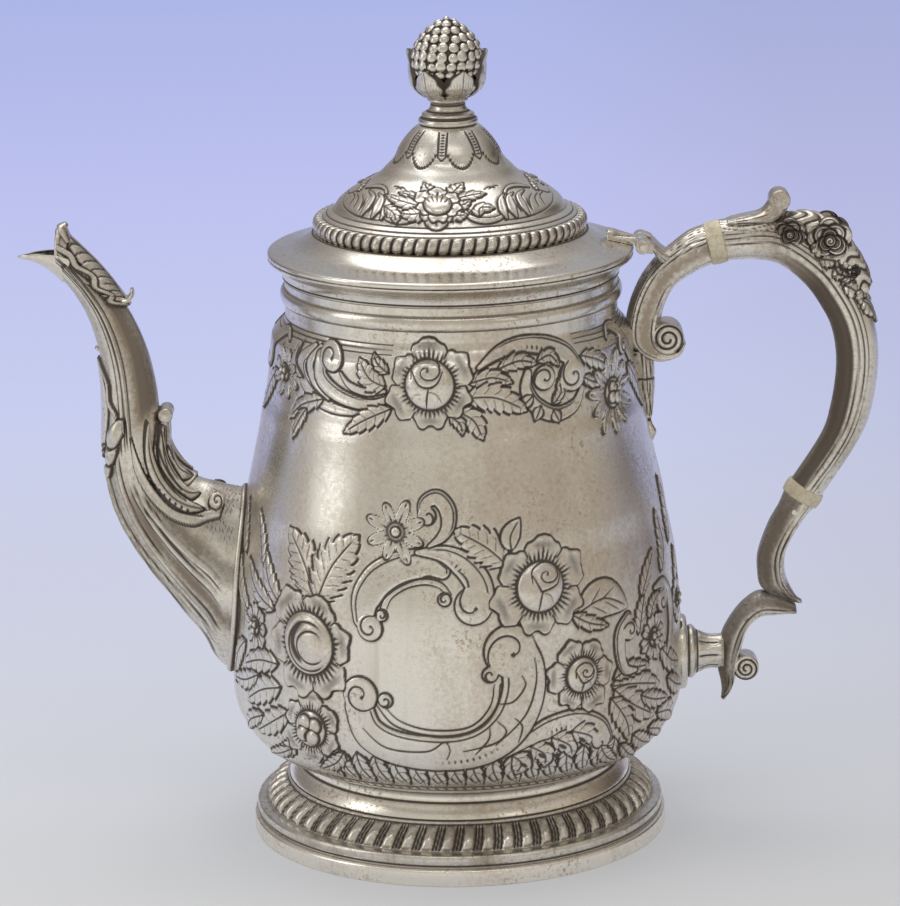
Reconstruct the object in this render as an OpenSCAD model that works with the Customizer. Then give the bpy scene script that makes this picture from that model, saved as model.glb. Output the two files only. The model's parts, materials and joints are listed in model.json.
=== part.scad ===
/* [Foot] */
// Radius of the foot's base wire
foot_r = 63.4; // [61:0.2:66]
// Height of the base wire
plinth_h = 6; // [4.5:0.1:7.5]
// Height of the gadrooned band
gadroon_h = 10.2; // [9:0.1:12]
// Height of the collar that carries the body
collar_h = 9; // [7.5:0.1:10.5]
// Radius of the collar where the body rests on it
collar_r = 48.8; // [47:0.1:50.4]
// Metal thickness of the foot
foot_wall = 2; // [1.4:0.1:3]

/* [Body] */
// Wall thickness of the body
body_wall = 0.9; // [0.7:0.05:1.5]
// Radius of the body's flat bottom
bottom_r = 51; // [50.6:0.1:54]
// Radius of the belly at its widest
belly_r = 69.2; // [67:0.2:71.4]
// Height of the belly's widest part above the foot
belly_rise = 22.3; // [20:0.1:26]
// Radius of the shoulder
shoulder_r = 54.9; // [53.5:0.1:56.5]
// Height of the shoulder above the foot
shoulder_rise = 129.3; // [125:0.1:134]
// Height from the shoulder up to the straight neck
shoulder_h = 8.7; // [7.5:0.1:10]
// Radius of the neck
neck_r = 50; // [49:0.1:51]
// Height of the straight neck
neck_h = 9.2; // [8.4:0.1:11]

/* [Neck and mouth] */
// Height of the bead round the neck
neck_band_h = 4.3; // [3.4:0.1:5]
// How far the bead stands out of the neck
neck_band_out = 1.5; // [1:0.1:2]
// Height of the bead's lower edge above the start of the neck
neck_band_rise = 2.3; // [1:0.1:3.2]
// Radius of the flared mouth
mouth_r = 54.9; // [54:0.1:56]
// Height of the flared mouth
mouth_h = 6.3; // [5.6:0.1:7.4]

/* [Lid] */
// Gap between the closed lid and the mouth
lid_gap = 0.3; // [0.2:0.05:0.6]
// Metal thickness of the lid
lid_wall = 0.9; // [0.7:0.05:1.5]
// Thickness of the lid's flange at its edge
flange_t = 1.6; // [1.3:0.1:2]
// Radius where the lid starts to rise out of its flange
dome_r = 47; // [46.4:0.1:48]
// Radius of the wall that the gadroon wire lies against
wire_seat_r = 38.2; // [37:0.1:39]
// Height of the gadroon wire's seat above the flange's underside
wire_seat_rise = 7; // [6.2:0.1:8]
// Height of the gadroon wire
wire_h = 4.7; // [4:0.1:5.2]
// Width of the gadroon wire
wire_w = 2.9; // [2.4:0.1:3.2]
// Height of the lid from the flange's underside to the finial's seat
lid_h = 39; // [36:0.5:43]
// Radius of the finial's seat
finial_seat_r = 8.4; // [7.6:0.1:9]
// Depth of the ring that drops into the mouth
bezel_h = 5.5; // [4:0.1:6]
// Thickness of the ring that drops into the mouth
bezel_wall = 1; // [0.7:0.1:1.4]
// Clearance between that ring and the mouth
bezel_play = 0.5; // [0.45:0.05:0.8]

/* [Finial] */
// Height of the finial's turned stem
stem_h = 8; // [7:0.1:9]
// Radius of the disc at the foot of the stem
stem_disc_r = 8.9; // [8.4:0.1:9.6]
// Radius of the stem's waist
stem_waist_r = 5; // [4:0.1:5.6]
// Height of the leaf cup
calyx_h = 10.4; // [9.4:0.1:11.4]
// Radius of the leaf cup
calyx_r = 11.4; // [11:0.1:12.4]
// Radius of the berry cluster
fruit_r = 10.7; // [10.2:0.1:10.9]
// Height of the berry cluster
fruit_h = 20.5; // [18.5:0.5:23]
// Radius of the finial's threaded stud
stud_r = 2; // [1.5:0.1:2.5]
// Height of the nut inside the lid
nut_h = 2.4; // [1.8:0.1:3]
// Width of the nut across its corners
nut_d = 8; // [7:0.2:9.4]
// Thickness of the washer under the nut
washer_t = 0.8; // [0.5:0.1:1.2]

/* [Hinge] */
// Distance from the lid's edge out to the hinge pin
hinge_out = 2.4; // [2.4:0.1:3]
// Height of the hinge pin above the flange's underside
hinge_rise = 2; // [1.8:0.1:2.4]
// Radius of the hinge knuckles
knuckle_r = 2.1; // [1.8:0.05:2.1]
// Width of the lid's knuckle
lid_knuckle_w = 6; // [5:0.2:8]
// Width of each knuckle on the handle
handle_knuckle_w = 5.6; // [4.6:0.2:7]
// Gap between two knuckles
knuckle_gap = 0.2; // [0.1:0.05:0.4]
// Radius of the hinge pin
hinge_pin_r = 0.9; // [0.7:0.05:1.1]
// Radial clearance of the hinge pin in the lid's knuckle
hinge_play = 0.05; // [0.03:0.01:0.09]

/* [Spout] */
// Wall thickness of the spout
spout_wall = 1; // [0.8:0.05:1.3]
// How far the spout's lip stands out of the belly
spout_reach = 60.2; // [56:0.2:64]
// Height of the spout from its foot to its crest
spout_rise = 140.6; // [136:0.2:145]
// Height of the spout's foot on the body above the pot's foot
spout_foot_rise = 22.8; // [20:0.2:26]
// Radius of a strainer hole behind the spout
strainer_r = 1.6; // [1.2:0.1:2]
// Distance between strainer holes
strainer_pitch = 6; // [5:0.2:7]
// Thickness of the leaves laid on the spout
leaf_t = 1.1; // [0.8:0.1:1.5]

/* [Handle] */
// How far the handle stands out of the shoulder
handle_reach = 73.9; // [70:0.2:78]
// How far the handle rises above the shoulder
handle_rise = 42.7; // [41.5:0.1:44]
// How far the handle hangs below the shoulder
handle_drop = 116.8; // [113:0.2:121]
// Half the width of the grip
grip_half_w = 6; // [5.2:0.1:7]
// Thickness of the upper insulating ring
ring_upper_t = 4.9; // [4:0.1:6]
// Radius of the upper insulating ring
ring_upper_r = 6.6; // [6.3:0.1:7.4]
// Thickness of the lower insulating ring
ring_lower_t = 4.4; // [3.6:0.1:5.4]
// Radius of the lower insulating ring
ring_lower_r = 6.1; // [5.7:0.1:6.8]
// Radius of the tenons on the insulating rings
tenon_r = 3; // [2.4:0.1:3.4]
// Length of the tenons on the insulating rings
tenon_l = 8; // [7:0.1:9]
// Radius of the pins that lock the tenons
lock_pin_r = 0.8; // [0.6:0.05:1]
// Distance of a lock pin from its insulating ring
lock_pin_inset = 3.6; // [3:0.1:4.4]
// Radius of the disc that carries the handle's lower end
mount_disc_r = 11.4; // [10.4:0.1:12.4]
// Radius of the spool between that disc and the handle
mount_spool_r = 4.9; // [4.2:0.1:5.4]

/* [Hidden] */

silver = [0.76, 0.74, 0.7];
ivory = [0.93, 0.9, 0.8];
round_faces = 96;
curve_steps = 3;
// Room left for solder between pieces that lie on each other
solder_gap = 0.03;
// Clearance of the tenons, the lock pins and the finial's stud in their holes
fit_gap = 0.05;

// Heights above the table
foot_h = plinth_h + gadroon_h + collar_h;
shoulder_z = foot_h + shoulder_rise;
neck_z = shoulder_z + shoulder_h;
mouth_z = neck_z + neck_h;
mouth_top = mouth_z + mouth_h;
lid_z = mouth_top + lid_gap;
finial_z = lid_z + lid_h;
calyx_z = finial_z + stem_h;
fruit_z = calyx_z + calyx_h - 6.9;
hinge_z = lid_z + hinge_rise;
hinge_x = mouth_r + hinge_out;

// ---- Curves ----

function mix(a, b, share) = a + (b - a) * share;

// Point of a smooth curve between p1 and p2, with p0 and p3 as its neighbours
function curve_point(p0, p1, p2, p3, t) =
  0.5 * (2 * p1 + (p2 - p0) * t + (2 * p0 - 5 * p1 + 4 * p2 - p3) * t * t
    + (3 * p1 - p0 - 3 * p2 + p3) * t * t * t);

// Smooth curve through all stations, which are points or lists of any length
function smooth(stations, steps = curve_steps) =
  let (last = len(stations) - 1)
  concat(
    [for (i = [0:last - 1], k = [0:steps - 1])
      curve_point(stations[max(i - 1, 0)], stations[i], stations[i + 1], stations[min(i + 2, last)], k / steps)],
    [stations[last]]
  );

// Stations between two points, given as shares of their height and of their distance
function between(from, to, shares) =
  [for (s = shares) [mix(from.x, to.x, s[1]), mix(from.y, to.y, s[0])]];

function reversed(list) = [for (i = [len(list) - 1:-1:0]) list[i]];

// The curve moved sideways by d, to its left as it runs
function moved_curve(curve, d) =
  let (last = len(curve) - 1)
  [for (i = [0:last])
    let (along = curve[min(i + 1, last)] - curve[max(i - 1, 0)], length = norm(along))
    curve[i] + [-along.y, along.x] * d / length];

// ---- Body of revolution ----

belly_point = [belly_r, foot_h + belly_rise];
shoulder_point = [shoulder_r, shoulder_z];
neck_point = [neck_r, neck_z];

body_curve = concat(
  smooth(concat(
    [[bottom_r, foot_h]],
    between([bottom_r, foot_h], belly_point, [[0.13, 0.38], [0.27, 0.63], [0.45, 0.8], [0.7, 0.95]]),
    [belly_point],
    between(belly_point, shoulder_point,
      [[0.16, 0.02], [0.35, 0.12], [0.54, 0.4], [0.72, 0.7], [0.82, 0.83], [0.91, 0.94]]),
    [shoulder_point],
    between(shoulder_point, neck_point, [[0.25, 0.2], [0.6, 0.76], [0.82, 0.96]]),
    [neck_point]
  )),
  [[neck_r, mouth_z]]
);

// Radius of the body at a height above the table
function body_r_at(z) = lookup(z, [for (p = body_curve) [p.y, p.x]]);

module turned(profile) {
  rotate_extrude($fn = round_faces) polygon(profile);
}

// The room that the body fills, with space for solder, which the applied pieces are cut from
module body_room() {
  turned(concat([[0, foot_h]], moved_curve(body_curve, -solder_gap), [[0, mouth_z]]));
}

// ---- Swept pieces ----
// A station is [x, z, x, z, half width]: the two edges of a section in the plane of spout and handle

sides = 16;

// Point of a section at an angle from its second edge, moved out by off
function section_point(s, angle, off = 0) =
  let (
    middle = [s[0] + s[2], s[1] + s[3]] / 2,
    half = [s[2] - s[0], s[3] - s[1]] / 2,
    reach = 1 + off / norm(half)
  )
  [middle.x + half.x * reach * cos(angle), (s[4] + off) * sin(angle), middle.y + half.y * reach * cos(angle)];

function section_ring(s, off = 0, count = sides) =
  [for (i = [0:count - 1]) section_point(s, 360 * i / count, off)];

function centre_of(points) = [for (i = [0:2]) sum_of([for (p = points) p[i]]) / len(points)];
function sum_of(values) = values * [for (v = values) 1];

// Closed skin over a row of rings that have the same number of points
module skin(rings, is_loop = false) {
  n = len(rings[0]);
  count = len(rings);
  points = concat([for (r = rings) each r], is_loop ? [] : [centre_of(rings[0]), centre_of(rings[count - 1])]);
  wall_faces = [for (i = [0:count - (is_loop ? 1 : 2)], j = [0:n - 1])
    let (a = i * n + j, b = i * n + (j + 1) % n, c = ((i + 1) % count) * n + j, d = ((i + 1) % count) * n + (j + 1) % n)
    each [[a, b, d], [a, d, c]]];
  end_faces = is_loop ? [] : [for (j = [0:n - 1])
    each [[(j + 1) % n, j, n * count], [(count - 1) * n + j, (count - 1) * n + (j + 1) % n, n * count + 1]]];
  faces = concat(wall_faces, end_faces);
  inside_out = sum_of([for (f = faces) points[f[0]] * cross(points[f[1]], points[f[2]])]) > 0;
  polyhedron(points, inside_out ? [for (f = faces) [f[2], f[1], f[0]]] : faces);
}

module bar(stations, off = 0) {
  skin([for (s = stations) section_ring(s, off)]);
}

module tube(stations, outside, inside) {
  skin(concat(
    [for (s = stations) section_ring(s, outside)],
    [for (s = reversed(stations)) section_ring(s, inside)]
  ), is_loop = true);
}

// A leaf that hugs part of a swept piece. Each entry of spread is [half angle, thickness].
// Its underside is lifted by what its flat cells would cut off the round piece below.
module leaf_over(stations, spread, middle_angle, cells = 12) {
  last = len(stations) - 1;
  edge_t = 0.3;
  fits = smooth(spread, curve_steps);
  skin([for (i = [0:last])
    let (
      s = stations[i],
      fit = fits[round(i * (len(fits) - 1) / last)],
      under = solder_gap + max(s[4], norm([s[2] - s[0], s[3] - s[1]]) / 2) * (1 - cos(fit[0] / cells))
    )
    concat(
      [for (k = [0:cells]) let (a = mix(-fit[0], fit[0], k / cells))
        section_point(s, middle_angle + a, under + edge_t + fit[1] * cos(a * 75 / fit[0]))],
      [for (k = [cells:-1:0]) section_point(s, middle_angle + mix(-fit[0], fit[0], k / cells), under)]
    )]);
}

// Part of a row of stations
function part_of(stations, from, to) =
  [for (i = [round(from * (len(stations) - 1)):round(to * (len(stations) - 1))]) stations[i]];

// ---- Spout path ----

// Reach and rise that the stations below are drawn for, from the spout's foot on the belly
spout_drawn = [60.2, 140.6];
spout_foot_z = foot_h + spout_foot_rise;
spout_foot_x = body_r_at(spout_foot_z);

// Lower edge, upper edge and half width, outwards from the belly and up from the spout's foot
spout_sections = [
  [-9, -1, -12, 58, 17.5],
  [2.4, 3.5, -2.6, 59.4, 16.8],
  [7.3, 12.2, 2.8, 60.8, 15.2],
  [13.2, 20.2, 8.4, 62.6, 13.4],
  [19.7, 28.8, 13.2, 65.8, 12],
  [25.6, 37, 16.4, 70, 10.8],
  [30.9, 46, 18.2, 74.2, 9.8],
  [34.5, 55, 19.1, 78.4, 9.1],
  [36.4, 65.4, 19.6, 83.6, 8.6],
  [36.6, 75.4, 20, 89.2, 8.1],
  [36.2, 86.2, 20.9, 95.2, 7.7],
  [36.6, 97, 22.3, 101.6, 7.2],
  [38.2, 106.6, 24.5, 108, 6.7],
  [41.3, 115.4, 27.7, 114.8, 6.3],
  [45.6, 122.2, 31.7, 121.2, 5.9],
  [50, 127, 36.8, 127.8, 5.4],
  [54.4, 130.2, 42.2, 133.8, 4.8],
  [60.2, 132.8, 47.2, 139.6, 3.9]
];

spout_stations = smooth(
  [for (s = spout_sections) [
    -spout_foot_x - s[0] * spout_reach / spout_drawn.x, spout_foot_z + s[1] * spout_rise / spout_drawn.y,
    -spout_foot_x - s[2] * spout_reach / spout_drawn.x, spout_foot_z + s[3] * spout_rise / spout_drawn.y,
    s[4]
  ]], 2);

// ---- Handle path ----

// Reach, rise and drop that the points below are drawn for, from the shoulder
handle_drawn = [73.9, 42.7, 116.8];

function handle_x(x) = shoulder_r + x * handle_reach / handle_drawn[0];
function handle_z(z) = shoulder_z + z * (z > 0 ? handle_rise / handle_drawn[1] : handle_drop / handle_drawn[2]);
function handle_point(p) = [handle_x(p.x), handle_z(p.y)];

// Sections drawn from the shoulder, with half widths as shares of the grip's
function handle_sections(rows) = [for (s = rows)
  [handle_x(s[0]), handle_z(s[1]), handle_x(s[2]), handle_z(s[3]), s[4] * grip_half_w]];

// Section square to a direction, at a distance from a centre
function square_section(centre, direction, distance, half_h, half_w) =
  let (c = centre + direction * distance, n = [direction.y, -direction.x] * half_h)
  [c.x - n.x, c.y - n.y, c.x + n.x, c.y + n.y, half_w];

// Insulating rings: centre, and direction along the handle towards its lower end
ring_upper_c = handle_point([24.7, 26]);
ring_upper_dir = [cos(12.8), sin(12.8)];
ring_lower_c = handle_point([51.1, -52]);
ring_lower_dir = [-cos(58.7), -sin(58.7)];

upper_end_h = ring_upper_r - 0.5;
lower_end_h = ring_lower_r - 0.9;
end_half_w = grip_half_w - 0.5;

grip_stations = smooth(concat(
  [square_section(ring_upper_c, ring_upper_dir, ring_upper_t / 2, upper_end_h, end_half_w)],
  handle_sections([
    [35.1, 33.4, 36.3, 20.7, 1],
    [43.5, 32.9, 42.1, 19.7, 1],
    [52.2, 28.4, 46.9, 16.9, 1],
    [61, 21.2, 52.1, 12.1, 1],
    [67, 13.2, 56, 6.5, 1],
    [71.3, 4.7, 59.1, 0.5, 1],
    [73.5, -5.3, 60.7, -6.5, 1],
    [73.3, -16.2, 60.9, -14.5, 0.98],
    [70.9, -28.6, 59.3, -25.2, 0.94],
    [66.2, -38.4, 56.4, -34, 0.9]
  ]),
  [square_section(ring_lower_c, ring_lower_dir, -ring_lower_t / 2, lower_end_h, end_half_w)]
), 3);

upper_socket_stations = smooth(concat(
  [square_section(ring_upper_c, -ring_upper_dir, ring_upper_t / 2, upper_end_h, end_half_w)],
  handle_sections([
    [19.6, 17.8, 16.4, 29.6, 1],
    [15.4, 15.4, 11.8, 26.2, 1],
    [12, 12.6, 7.2, 22.4, 1],
    [9.8, 8.6, 3.6, 18.2, 1],
    [8.6, 5, 0.9, 13.6, 1],
    [8, 1.6, -1.4, 7.6, 1],
    [7.8, -1.4, -2.6, 0.6, 1],
    [7.9, -3, -1.6, -4.6, 0.98],
    [8.6, -4.6, 2.6, -8.4, 0.95],
    [10.4, -5.6, 7.4, -9.8, 0.9],
    [12.4, -5.2, 12.6, -8.4, 0.85]
  ])
), 2);
upper_volute_c = handle_point([9.8, -2.5]);
upper_volute_r = 0.82 * grip_half_w;

lower_socket_stations = smooth(concat(
  [square_section(ring_lower_c, ring_lower_dir, ring_lower_t / 2, lower_end_h, end_half_w)],
  handle_sections([
    [51.9, -59.3, 43.7, -55.6, 0.9],
    [48.3, -64.9, 40.7, -61, 0.86],
    [46, -69.6, 38.3, -67, 0.84],
    [45.4, -73.2, 37.1, -71.6, 0.82],
    [45.6, -76.6, 37.1, -76.4, 0.8],
    [46.6, -80, 38.2, -81.4, 0.72],
    [48.4, -83.6, 43.4, -85.2, 0.5],
    [50.4, -86.4, 49.6, -87, 0.16]
  ])
), 2);

lower_scroll_stations = smooth(handle_sections([
  [48.4, -90.2, 48.4, -87, 0.5],
  [43.4, -90.4, 43.2, -84.2, 0.74],
  [38.6, -90.8, 37.9, -83, 0.84],
  [35.8, -92.6, 33.2, -85.8, 0.86],
  [33.8, -95.4, 29.4, -90.2, 0.86],
  [32.8, -99, 26.4, -95.6, 0.86],
  [31.6, -103.2, 25.1, -101.6, 0.84],
  [30.9, -107.6, 25, -107, 0.76],
  [30.2, -111.4, 25.8, -110.8, 0.6],
  [28.9, -114.3, 26.2, -113.8, 0.42],
  [26.7, -116.8, 26, -116.7, 0.16]
]), 2);
lower_volute_c = handle_point([33.5, -106.6]);
lower_volute_r = 0.72 * grip_half_w;

// Height where the handle's lower scroll meets its mount
mount_z = handle_z(-101.8);
mount_x = body_r_at(mount_z);
mount_end_x = handle_x(28);

// ---- Foot ----

// Step from the base wire in to the gadrooned band, and from that band in to the collar
plinth_step = 1.6;
gadroon_foot_r = foot_r - plinth_step;
gadroon_top_r = collar_r + 4.1;

module foot_plinth() {
  groove = 1.2;
  inner = gadroon_foot_r - foot_wall - 0.2;
  color(silver) turned([
    [inner, 0], [foot_r, 0], [foot_r, plinth_h - groove - 0.6], [foot_r - 0.5, plinth_h - groove],
    [gadroon_foot_r - 0.2, plinth_h - groove], [gadroon_foot_r - 0.2, plinth_h], [inner, plinth_h]
  ]);
}

// Quarter-round band: outwards and downwards from its top edge
gadroon_curve = [for (a = [0:15:90]) [
  mix(gadroon_top_r, gadroon_foot_r, sin(a) ^ 1.2), plinth_h + mix(0.8, gadroon_h, cos(a) ^ 0.9)]];

module foot_gadroon_band() {
  color(silver) turned(concat(
    [[gadroon_foot_r - foot_wall, plinth_h], [gadroon_foot_r, plinth_h]],
    reversed(gadroon_curve),
    [[gadroon_top_r - foot_wall, plinth_h + gadroon_h]],
    [for (p = gadroon_curve) [p.x - foot_wall, p.y - foot_wall * (p.y - plinth_h) / gadroon_h]]
  ));
}

module foot_collar() {
  low = plinth_h + gadroon_h;
  color(silver) turned([
    [collar_r + 0.8 - foot_wall, low], [gadroon_top_r, low], [gadroon_top_r, low + 0.7],
    [collar_r + 3.1, low + 1.4], [collar_r + 2.7, low + 2.6], [collar_r + 1, low + 5.2], [collar_r + 0.6, low + 5.5],
    [collar_r, low + 6], [collar_r, foot_h], [collar_r - foot_wall, foot_h], [collar_r - foot_wall, low + 2]
  ]);
}

// ---- Body, neck and mouth ----

strainer_z = spout_foot_z + 30;

module body_shell() {
  inner_curve = moved_curve(body_curve, body_wall);
  color(silver) difference() {
    turned(concat(
      [[0, foot_h]], body_curve,
      reversed([for (p = inner_curve) if (p.y > foot_h + body_wall) [p.x, min(p.y, mouth_z)]]),
      [[bottom_r - body_wall, foot_h + body_wall], [0, foot_h + body_wall]]
    ));
    for (row = [-3:3], column = [-1:1]) {
      translate([-body_r_at(strainer_z) - 8, column * strainer_pitch, strainer_z + row * strainer_pitch])
        rotate([0, 90, 0]) cylinder(r = strainer_r, h = 20, $fn = 32);
    }
  }
}

// Half-round bead that stands out of a wall
function bead_profile(wall_r, low, high, out) = concat(
  [[wall_r, low]],
  [for (a = [-80:20:80]) [wall_r + out * (0.25 + 0.75 * cos(a)), mix(low, high, 0.5 + 0.5 * sin(a))]],
  [[wall_r, high]]
);

module neck_band() {
  low = neck_z + neck_band_rise;
  color(silver) turned(bead_profile(neck_r, low, low + neck_band_h, neck_band_out));
}

mouth_bore_r = neck_r - body_wall;

module mouth_rim() {
  flare = mouth_r - neck_r;
  color(silver) turned(concat(
    [[mouth_bore_r, mouth_z], [neck_r + 0.5, mouth_z], [neck_r + 0.5, mouth_z + 0.8]],
    [for (a = [0:15:75]) [neck_r + 0.9 + (flare - 0.9) * (1 - cos(a)) * 0.75 + (flare - 0.9) * 0.25 * sin(a),
      mouth_z + 1.2 + (mouth_h - 2) * sin(a)]],
    [[mouth_r, mouth_top - 0.7], [mouth_r, mouth_top], [mouth_bore_r, mouth_top]]
  ));
}

// ---- Lid ----

wire_seat_z = lid_z + wire_seat_rise;
dome_z = wire_seat_z + wire_h + 0.2;

dome_curve = smooth(concat(
  [[wire_seat_r, dome_z]],
  between([wire_seat_r, dome_z], [finial_seat_r, finial_z],
    [[0.085, 0.104], [0.18, 0.171], [0.284, 0.292], [0.358, 0.443], [0.424, 0.544], [0.52, 0.638],
      [0.616, 0.715], [0.742, 0.779], [0.852, 0.846], [0.963, 0.943]]),
  [[finial_seat_r, finial_z]]
), 2);

lid_curve = concat(
  [[mouth_r - 0.2, lid_z], [mouth_r, lid_z + 0.3 * flange_t], [mouth_r - 0.1, lid_z + 0.8 * flange_t],
    [mouth_r - 0.8, lid_z + flange_t]],
  [[dome_r, lid_z + flange_t + 1.6], [mix(dome_r, wire_seat_r, 0.37), mix(lid_z + flange_t + 1.6, wire_seat_z, 0.48)],
    [wire_seat_r + wire_w + 0.3, wire_seat_z], [wire_seat_r, wire_seat_z]],
  dome_curve
);

module lid_cover() {
  inner_dome = moved_curve(dome_curve, lid_wall);
  color(silver) difference() {
    turned(concat(
      lid_curve, [[0, finial_z], [0, finial_z - lid_wall], [finial_seat_r - 2 * lid_wall, finial_z - lid_wall]],
      reversed([for (p = inner_dome) if (p.y < finial_z - 2 * lid_wall && p.x > finial_seat_r - lid_wall) p]),
      [[wire_seat_r - lid_wall, wire_seat_z - lid_wall], [dome_r - lid_wall - 0.6, lid_z + flange_t],
        [dome_r - lid_wall - 0.6, lid_z]]
    ));
    translate([0, 0, finial_z - lid_wall - 1]) cylinder(r = stud_r + fit_gap, h = lid_wall + 2, $fn = 48);
  }
}

module lid_gadroon_wire() {
  inner = wire_seat_r + solder_gap;
  low = wire_seat_z + solder_gap;
  color(silver) turned(concat(
    [[inner, low], [inner + 0.7 * wire_w, low]],
    [for (a = [-60:15:60]) [inner + wire_w * (0.5 + 0.5 * cos(a)), low + wire_h * (0.5 + 0.5 * sin(a) / sin(70))]],
    [[inner + 0.5 * wire_w, low + wire_h], [inner, low + wire_h]]
  ));
}

module lid_bezel() {
  outer = mouth_bore_r - bezel_play;
  color(silver) turned([
    [outer - bezel_wall, lid_z - bezel_h], [outer - 0.3, lid_z - bezel_h], [outer, lid_z - bezel_h + 0.6],
    [outer, lid_z], [outer - bezel_wall, lid_z]
  ]);
}

// ---- Finial ----

module stud_hole(low, high) {
  translate([0, 0, low]) cylinder(r = stud_r + fit_gap, h = high - low, $fn = 48);
}

module finial_stem() {
  color(silver) difference() {
    turned([
      [0, finial_z], [finial_seat_r, finial_z], [stem_disc_r, finial_z + 0.5], [stem_disc_r, finial_z + 1.5],
      [stem_disc_r - 0.8, finial_z + 2.2], [stem_disc_r - 1.8, finial_z + 2.6], [stem_disc_r - 2, finial_z + 3.3],
      [stem_waist_r + 1, finial_z + 4], [stem_waist_r + 0.2, finial_z + 5], [stem_waist_r, calyx_z - 1.8],
      [stem_waist_r + 0.8, calyx_z - 1.1], [stem_waist_r + 1.2, calyx_z - 0.6], [stem_waist_r + 1.2, calyx_z], [0, calyx_z]
    ]);
    stud_hole(finial_z - 1, calyx_z + 1);
  }
}

// Outline of the berry cluster, from its foot to its tip
fruit_curve = smooth([for (s = [[0, 0.38], [0.08, 0.7], [0.2, 0.9], [0.34, 0.99], [0.47, 1], [0.61, 0.93],
  [0.76, 0.76], [0.88, 0.52], [0.97, 0.25], [1, 0]]) [fruit_r * s[1], fruit_z + fruit_h * s[0]]], 2);
calyx_top = calyx_z + calyx_h;

module finial_calyx() {
  seat = [for (p = fruit_curve) if (p.y < calyx_top) p];
  color(silver) difference() {
    turned(concat(
      [[0, calyx_z], [calyx_r * 0.53, calyx_z], [calyx_r * 0.67, calyx_z + 0.08 * calyx_h],
        [calyx_r * 0.88, calyx_z + 0.31 * calyx_h], [calyx_r * 0.965, calyx_z + 0.56 * calyx_h],
        [calyx_r * 0.99, calyx_z + 0.79 * calyx_h], [calyx_r, calyx_top], [fruit_r + 0.1, calyx_top]],
      reversed([for (p = moved_curve(seat, -solder_gap)) [p.x, max(p.y, fruit_z)]]),
      [[0, fruit_z]]
    ));
    stud_hole(calyx_z - 1, fruit_z - 0.5);
  }
}

module finial_fruit() {
  color(silver) turned(concat([[0, fruit_z]], fruit_curve));
}

stud_low = finial_z - lid_wall - washer_t - nut_h - 1;

module finial_stud() {
  color(silver) translate([0, 0, stud_low]) cylinder(r = stud_r, h = fruit_z - 0.6 - stud_low, $fn = 48);
}

module finial_washer() {
  low = finial_z - lid_wall - washer_t;
  color(silver) difference() {
    translate([0, 0, low]) cylinder(r = stud_r + 2.6, h = washer_t, $fn = 48);
    stud_hole(low - 1, low + washer_t + 1);
  }
}

module finial_nut() {
  low = finial_z - lid_wall - washer_t - nut_h;
  color("goldenrod") difference() {
    translate([0, 0, low]) cylinder(d = nut_d, h = nut_h, $fn = 6);
    stud_hole(low - 1, low + nut_h + 1);
  }
}

// ---- Hinge ----

// Cylinder along the hinge pin, centred on the plane of spout and handle
module along_hinge(radius, width) {
  translate([hinge_x, 0, hinge_z]) rotate([90, 0, 0]) cylinder(r = radius, h = width, center = true, $fn = 48);
}

// Outline in the plane of spout and handle, given a width
module plate(outline, width) {
  rotate([90, 0, 0]) linear_extrude(width, center = true) polygon(outline);
}

hinge_w = lid_knuckle_w + 2 * (knuckle_gap + handle_knuckle_w);
hinge_leaf_t = 1.5;

module hinge_lid_leaf() {
  flange_in = [dome_r, lid_z + flange_t + 1.6 + solder_gap];
  flange_out = [mouth_r - 0.8, lid_z + flange_t + solder_gap];
  color(silver) difference() {
    union() {
      along_hinge(knuckle_r, lid_knuckle_w);
      plate([
        flange_in, flange_in + [-0.2, hinge_leaf_t + 0.2], flange_in + [1.4, hinge_leaf_t + 0.2], flange_in + [1.9, hinge_leaf_t - 0.3],
        [hinge_x - 0.3, hinge_z + knuckle_r - 0.1], [hinge_x, hinge_z - 0.3], flange_out
      ], lid_knuckle_w);
    }
    along_hinge(hinge_pin_r + hinge_play, hinge_w);
  }
}

module hinge_handle_leaf() {
  seat = handle_point([9, 23.4]);
  color(silver) difference() {
    union() {
      along_hinge(knuckle_r, hinge_w);
      plate([
        [hinge_x, hinge_z + knuckle_r - 0.1], [hinge_x, hinge_z + knuckle_r - 1.8], [hinge_x + 2, hinge_z - knuckle_r - 1],
        seat + [-3.2, -4], seat + [4, -3], seat + [3.8, 3.4], seat + [-1, 2.4]
      ], 2 * grip_half_w);
    }
    along_hinge(knuckle_r + 0.35, lid_knuckle_w + 2 * knuckle_gap);
    along_hinge(hinge_pin_r + hinge_play, hinge_w + 2);
    bar(upper_socket_stations, solder_gap);
    translate([0, 0, mouth_z]) cylinder(r = hinge_x - 1.6, h = hinge_z - mouth_z - 1, $fn = round_faces);
  }
}

module hinge_pin() {
  color(silver) along_hinge(hinge_pin_r, hinge_w + 0.8);
}

// ---- Spout ----

module spout() {
  color(silver) difference() {
    tube(spout_stations, 0, -spout_wall);
    body_room();
  }
}

module spout_joint_bead() {
  color(silver) difference() {
    tube(part_of(spout_stations, 0, 0.09), 1.3, solder_gap);
    body_room();
  }
}

// A rolled leaf tip across the spout or the handle
module rolled_tip(x, z, radius, width) {
  translate([x, 0, z]) rotate([90, 0, 0]) cylinder(r = radius, h = width, center = true, $fn = 32);
}

module spout_tip_leaf() {
  stations = part_of(spout_stations, 0.8, 1);
  root = section_point(stations[0], 0);
  color(silver) union() {
    leaf_over(stations, [[34, leaf_t], [62, leaf_t], [66, leaf_t], [60, leaf_t]], 0);
    rolled_tip(root.x + 1.9, root.z + 0.9, 1.7, 6);
  }
}

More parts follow.
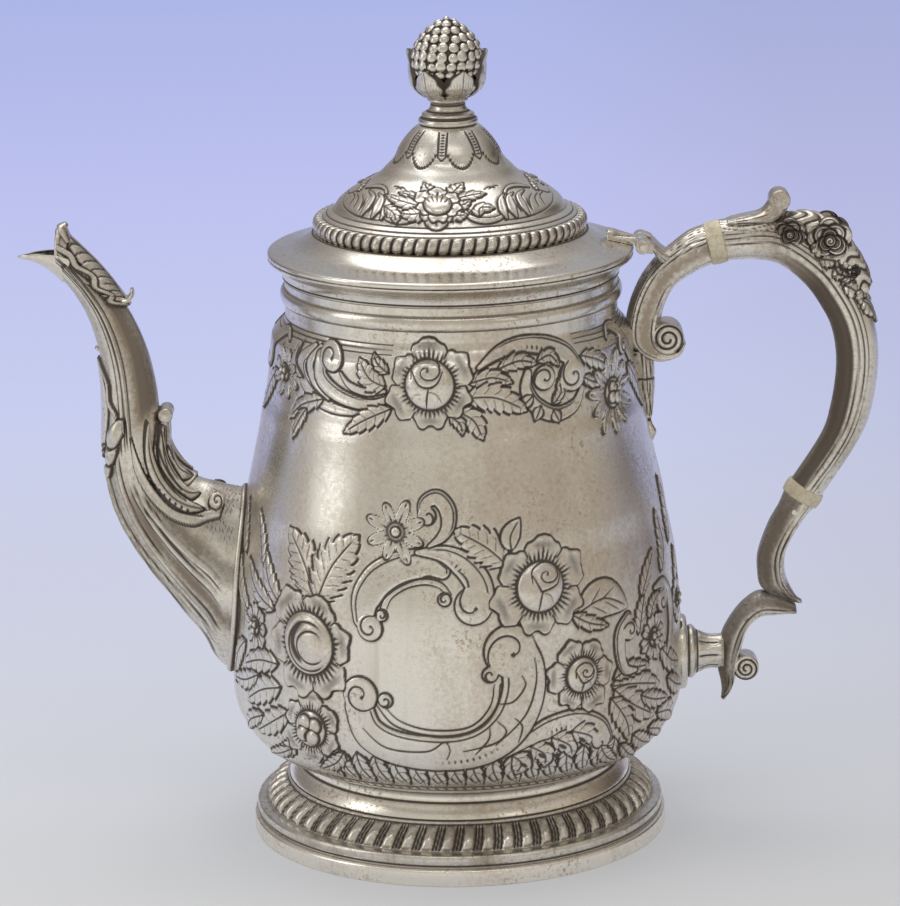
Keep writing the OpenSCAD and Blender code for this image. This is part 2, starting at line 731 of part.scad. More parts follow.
module spout_heel_leaf() {
  stations = part_of(spout_stations, 0.2, 0.56);
  root = section_point(stations[len(stations) - 1], 0);
  color(silver) union() {
    leaf_over(stations, [[30, leaf_t], [84, leaf_t * 1.4], [86, leaf_t * 1.6], [64, leaf_t * 1.8], [40, leaf_t * 1.6]], 0);
    rolled_tip(root.x + 2.6, root.z - 1.4, 2.1, 8);
  }
}

module spout_under_leaf() {
  stations = part_of(spout_stations, 0.4, 0.69);
  root = section_point(stations[len(stations) - 1], 180);
  color(silver) union() {
    leaf_over(stations, [[12, leaf_t], [34, leaf_t * 0.8], [40, leaf_t * 0.6], [26, leaf_t * 0.8]], 180);
    rolled_tip(root.x - 1.2, root.z, 1, 4);
  }
}

// ---- Handle ----

// Blind hole for a tenon, into the piece that lies in a direction from an insulating ring
module along_handle(centre, direction, from, length, radius) {
  start = centre + direction * from;
  translate([start.x, 0, start.y]) rotate([0, 90 - atan2(direction.y, direction.x), 0])
    cylinder(r = radius, h = length, $fn = 48);
}

module tenon_hole(centre, direction, ring_t) {
  along_handle(centre, direction, 0, ring_t / 2 + tenon_l + 0.3, tenon_r + fit_gap);
  lock_pin(centre, direction, ring_t, fit_gap, 4 * grip_half_w);
}

module lock_pin(centre, direction, ring_t, room, length) {
  at = centre + direction * (ring_t / 2 + lock_pin_inset);
  translate([at.x, 0, at.y]) rotate([90, 0, 0]) cylinder(r = lock_pin_r + room, h = length, center = true, $fn = 32);
}

module insulator(centre, direction, ring_t, ring_r) {
  bevel = 0.4;
  turn = [0, 90 - atan2(direction.y, direction.x), 0];
  color(ivory) difference() {
    union() {
      translate([centre.x, 0, centre.y]) rotate(turn) turned([
        [0, -ring_t / 2], [ring_r - bevel, -ring_t / 2], [ring_r, bevel - ring_t / 2],
        [ring_r, ring_t / 2 - bevel], [ring_r - bevel, ring_t / 2], [0, ring_t / 2]
      ]);
      along_handle(centre, -direction, 0, ring_t / 2 + tenon_l, tenon_r);
      along_handle(centre, direction, 0, ring_t / 2 + tenon_l, tenon_r);
    }
    for (way = [-1, 1]) lock_pin(centre, way * direction, ring_t, fit_gap, 4 * tenon_r);
  }
}

module insulator_upper() {
  insulator(ring_upper_c, ring_upper_dir, ring_upper_t, ring_upper_r);
}

module insulator_lower() {
  insulator(ring_lower_c, ring_lower_dir, ring_lower_t, ring_lower_r);
}

module insulator_pins() {
  width = 2 * end_half_w - 0.2;
  color(silver) for (way = [-1, 1]) {
    lock_pin(ring_upper_c, way * ring_upper_dir, ring_upper_t, 0, width);
    lock_pin(ring_lower_c, way * ring_lower_dir, ring_lower_t, 0, width);
  }
}

module handle_grip() {
  color(silver) difference() {
    bar(grip_stations);
    tenon_hole(ring_upper_c, ring_upper_dir, ring_upper_t);
    tenon_hole(ring_lower_c, -ring_lower_dir, ring_lower_t);
  }
}

module handle_upper_socket() {
  color(silver) difference() {
    union() {
      bar(upper_socket_stations);
      rolled_tip(upper_volute_c.x, upper_volute_c.y, upper_volute_r, 1.7 * grip_half_w);
    }
    tenon_hole(ring_upper_c, -ring_upper_dir, ring_upper_t);
    body_room();
  }
}

module handle_leaf_drop() {
  // Depth below the shoulder, how far it stands out of the body, and half width
  rows = [[10.2, 4.9, 5], [17, 4.2, 4.2], [24, 2.6, 2.6], [29, 1.2, 1.4], [32, 1.9, 1.7], [34.6, 0.4, 0.5]];
  color(silver) difference() {
    bar(smooth([for (row = rows)
      let (z = handle_z(-row[0]), wall_r = body_r_at(z))
      [wall_r - 3, z, wall_r + row[1], z, row[2]]], 2));
    body_room();
  }
}

module handle_thumb_scroll() {
  tip = handle_point([43.7, 38.9]);
  color(silver) union() {
    bar(smooth(handle_sections([
      [29.5, 33.4, 29.2, 34.4, 0.8],
      [35.2, 33.9, 34.8, 36.2, 0.9],
      [40, 34.1, 38.8, 37.6, 0.84],
      [45.4, 34.3, 41.2, 40, 0.75],
      [46.6, 37, 42.4, 41, 0.7]
    ]), 2));
    rolled_tip(tip.x, tip.y, 3.3, 1.4 * grip_half_w);
  }
}

module handle_rose_spray() {
  small_rose = handle_point([46.6, 30]);
  small_rose_r = 0.65 * grip_half_w;
  large_rose = handle_point([57.6, 27.4]);
  large_rose_r = 1.05 * grip_half_w;
  rose_t = 0.35 * grip_half_w;
  color(silver) union() {
    leaf_over(part_of(grip_stations, 0.235, 0.64),
      [[40, 1.2], [58, 5.4], [62, 6.4], [60, 6], [50, 4], [40, 2], [24, 0.6]], 180);
    for (side = [-1, 1]) translate([0, side * (grip_half_w + 0.1 + rose_t / 2), 0]) {
      rolled_tip(small_rose.x, small_rose.y, small_rose_r, rose_t);
      rolled_tip(large_rose.x, large_rose.y, large_rose_r, rose_t);
    }
  }
}

module handle_lower_socket() {
  color(silver) difference() {
    union() {
      bar(lower_socket_stations);
      bar(lower_scroll_stations);
      rolled_tip(lower_volute_c.x, lower_volute_c.y, lower_volute_r, 1.4 * grip_half_w);
    }
    tenon_hole(ring_lower_c, ring_lower_dir, ring_lower_t);
  }
}

module handle_lower_mount() {
  color(silver) difference() {
    translate([mount_x, 0, mount_z]) rotate([0, 90, 0]) turned([
      [0, -3], [mount_disc_r, -3], [mount_disc_r, 0.8], [mount_disc_r - 0.6, 1.3], [mount_disc_r * 0.68, 1.3],
      [mount_disc_r * 0.68, 1.7], [mount_disc_r * 0.73, 1.9], [mount_disc_r * 0.73, 3.2], [mount_disc_r * 0.66, 3.8],
      [mount_spool_r + 1.2, 5], [mount_spool_r + 0.3, 6.6], [mount_spool_r, 8.2],
      [mount_spool_r, mount_end_x - mount_x], [0, mount_end_x - mount_x]
    ]);
    body_room();
    bar(lower_scroll_stations, solder_gap);
  }
}

body_shell();
neck_band();
mouth_rim();
foot_collar();
foot_gadroon_band();
foot_plinth();
spout();
spout_joint_bead();
spout_tip_leaf();
spout_heel_leaf();
spout_under_leaf();
handle_upper_socket();
handle_leaf_drop();
insulator_upper();
handle_grip();
handle_thumb_scroll();
handle_rose_spray();
insulator_lower();
handle_lower_socket();
handle_lower_mount();
insulator_pins();
hinge_handle_leaf();
hinge_pin();
lid_cover();
lid_gadroon_wire();
lid_bezel();
hinge_lid_leaf();
finial_stem();
finial_calyx();
finial_fruit();
finial_stud();
finial_washer();
finial_nut();
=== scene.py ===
"""Dresses the coffee pot: chased body, cast spout and handle, foot, lid, finial, hinge and studio."""

import json
import logging
import math
from collections.abc import Callable
from dataclasses import dataclass, field
from enum import StrEnum

import bpy
import numpy as np
from mathutils import Matrix, Vector

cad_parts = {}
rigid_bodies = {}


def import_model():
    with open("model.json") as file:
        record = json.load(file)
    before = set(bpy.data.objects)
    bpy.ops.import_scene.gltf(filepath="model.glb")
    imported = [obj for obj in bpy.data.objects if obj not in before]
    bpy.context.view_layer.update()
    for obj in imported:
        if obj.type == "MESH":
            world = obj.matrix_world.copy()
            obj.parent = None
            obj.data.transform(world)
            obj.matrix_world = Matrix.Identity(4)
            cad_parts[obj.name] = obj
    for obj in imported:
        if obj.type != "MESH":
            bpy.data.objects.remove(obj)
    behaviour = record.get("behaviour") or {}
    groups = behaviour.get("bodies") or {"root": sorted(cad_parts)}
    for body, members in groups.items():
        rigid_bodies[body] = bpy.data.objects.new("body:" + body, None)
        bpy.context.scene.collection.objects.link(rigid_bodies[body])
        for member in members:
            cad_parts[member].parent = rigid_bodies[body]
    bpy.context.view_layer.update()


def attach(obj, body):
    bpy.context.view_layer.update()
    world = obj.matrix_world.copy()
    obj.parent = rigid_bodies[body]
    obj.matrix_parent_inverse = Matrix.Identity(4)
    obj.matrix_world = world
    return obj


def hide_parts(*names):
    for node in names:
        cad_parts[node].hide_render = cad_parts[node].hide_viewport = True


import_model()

LOG = logging.getLogger("coffee_pot")
MM = 0.001
FULL_TURN = 2 * math.pi

Pair = tuple[float, float]
Points = list[Pair]
Station = tuple[float, ...]
Colour = tuple[float, float, float]
Array = np.ndarray
Piece = bpy.types.Object
Socket = bpy.types.NodeSocket
PlaceFinder = Callable[[float, float], Pair]
Form = Callable[[Array, Array, Array], tuple[Array, Array]]


class Body(StrEnum):
    """Bodies of the pot, which meet in the lid's hinge."""

    POT = "pot"
    LID = "lid"


# ---------------------------------------------------------------- numbers


def smooth_curve(points: list[Station] | Array, steps: int = 8) -> Array:
    """Draw a smooth curve through points.

    Args:
        points: Stations of any dimension.
        steps: Cells between two stations.

    Returns:
        The curve's points, one row each.
    """
    p = np.array(points, float)
    padded = np.vstack([p[:1], p, p[-1:]])
    rows = []
    for i in range(len(p) - 1):
        a, b, c, d = padded[i : i + 4]
        for t in np.arange(steps) / steps:
            bend, twist = 2 * a - 5 * b + 4 * c - d, 3 * b - a - 3 * c + d
            rows.append(0.5 * (2 * b + (c - a) * t + bend * t**2 + twist * t**3))
    return np.array(rows + [p[-1]])


def run_along(curve: Array) -> Array:
    """Distance of each point of a curve from its start."""
    return np.concatenate([[0], np.cumsum(np.linalg.norm(np.diff(curve, axis=0), axis=1))])


def even_curve(curve: Array, spacing: float) -> Array:
    """Place points at an even distance along a curve.

    Args:
        curve: Points of the curve.
        spacing: Distance wanted between two points.

    Returns:
        The new points, with both ends kept.
    """
    run = run_along(curve[:, :2])
    count = max(2, round(run[-1] / spacing) + 1)
    at = np.linspace(0, run[-1], count)
    return np.stack([np.interp(at, run, curve[:, k]) for k in range(curve.shape[1])], 1)


def ease(x: Array) -> Array:
    """Rise smoothly from 0 to 1 as x goes from 0 to 1."""
    x = np.clip(x, 0, 1)
    return x * x * (3 - 2 * x)


def bell(x: Array, width: float) -> Array:
    """Peak of 1 at x = 0 that fades over a width."""
    return np.exp(-((x / width) ** 2))


def unit(rows: Array) -> Array:
    """Scale each vector of a table to a length of 1."""
    return rows / np.maximum(np.linalg.norm(rows, axis=-1), 1e-9)[..., None]


def front_angle(places: Array) -> Array:
    """Angle of each place round the Z axis, from the front, in radians."""
    return np.arctan2(places[:, 0], -places[:, 1])


def fold_back(angle: Array) -> Array:
    """Mirror angles of the back half, in degrees, onto the front half."""
    return np.where(np.abs(angle) > 90, np.sign(angle) * 180 - angle, angle)


# ---------------------------------------------------------------- workbench


class Bench:
    """Modelling steps that the pieces share. Sizes are in millimetres."""

    @staticmethod
    def clear() -> None:
        """Leave edit mode and deselect everything."""
        if bpy.context.object and bpy.context.object.mode != "OBJECT":
            bpy.ops.object.mode_set(mode="OBJECT")
        bpy.ops.object.select_all(action="DESELECT")

    @staticmethod
    def settle(obj: Piece, name: str, angle: float = 40) -> Piece:
        """Name a finished piece, put its place into its mesh and shade it.

        Args:
            obj: The piece.
            name: Its name.
            angle: Edges sharper than this many degrees stay sharp.

        Returns:
            The piece.
        """
        Bench.clear()
        obj.select_set(True)
        bpy.context.view_layer.objects.active = obj
        bpy.ops.object.transform_apply(location=True, rotation=True, scale=True)
        bpy.ops.object.shade_smooth_by_angle(angle=math.radians(angle))
        obj.name = obj.data.name = name
        obj.select_set(False)
        return obj

    @staticmethod
    def lathe(name: str, profile: Points | Array, steps: int, closed: bool) -> Piece:
        """Turn a profile once round the Z axis with the spin operator.

        Args:
            name: Name of the piece.
            profile: Radius and height of each point.
            steps: Cells round the turn.
            closed: Whether the profile ends where it starts.

        Returns:
            The turned piece, still unshaded.
        """
        Bench.clear()
        front = -math.pi / 2
        outline = np.array([(r * math.cos(front), r * math.sin(front), z) for r, z in profile])
        bpy.ops.mesh.primitive_circle_add(vertices=len(outline), radius=MM, location=(0, 0, 0))
        obj = bpy.context.object
        Bench.set_places(obj, outline)
        if not closed:
            ends = {0, len(outline) - 1}
            obj.data.edges.foreach_set("select", [set(e.vertices) == ends for e in obj.data.edges])
            bpy.context.tool_settings.mesh_select_mode = (False, True, False)
            bpy.ops.object.mode_set(mode="EDIT")
            bpy.ops.mesh.delete(type="EDGE")
            bpy.context.tool_settings.mesh_select_mode = (True, False, False)
        else:
            bpy.ops.object.mode_set(mode="EDIT")
        bpy.ops.mesh.select_all(action="SELECT")
        bpy.ops.mesh.spin(steps=steps, angle=FULL_TURN, center=(0, 0, 0), axis=(0, 0, 1))
        bpy.ops.mesh.select_all(action="SELECT")
        bpy.ops.mesh.remove_doubles(threshold=0.002 * MM)
        bpy.ops.mesh.normals_make_consistent(inside=False)
        bpy.ops.object.mode_set(mode="OBJECT")
        obj.name = obj.data.name = name
        return obj

    @staticmethod
    def fine_lathe(
        name: str, profile: Points | Array, steps: int, start: float = 0, sweep: float = 360,
        closed: bool = False,
    ) -> Piece:
        """Turn a profile with very many cells, for relief, by bending a grid round the Z axis.

        The spin operator is too slow for so many.

        Args:
            name: Name of the piece.
            profile: Radius and height of each point.
            steps: Cells round the turn.
            start: Angle where the profile starts, in degrees from the front.
            sweep: Angle that it turns through.
            closed: Whether the profile ends where it starts.

        Returns:
            The turned piece, still unshaded.
        """
        line = np.array(profile, float)
        if closed:
            line = np.vstack([line, line[:1]])
        turn = np.radians(start - 90 + np.linspace(0, sweep, steps + 1))
        flat = line[:, :1]
        places = np.stack(
            [flat * np.cos(turn), flat * np.sin(turn), np.repeat(line[:, 1:2], len(turn), 1)], -1,
        )
        return Bench.sheet(name, places)

    @staticmethod
    def turn(
        name: str, profile: Points | Array, spots: Points = (), steps: int = 256, closed: bool = False,
        width: float = 0.35,
    ) -> Piece:
        """Turn a plain piece, with oxide left in its creases.

        Args:
            name: Name of the piece.
            profile: Radius and height of each point.
            spots: Radius and height of each crease.
            steps: Cells round the turn.
            closed: Whether the profile ends where it starts.
            width: How far the oxide spreads.

        Returns:
            The piece, still to be settled.
        """
        obj = Bench.lathe(name, profile, steps, closed)
        p = Bench.places(obj)
        r = np.hypot(p[:, 0], p[:, 1])
        oxide = np.zeros(len(p))
        for spot_r, spot_z in spots:
            oxide = np.maximum(oxide, 0.9 * bell(np.hypot(r - spot_r, p[:, 2] - spot_z), width))
        Bench.mark(obj, oxide, 0.5)
        return obj

    @staticmethod
    def aim(obj: Piece, at: Pair, tilt: float) -> None:
        """Tip a turned piece over in the plane of spout and handle and move it there.

        Args:
            obj: The piece.
            at: Place of its origin, as x and z.
            tilt: Angle from +Z towards +X, in degrees.
        """
        tip = Matrix.Rotation(math.radians(tilt), 4, "Y")
        obj.matrix_world = Matrix.Translation((at[0] * MM, 0, at[1] * MM)) @ tip

    @staticmethod
    def lean_on_pin(obj: Piece, at: tuple[float, float, float]) -> None:
        """Lay a turned piece along the Y axis, with its top towards the front, and move it."""
        obj.matrix_world = Matrix.Translation([c * MM for c in at]) @ Matrix.Rotation(math.pi / 2, 4, "X")

    @staticmethod
    def plate(name: str, outline: Points, width: float, bevel: float = 0.3) -> Piece:
        """Cut a plate to an outline in the plane of spout and handle.

        Args:
            name: Name of the piece.
            outline: Its x and z places.
            width: Its size along Y.
            bevel: Size of its rounded edges.

        Returns:
            The plate.
        """
        Bench.clear()
        bpy.ops.mesh.primitive_circle_add(vertices=len(outline), radius=MM, location=(0, 0, 0))
        obj = bpy.context.object
        Bench.set_places(obj, np.array([(x, -width / 2, z) for x, z in outline]))
        bpy.ops.object.mode_set(mode="EDIT")
        bpy.ops.mesh.select_all(action="SELECT")
        bpy.ops.mesh.edge_face_add()
        bpy.ops.mesh.extrude_region_move(TRANSFORM_OT_translate={"value": (0, width * MM, 0)})
        bpy.ops.mesh.select_all(action="SELECT")
        bpy.ops.mesh.normals_make_consistent(inside=False)
        bpy.ops.mesh.bevel(offset=bevel * MM, segments=3, affect="EDGES")
        bpy.ops.object.mode_set(mode="OBJECT")
        obj.name = obj.data.name = name
        Bench.mark(obj, 0.0, 0.5)
        return obj

    @staticmethod
    def places(obj: Piece) -> Array:
        """Read where the vertices of a piece are.

        Args:
            obj: The piece.

        Returns:
            Places in millimetres, one row each.
        """
        co = np.empty(len(obj.data.vertices) * 3)
        obj.data.vertices.foreach_get("co", co)
        return co.reshape(-1, 3) / MM

    @staticmethod
    def set_places(obj: Piece, places: Array) -> None:
        """Write vertex places given in millimetres."""
        obj.data.vertices.foreach_set("co", (places * MM).ravel())
        obj.data.update()

    @staticmethod
    def mark(obj: Piece, oxide: Array | float, relief: Array | float) -> None:
        """Keep oxide and relief per vertex as attributes, which the finishes read.

        Args:
            obj: The piece.
            oxide: Amount of dark oxide, and of painted shade, 0 to 1.
            relief: Height of the relief, 0.5 where it is level.
        """
        for name, value in (("oxide", oxide), ("relief", relief)):
            layer = obj.data.attributes.get(name) or obj.data.attributes.new(name, "FLOAT", "POINT")
            layer.data.foreach_set("value", np.full(len(obj.data.vertices), np.ravel(value), np.float32))

    @staticmethod
    def sheet(
        name: str, places: Array, oxide: Array | float = 0.0, relief: Array | float = 0.5, weld: bool = True,
    ) -> Piece:
        """Shape a grid primitive over rows and columns of places.

        Args:
            name: Name of the piece.
            places: Places in millimetres, rows by columns.
            oxide: Amount of dark oxide, and of painted shade, at each place.
            relief: Height of the relief at each place, 0.5 where it is level.
            weld: Whether places that meet are merged.

        Returns:
            The piece.
        """
        Bench.clear()
        rows, columns = places.shape[:2]
        bpy.ops.mesh.primitive_grid_add(x_subdivisions=columns - 1, y_subdivisions=rows - 1, size=MM)
        obj = bpy.context.object
        Bench.set_places(obj, places.reshape(-1, 3))
        Bench.mark(obj, oxide, relief)
        bpy.ops.object.mode_set(mode="EDIT")
        bpy.ops.mesh.select_all(action="SELECT")
        if weld:
            bpy.ops.mesh.remove_doubles(threshold=0.004 * MM)
        bpy.ops.mesh.normals_make_consistent(inside=False)
        bpy.ops.object.mode_set(mode="OBJECT")
        obj.name = obj.data.name = name
        return obj

    @staticmethod
    def face_inwards() -> None:
        """Turn the faces of the active piece to its inside."""
        bpy.ops.object.mode_set(mode="EDIT")
        bpy.ops.mesh.select_all(action="SELECT")
        bpy.ops.mesh.flip_normals()
        bpy.ops.object.mode_set(mode="OBJECT")

    @staticmethod
    def trim(obj: Piece, keep: Array) -> None:
        """Delete the vertices that aren't kept.

        Args:
            obj: The piece.
            keep: True for each vertex that stays.
        """
        Bench.clear()
        obj.select_set(True)
        bpy.context.view_layer.objects.active = obj
        for elements in (obj.data.polygons, obj.data.edges):
            elements.foreach_set("select", np.zeros(len(elements), bool))
        obj.data.vertices.foreach_set("select", ~keep)
        bpy.ops.object.mode_set(mode="EDIT")
        bpy.ops.mesh.delete(type="VERT")
        bpy.ops.object.mode_set(mode="OBJECT")

    @staticmethod
    def join(pieces: list[Piece], name: str) -> Piece:
        """Join pieces into the first one.

        Args:
            pieces: The pieces, which ride on the same body.
            name: Name of what they make together.

        Returns:
            The joined piece.
        """
        Bench.clear()
        for piece in pieces:
            piece.select_set(True)
        bpy.context.view_layer.objects.active = pieces[0]
        bpy.ops.object.join()
        return Bench.settle(pieces[0], name)


# ---------------------------------------------------------------- chasing


class Chasing:
    """Raised and engraved work on a surface that is laid out flat, in millimetres."""

    def __init__(self, across: Array, along: Array) -> None:
        """Start with a plain surface.

        Args:
            across: Place of each vertex across the surface.
            along: Place of each vertex along the surface.
        """
        self.across, self.along = across, along
        self.height = np.zeros_like(across)
        self.oxide = np.zeros_like(across)
        self.cover = np.zeros_like(across)

    def near(self, low: Pair, high: Pair) -> Array:
        """Find the vertices inside a box."""
        x, y = self.across, self.along
        return np.nonzero((x > low[0]) & (x < high[0]) & (y > low[1]) & (y < high[1]))[0]

    def about(self, at: Pair, radius: float) -> tuple[Array, Array, Array, Array]:
        """Find the vertices round a centre.

        Args:
            at: Centre.
            radius: Radius of the form that will stand there.

        Returns:
            The vertices, their offsets across and along from the centre, and their distance to it.
        """
        reach = radius + 1
        where = self.near((at[0] - reach, at[1] - reach), (at[0] + reach, at[1] + reach))
        dx, dy = self.across[where] - at[0], self.along[where] - at[1]
        return where, dx, dy, np.hypot(dx, dy)

    def stamp(
        self, where: Array, edge: Array, height: Array, oxide: Array | float = 0.0,
        outline: Array | float = 1.0,
    ) -> None:
        """Lay a form over what is there, chase a dark line round it and paint shade on the ground next to
        it.

        Args:
            where: Vertices that the form can reach.
            edge: Distance outside the form's edge, negative inside.
            height: Height of the form.
            oxide: Dark oxide left on the form.
            outline: Strength of the line round it and of the painted shade next to it.
        """
        cover = ease(0.5 - edge / 0.3)
        ring = bell(edge - 0.05, 0.34) * outline
        self.cover[where] = np.maximum(self.cover[where], ease(1.4 - edge / 0.5))
        self.height[where] = self.height[where] * (1 - cover) + height * cover - 0.3 * ring
        # Painted shade: the ground next to the form is darkened as if the raised form shaded it.
        shade = 0.25 * bell(np.maximum(edge, 0), 0.9) * (1 - cover) * outline
        left = self.oxide[where] * (1 - cover) + oxide * cover
        self.oxide[where] = np.maximum.reduce([left, 0.95 * ring, shade])

    def nearest(self, path: Points, reach: float, steps: int = 6) -> tuple[Array, Array, Array, float]:
        """Measure the vertices against a smooth path.

        Args:
            path: Points of the path.
            reach: How far from the path vertices are looked for.
            steps: Cells between two points of the path.

        Returns:
            The vertices, how far along the path each lies (0 to 1), its signed distance to the path, and the
            path's length.
        """
        line = smooth_curve(path, steps)
        where = self.near(tuple(line.min(0) - reach), tuple(line.max(0) + reach))
        p = np.stack([self.across[where], self.along[where]], 1)
        best = np.full(len(p), 1e9)
        share, side = np.zeros(len(p)), np.zeros(len(p))
        run = run_along(line)
        for i in range(len(line) - 1):
            a, d = line[i], line[i + 1] - line[i]
            size = max(float(d @ d), 1e-9)
            t = np.clip(((p - a) @ d) / size, 0, 1)
            off = p - a - t[:, None] * d
            far = np.hypot(off[:, 0], off[:, 1])
            closer = far < best
            best = np.where(closer, far, best)
            share = np.where(closer, (run[i] + t * math.sqrt(size)) / run[-1], share)
            side = np.where(closer, np.where(d[0] * off[:, 1] - d[1] * off[:, 0] > 0, far, -far), side)
        return where, share, side, float(run[-1])

    def line(self, path: Points, width: float = 0.4, depth: float = 0.25, strength: float = 0.95) -> None:
        """Engrave a line that thins out towards its ends.

        Args:
            path: Points of the line.
            width: Half width at its middle.
            depth: Depth of the cut.
            strength: Amount of oxide in it.
        """
        where, share, side, _ = self.nearest(path, 2)
        cut = bell(side, width * (0.55 + 0.45 * np.sin(np.pi * share))) * strength
        self.height[where] -= depth * cut
        self.oxide[where] = np.maximum(self.oxide[where], cut)

    def band(
        self, path: Points, widths: list[float], height: float = 0.9, rib: float = 0.62, ticks: bool = False,
    ) -> None:
        """Raise a scroll band with a line inside its rims.

        Args:
            path: Middle line of the band.
            widths: Half widths along the path.
            height: Height of the rims.
            rib: Where the inner line lies, as a share of the half width.
            ticks: Whether short punched strokes lie inside the band.
        """
        where, share, side, length = self.nearest(path, max(widths) + 1)
        half = np.interp(share, np.linspace(0, 1, len(widths)), widths)
        x = side / np.maximum(half, 0.1)
        dished = height * (0.62 + 0.38 * np.clip(np.abs(x), 0, 1) ** 2)
        form = dished * np.sqrt(np.clip(1.15 - np.abs(x) ** 3, 0, 1))
        inner = bell((x - rib) * half, 0.3) * ease(half - 1.2)
        dark = inner * 0.85
        form = form - 0.16 * inner
        if ticks:
            tick = bell((share * length) % 1.7 - 0.85, 0.34)
            beat = tick * bell((x + 0.45) * half, 0.65) * bell(share - 0.5, 0.12)
            dark, form = np.maximum(dark, beat), form - 0.2 * beat
        self.stamp(where, np.abs(side) - half, form, dark)

    def volute(
        self, at: Pair, radius: float, turn: float = 0, hand: int = 1, height: float = 1.1,
        laps: float = 0.9,
    ) -> None:
        """Raise the rounded, curled end of a scroll that is there already.

        Args:
            at: Centre.
            radius: Radius of the scroll end.
            turn: Angle where the curl leaves the rim, in degrees.
            hand: 1 or -1 for the way it winds.
            height: Height of its middle.
            laps: How many turns the curl makes.
        """
        where, _, _, rho = self.about(at, radius)
        form = height * (0.7 + 0.3 * np.sqrt(np.clip(1 - (rho / radius) ** 2, 0, 1)))
        self.stamp(where, rho - radius, form, 0, 1 - 0.92 * ease(self.cover[where] * 2 - 0.6))
        count = max(6, round(14 * laps))
        curl = []
        for k in range(count + 1):
            share = k / count
            angle = math.radians(turn) + hand * FULL_TURN * laps * share
            far = radius * (1 - 0.84 * share**0.85)
            curl.append((at[0] + far * math.cos(angle), at[1] + far * math.sin(angle)))
        self.line(curl, 0.36, 0.3, 1.0)
        end = curl[-1]
        self.line([end, (end[0] + 0.08 * radius, end[1])], 0.11 * radius + 0.2, 0.3, 0.9)

    def leaf(
        self, path: Points, width: float, teeth: int = 5, height: float = 0.9, veins: bool = True,
        one_side: int = 0, skew: float = 0.42,
    ) -> None:
        """Raise a serrated leaf along a path from its root to its tip.

        Args:
            path: Midrib of the leaf.
            width: Half width at its widest.
            teeth: Teeth along each side, or 0 for a smooth edge.
            height: Height of the leaf.
            veins: Whether side veins are chased.
            one_side: 1 or -1 to let the leaf grow on one side of its rib only.
            skew: Where the leaf is widest.
        """
        where, share, side, length = self.nearest(path, width * 1.5 + 1)
        power = math.log(0.5) / math.log(skew)
        half = width * np.sin(np.pi * np.clip(share, 0.0, 1.0) ** power) ** 0.75 + 0.25
        if teeth:
            tooth = (share * (teeth + 0.35)) % 1.0
            half = half * (0.74 + 0.34 * tooth**0.8)
        if one_side:
            half = np.where(side * one_side > 0, half, 0.5)
        x = np.abs(side) / half
        rib = bell(side, 0.3) * ease((1 - share) * 5)
        dark = rib * 0.85
        if veins and teeth:
            slope = (share * length - 0.75 * np.abs(side)) / length * (teeth + 0.35)
            vein = bell((slope % 1.0 - 0.5) * length / (teeth + 0.35), 0.26) * (x > 0.16) * (x < 0.8)
            dark = np.maximum(dark, 0.6 * vein)
        form = height * (0.35 + 0.65 * np.sqrt(np.clip(1 - x**2, 0, 1))) - 0.25 * dark
        if height > 1.4:
            form = form * (0.25 + 0.75 * ease(share * 4))
        self.stamp(where, (np.abs(side) - half) * 0.8, form, dark)

    def flower(
        self, at: Pair, radius: float, petals: int, heart: float, turn: float = 0, pointed: bool = False,
        height: float = 1.5,
    ) -> None:
        """Raise a flower's petals round its heart, with painted shade on the petals near the heart.

        Args:
            at: Centre.
            radius: Radius over the petals.
            petals: How many petals it has.
            heart: Radius of its heart.
            turn: Angle of the first petal, in degrees.
            pointed: Whether the petals end in points.
            height: Height of the heart.
        """
        where, dx, dy, rho = self.about(at, radius)
        phi = np.arctan2(dy, dx) - math.radians(turn)
        lobe = np.cos(petals * phi / 2) ** 2
        index = np.floor((phi % FULL_TURN) / FULL_TURN * petals + 0.5) % petals
        size = radius * (1 - 0.07 * np.sin(index * 2.4 + at[0]))
        if pointed:
            rim = heart + (size - heart) * np.clip(lobe, 0, 1) ** 0.4
        else:
            notch = 0.05 * bell(np.abs(np.cos(petals * phi / 2)) - 1, 0.06)
            wave = 0.045 * np.cos(petals * phi * 2 + index) * ease(lobe * 3)
            rim = size * (0.8 + 0.2 * np.clip(lobe, 0, 1) ** 0.45 - notch + wave)
        out = np.clip((rho - heart) / np.maximum(rim - heart, 0.2), 0, 1)
        gap = np.abs(np.sin(petals * phi / 2 + math.pi / 2)) * rho * 2 / petals
        between = bell(gap, 0.3) * ease((out - 0.25) * 4) * (0.0 if pointed else 1.0)
        strokes_each = 3 if radius < 8 or pointed else 5 if petals > 6 else 7
        strokes = 0.5 + 0.5 * np.cos(phi * petals * strokes_each)
        reach = (0.2 if pointed else 0.42) + 0.12 * np.cos(index * 1.7) + 0.12 * np.cos(phi * petals * 2)
        rays_and_heart_shade = ease((strokes - 0.25) * 2.2) * bell(out, reach) * ease((rho - heart) * 3 + 0.6)
        # A shallow groove where the petals meet the heart; its darkness is painted shade, kept with the
        # chased rays.
        rays_and_heart_shade = np.maximum(rays_and_heart_shade, 0.6 * bell(rho - heart, 0.06 * radius + 0.2))
        dent = bell(rho - 0.8 * size, 0.1 * radius) * bell(gap - 0.28 * radius, 0.13 * radius)
        off_middle = np.sin(petals * phi / 2) * rho * 2 / petals
        if pointed:
            dent = 2 * bell(out - 0.8, 0.12) * bell(off_middle, 0.3)
        vein = bell(off_middle, 0.22) * bell(out - 0.45, 0.25) * (0.3 if pointed else 0.35)
        form = 0.62 * height * (0.42 + 0.58 * out**1.3 * (0.4 + 0.6 * lobe))
        form = form - 0.35 * between - 0.25 * rays_and_heart_shade - 0.1 * vein - 0.35 * dent
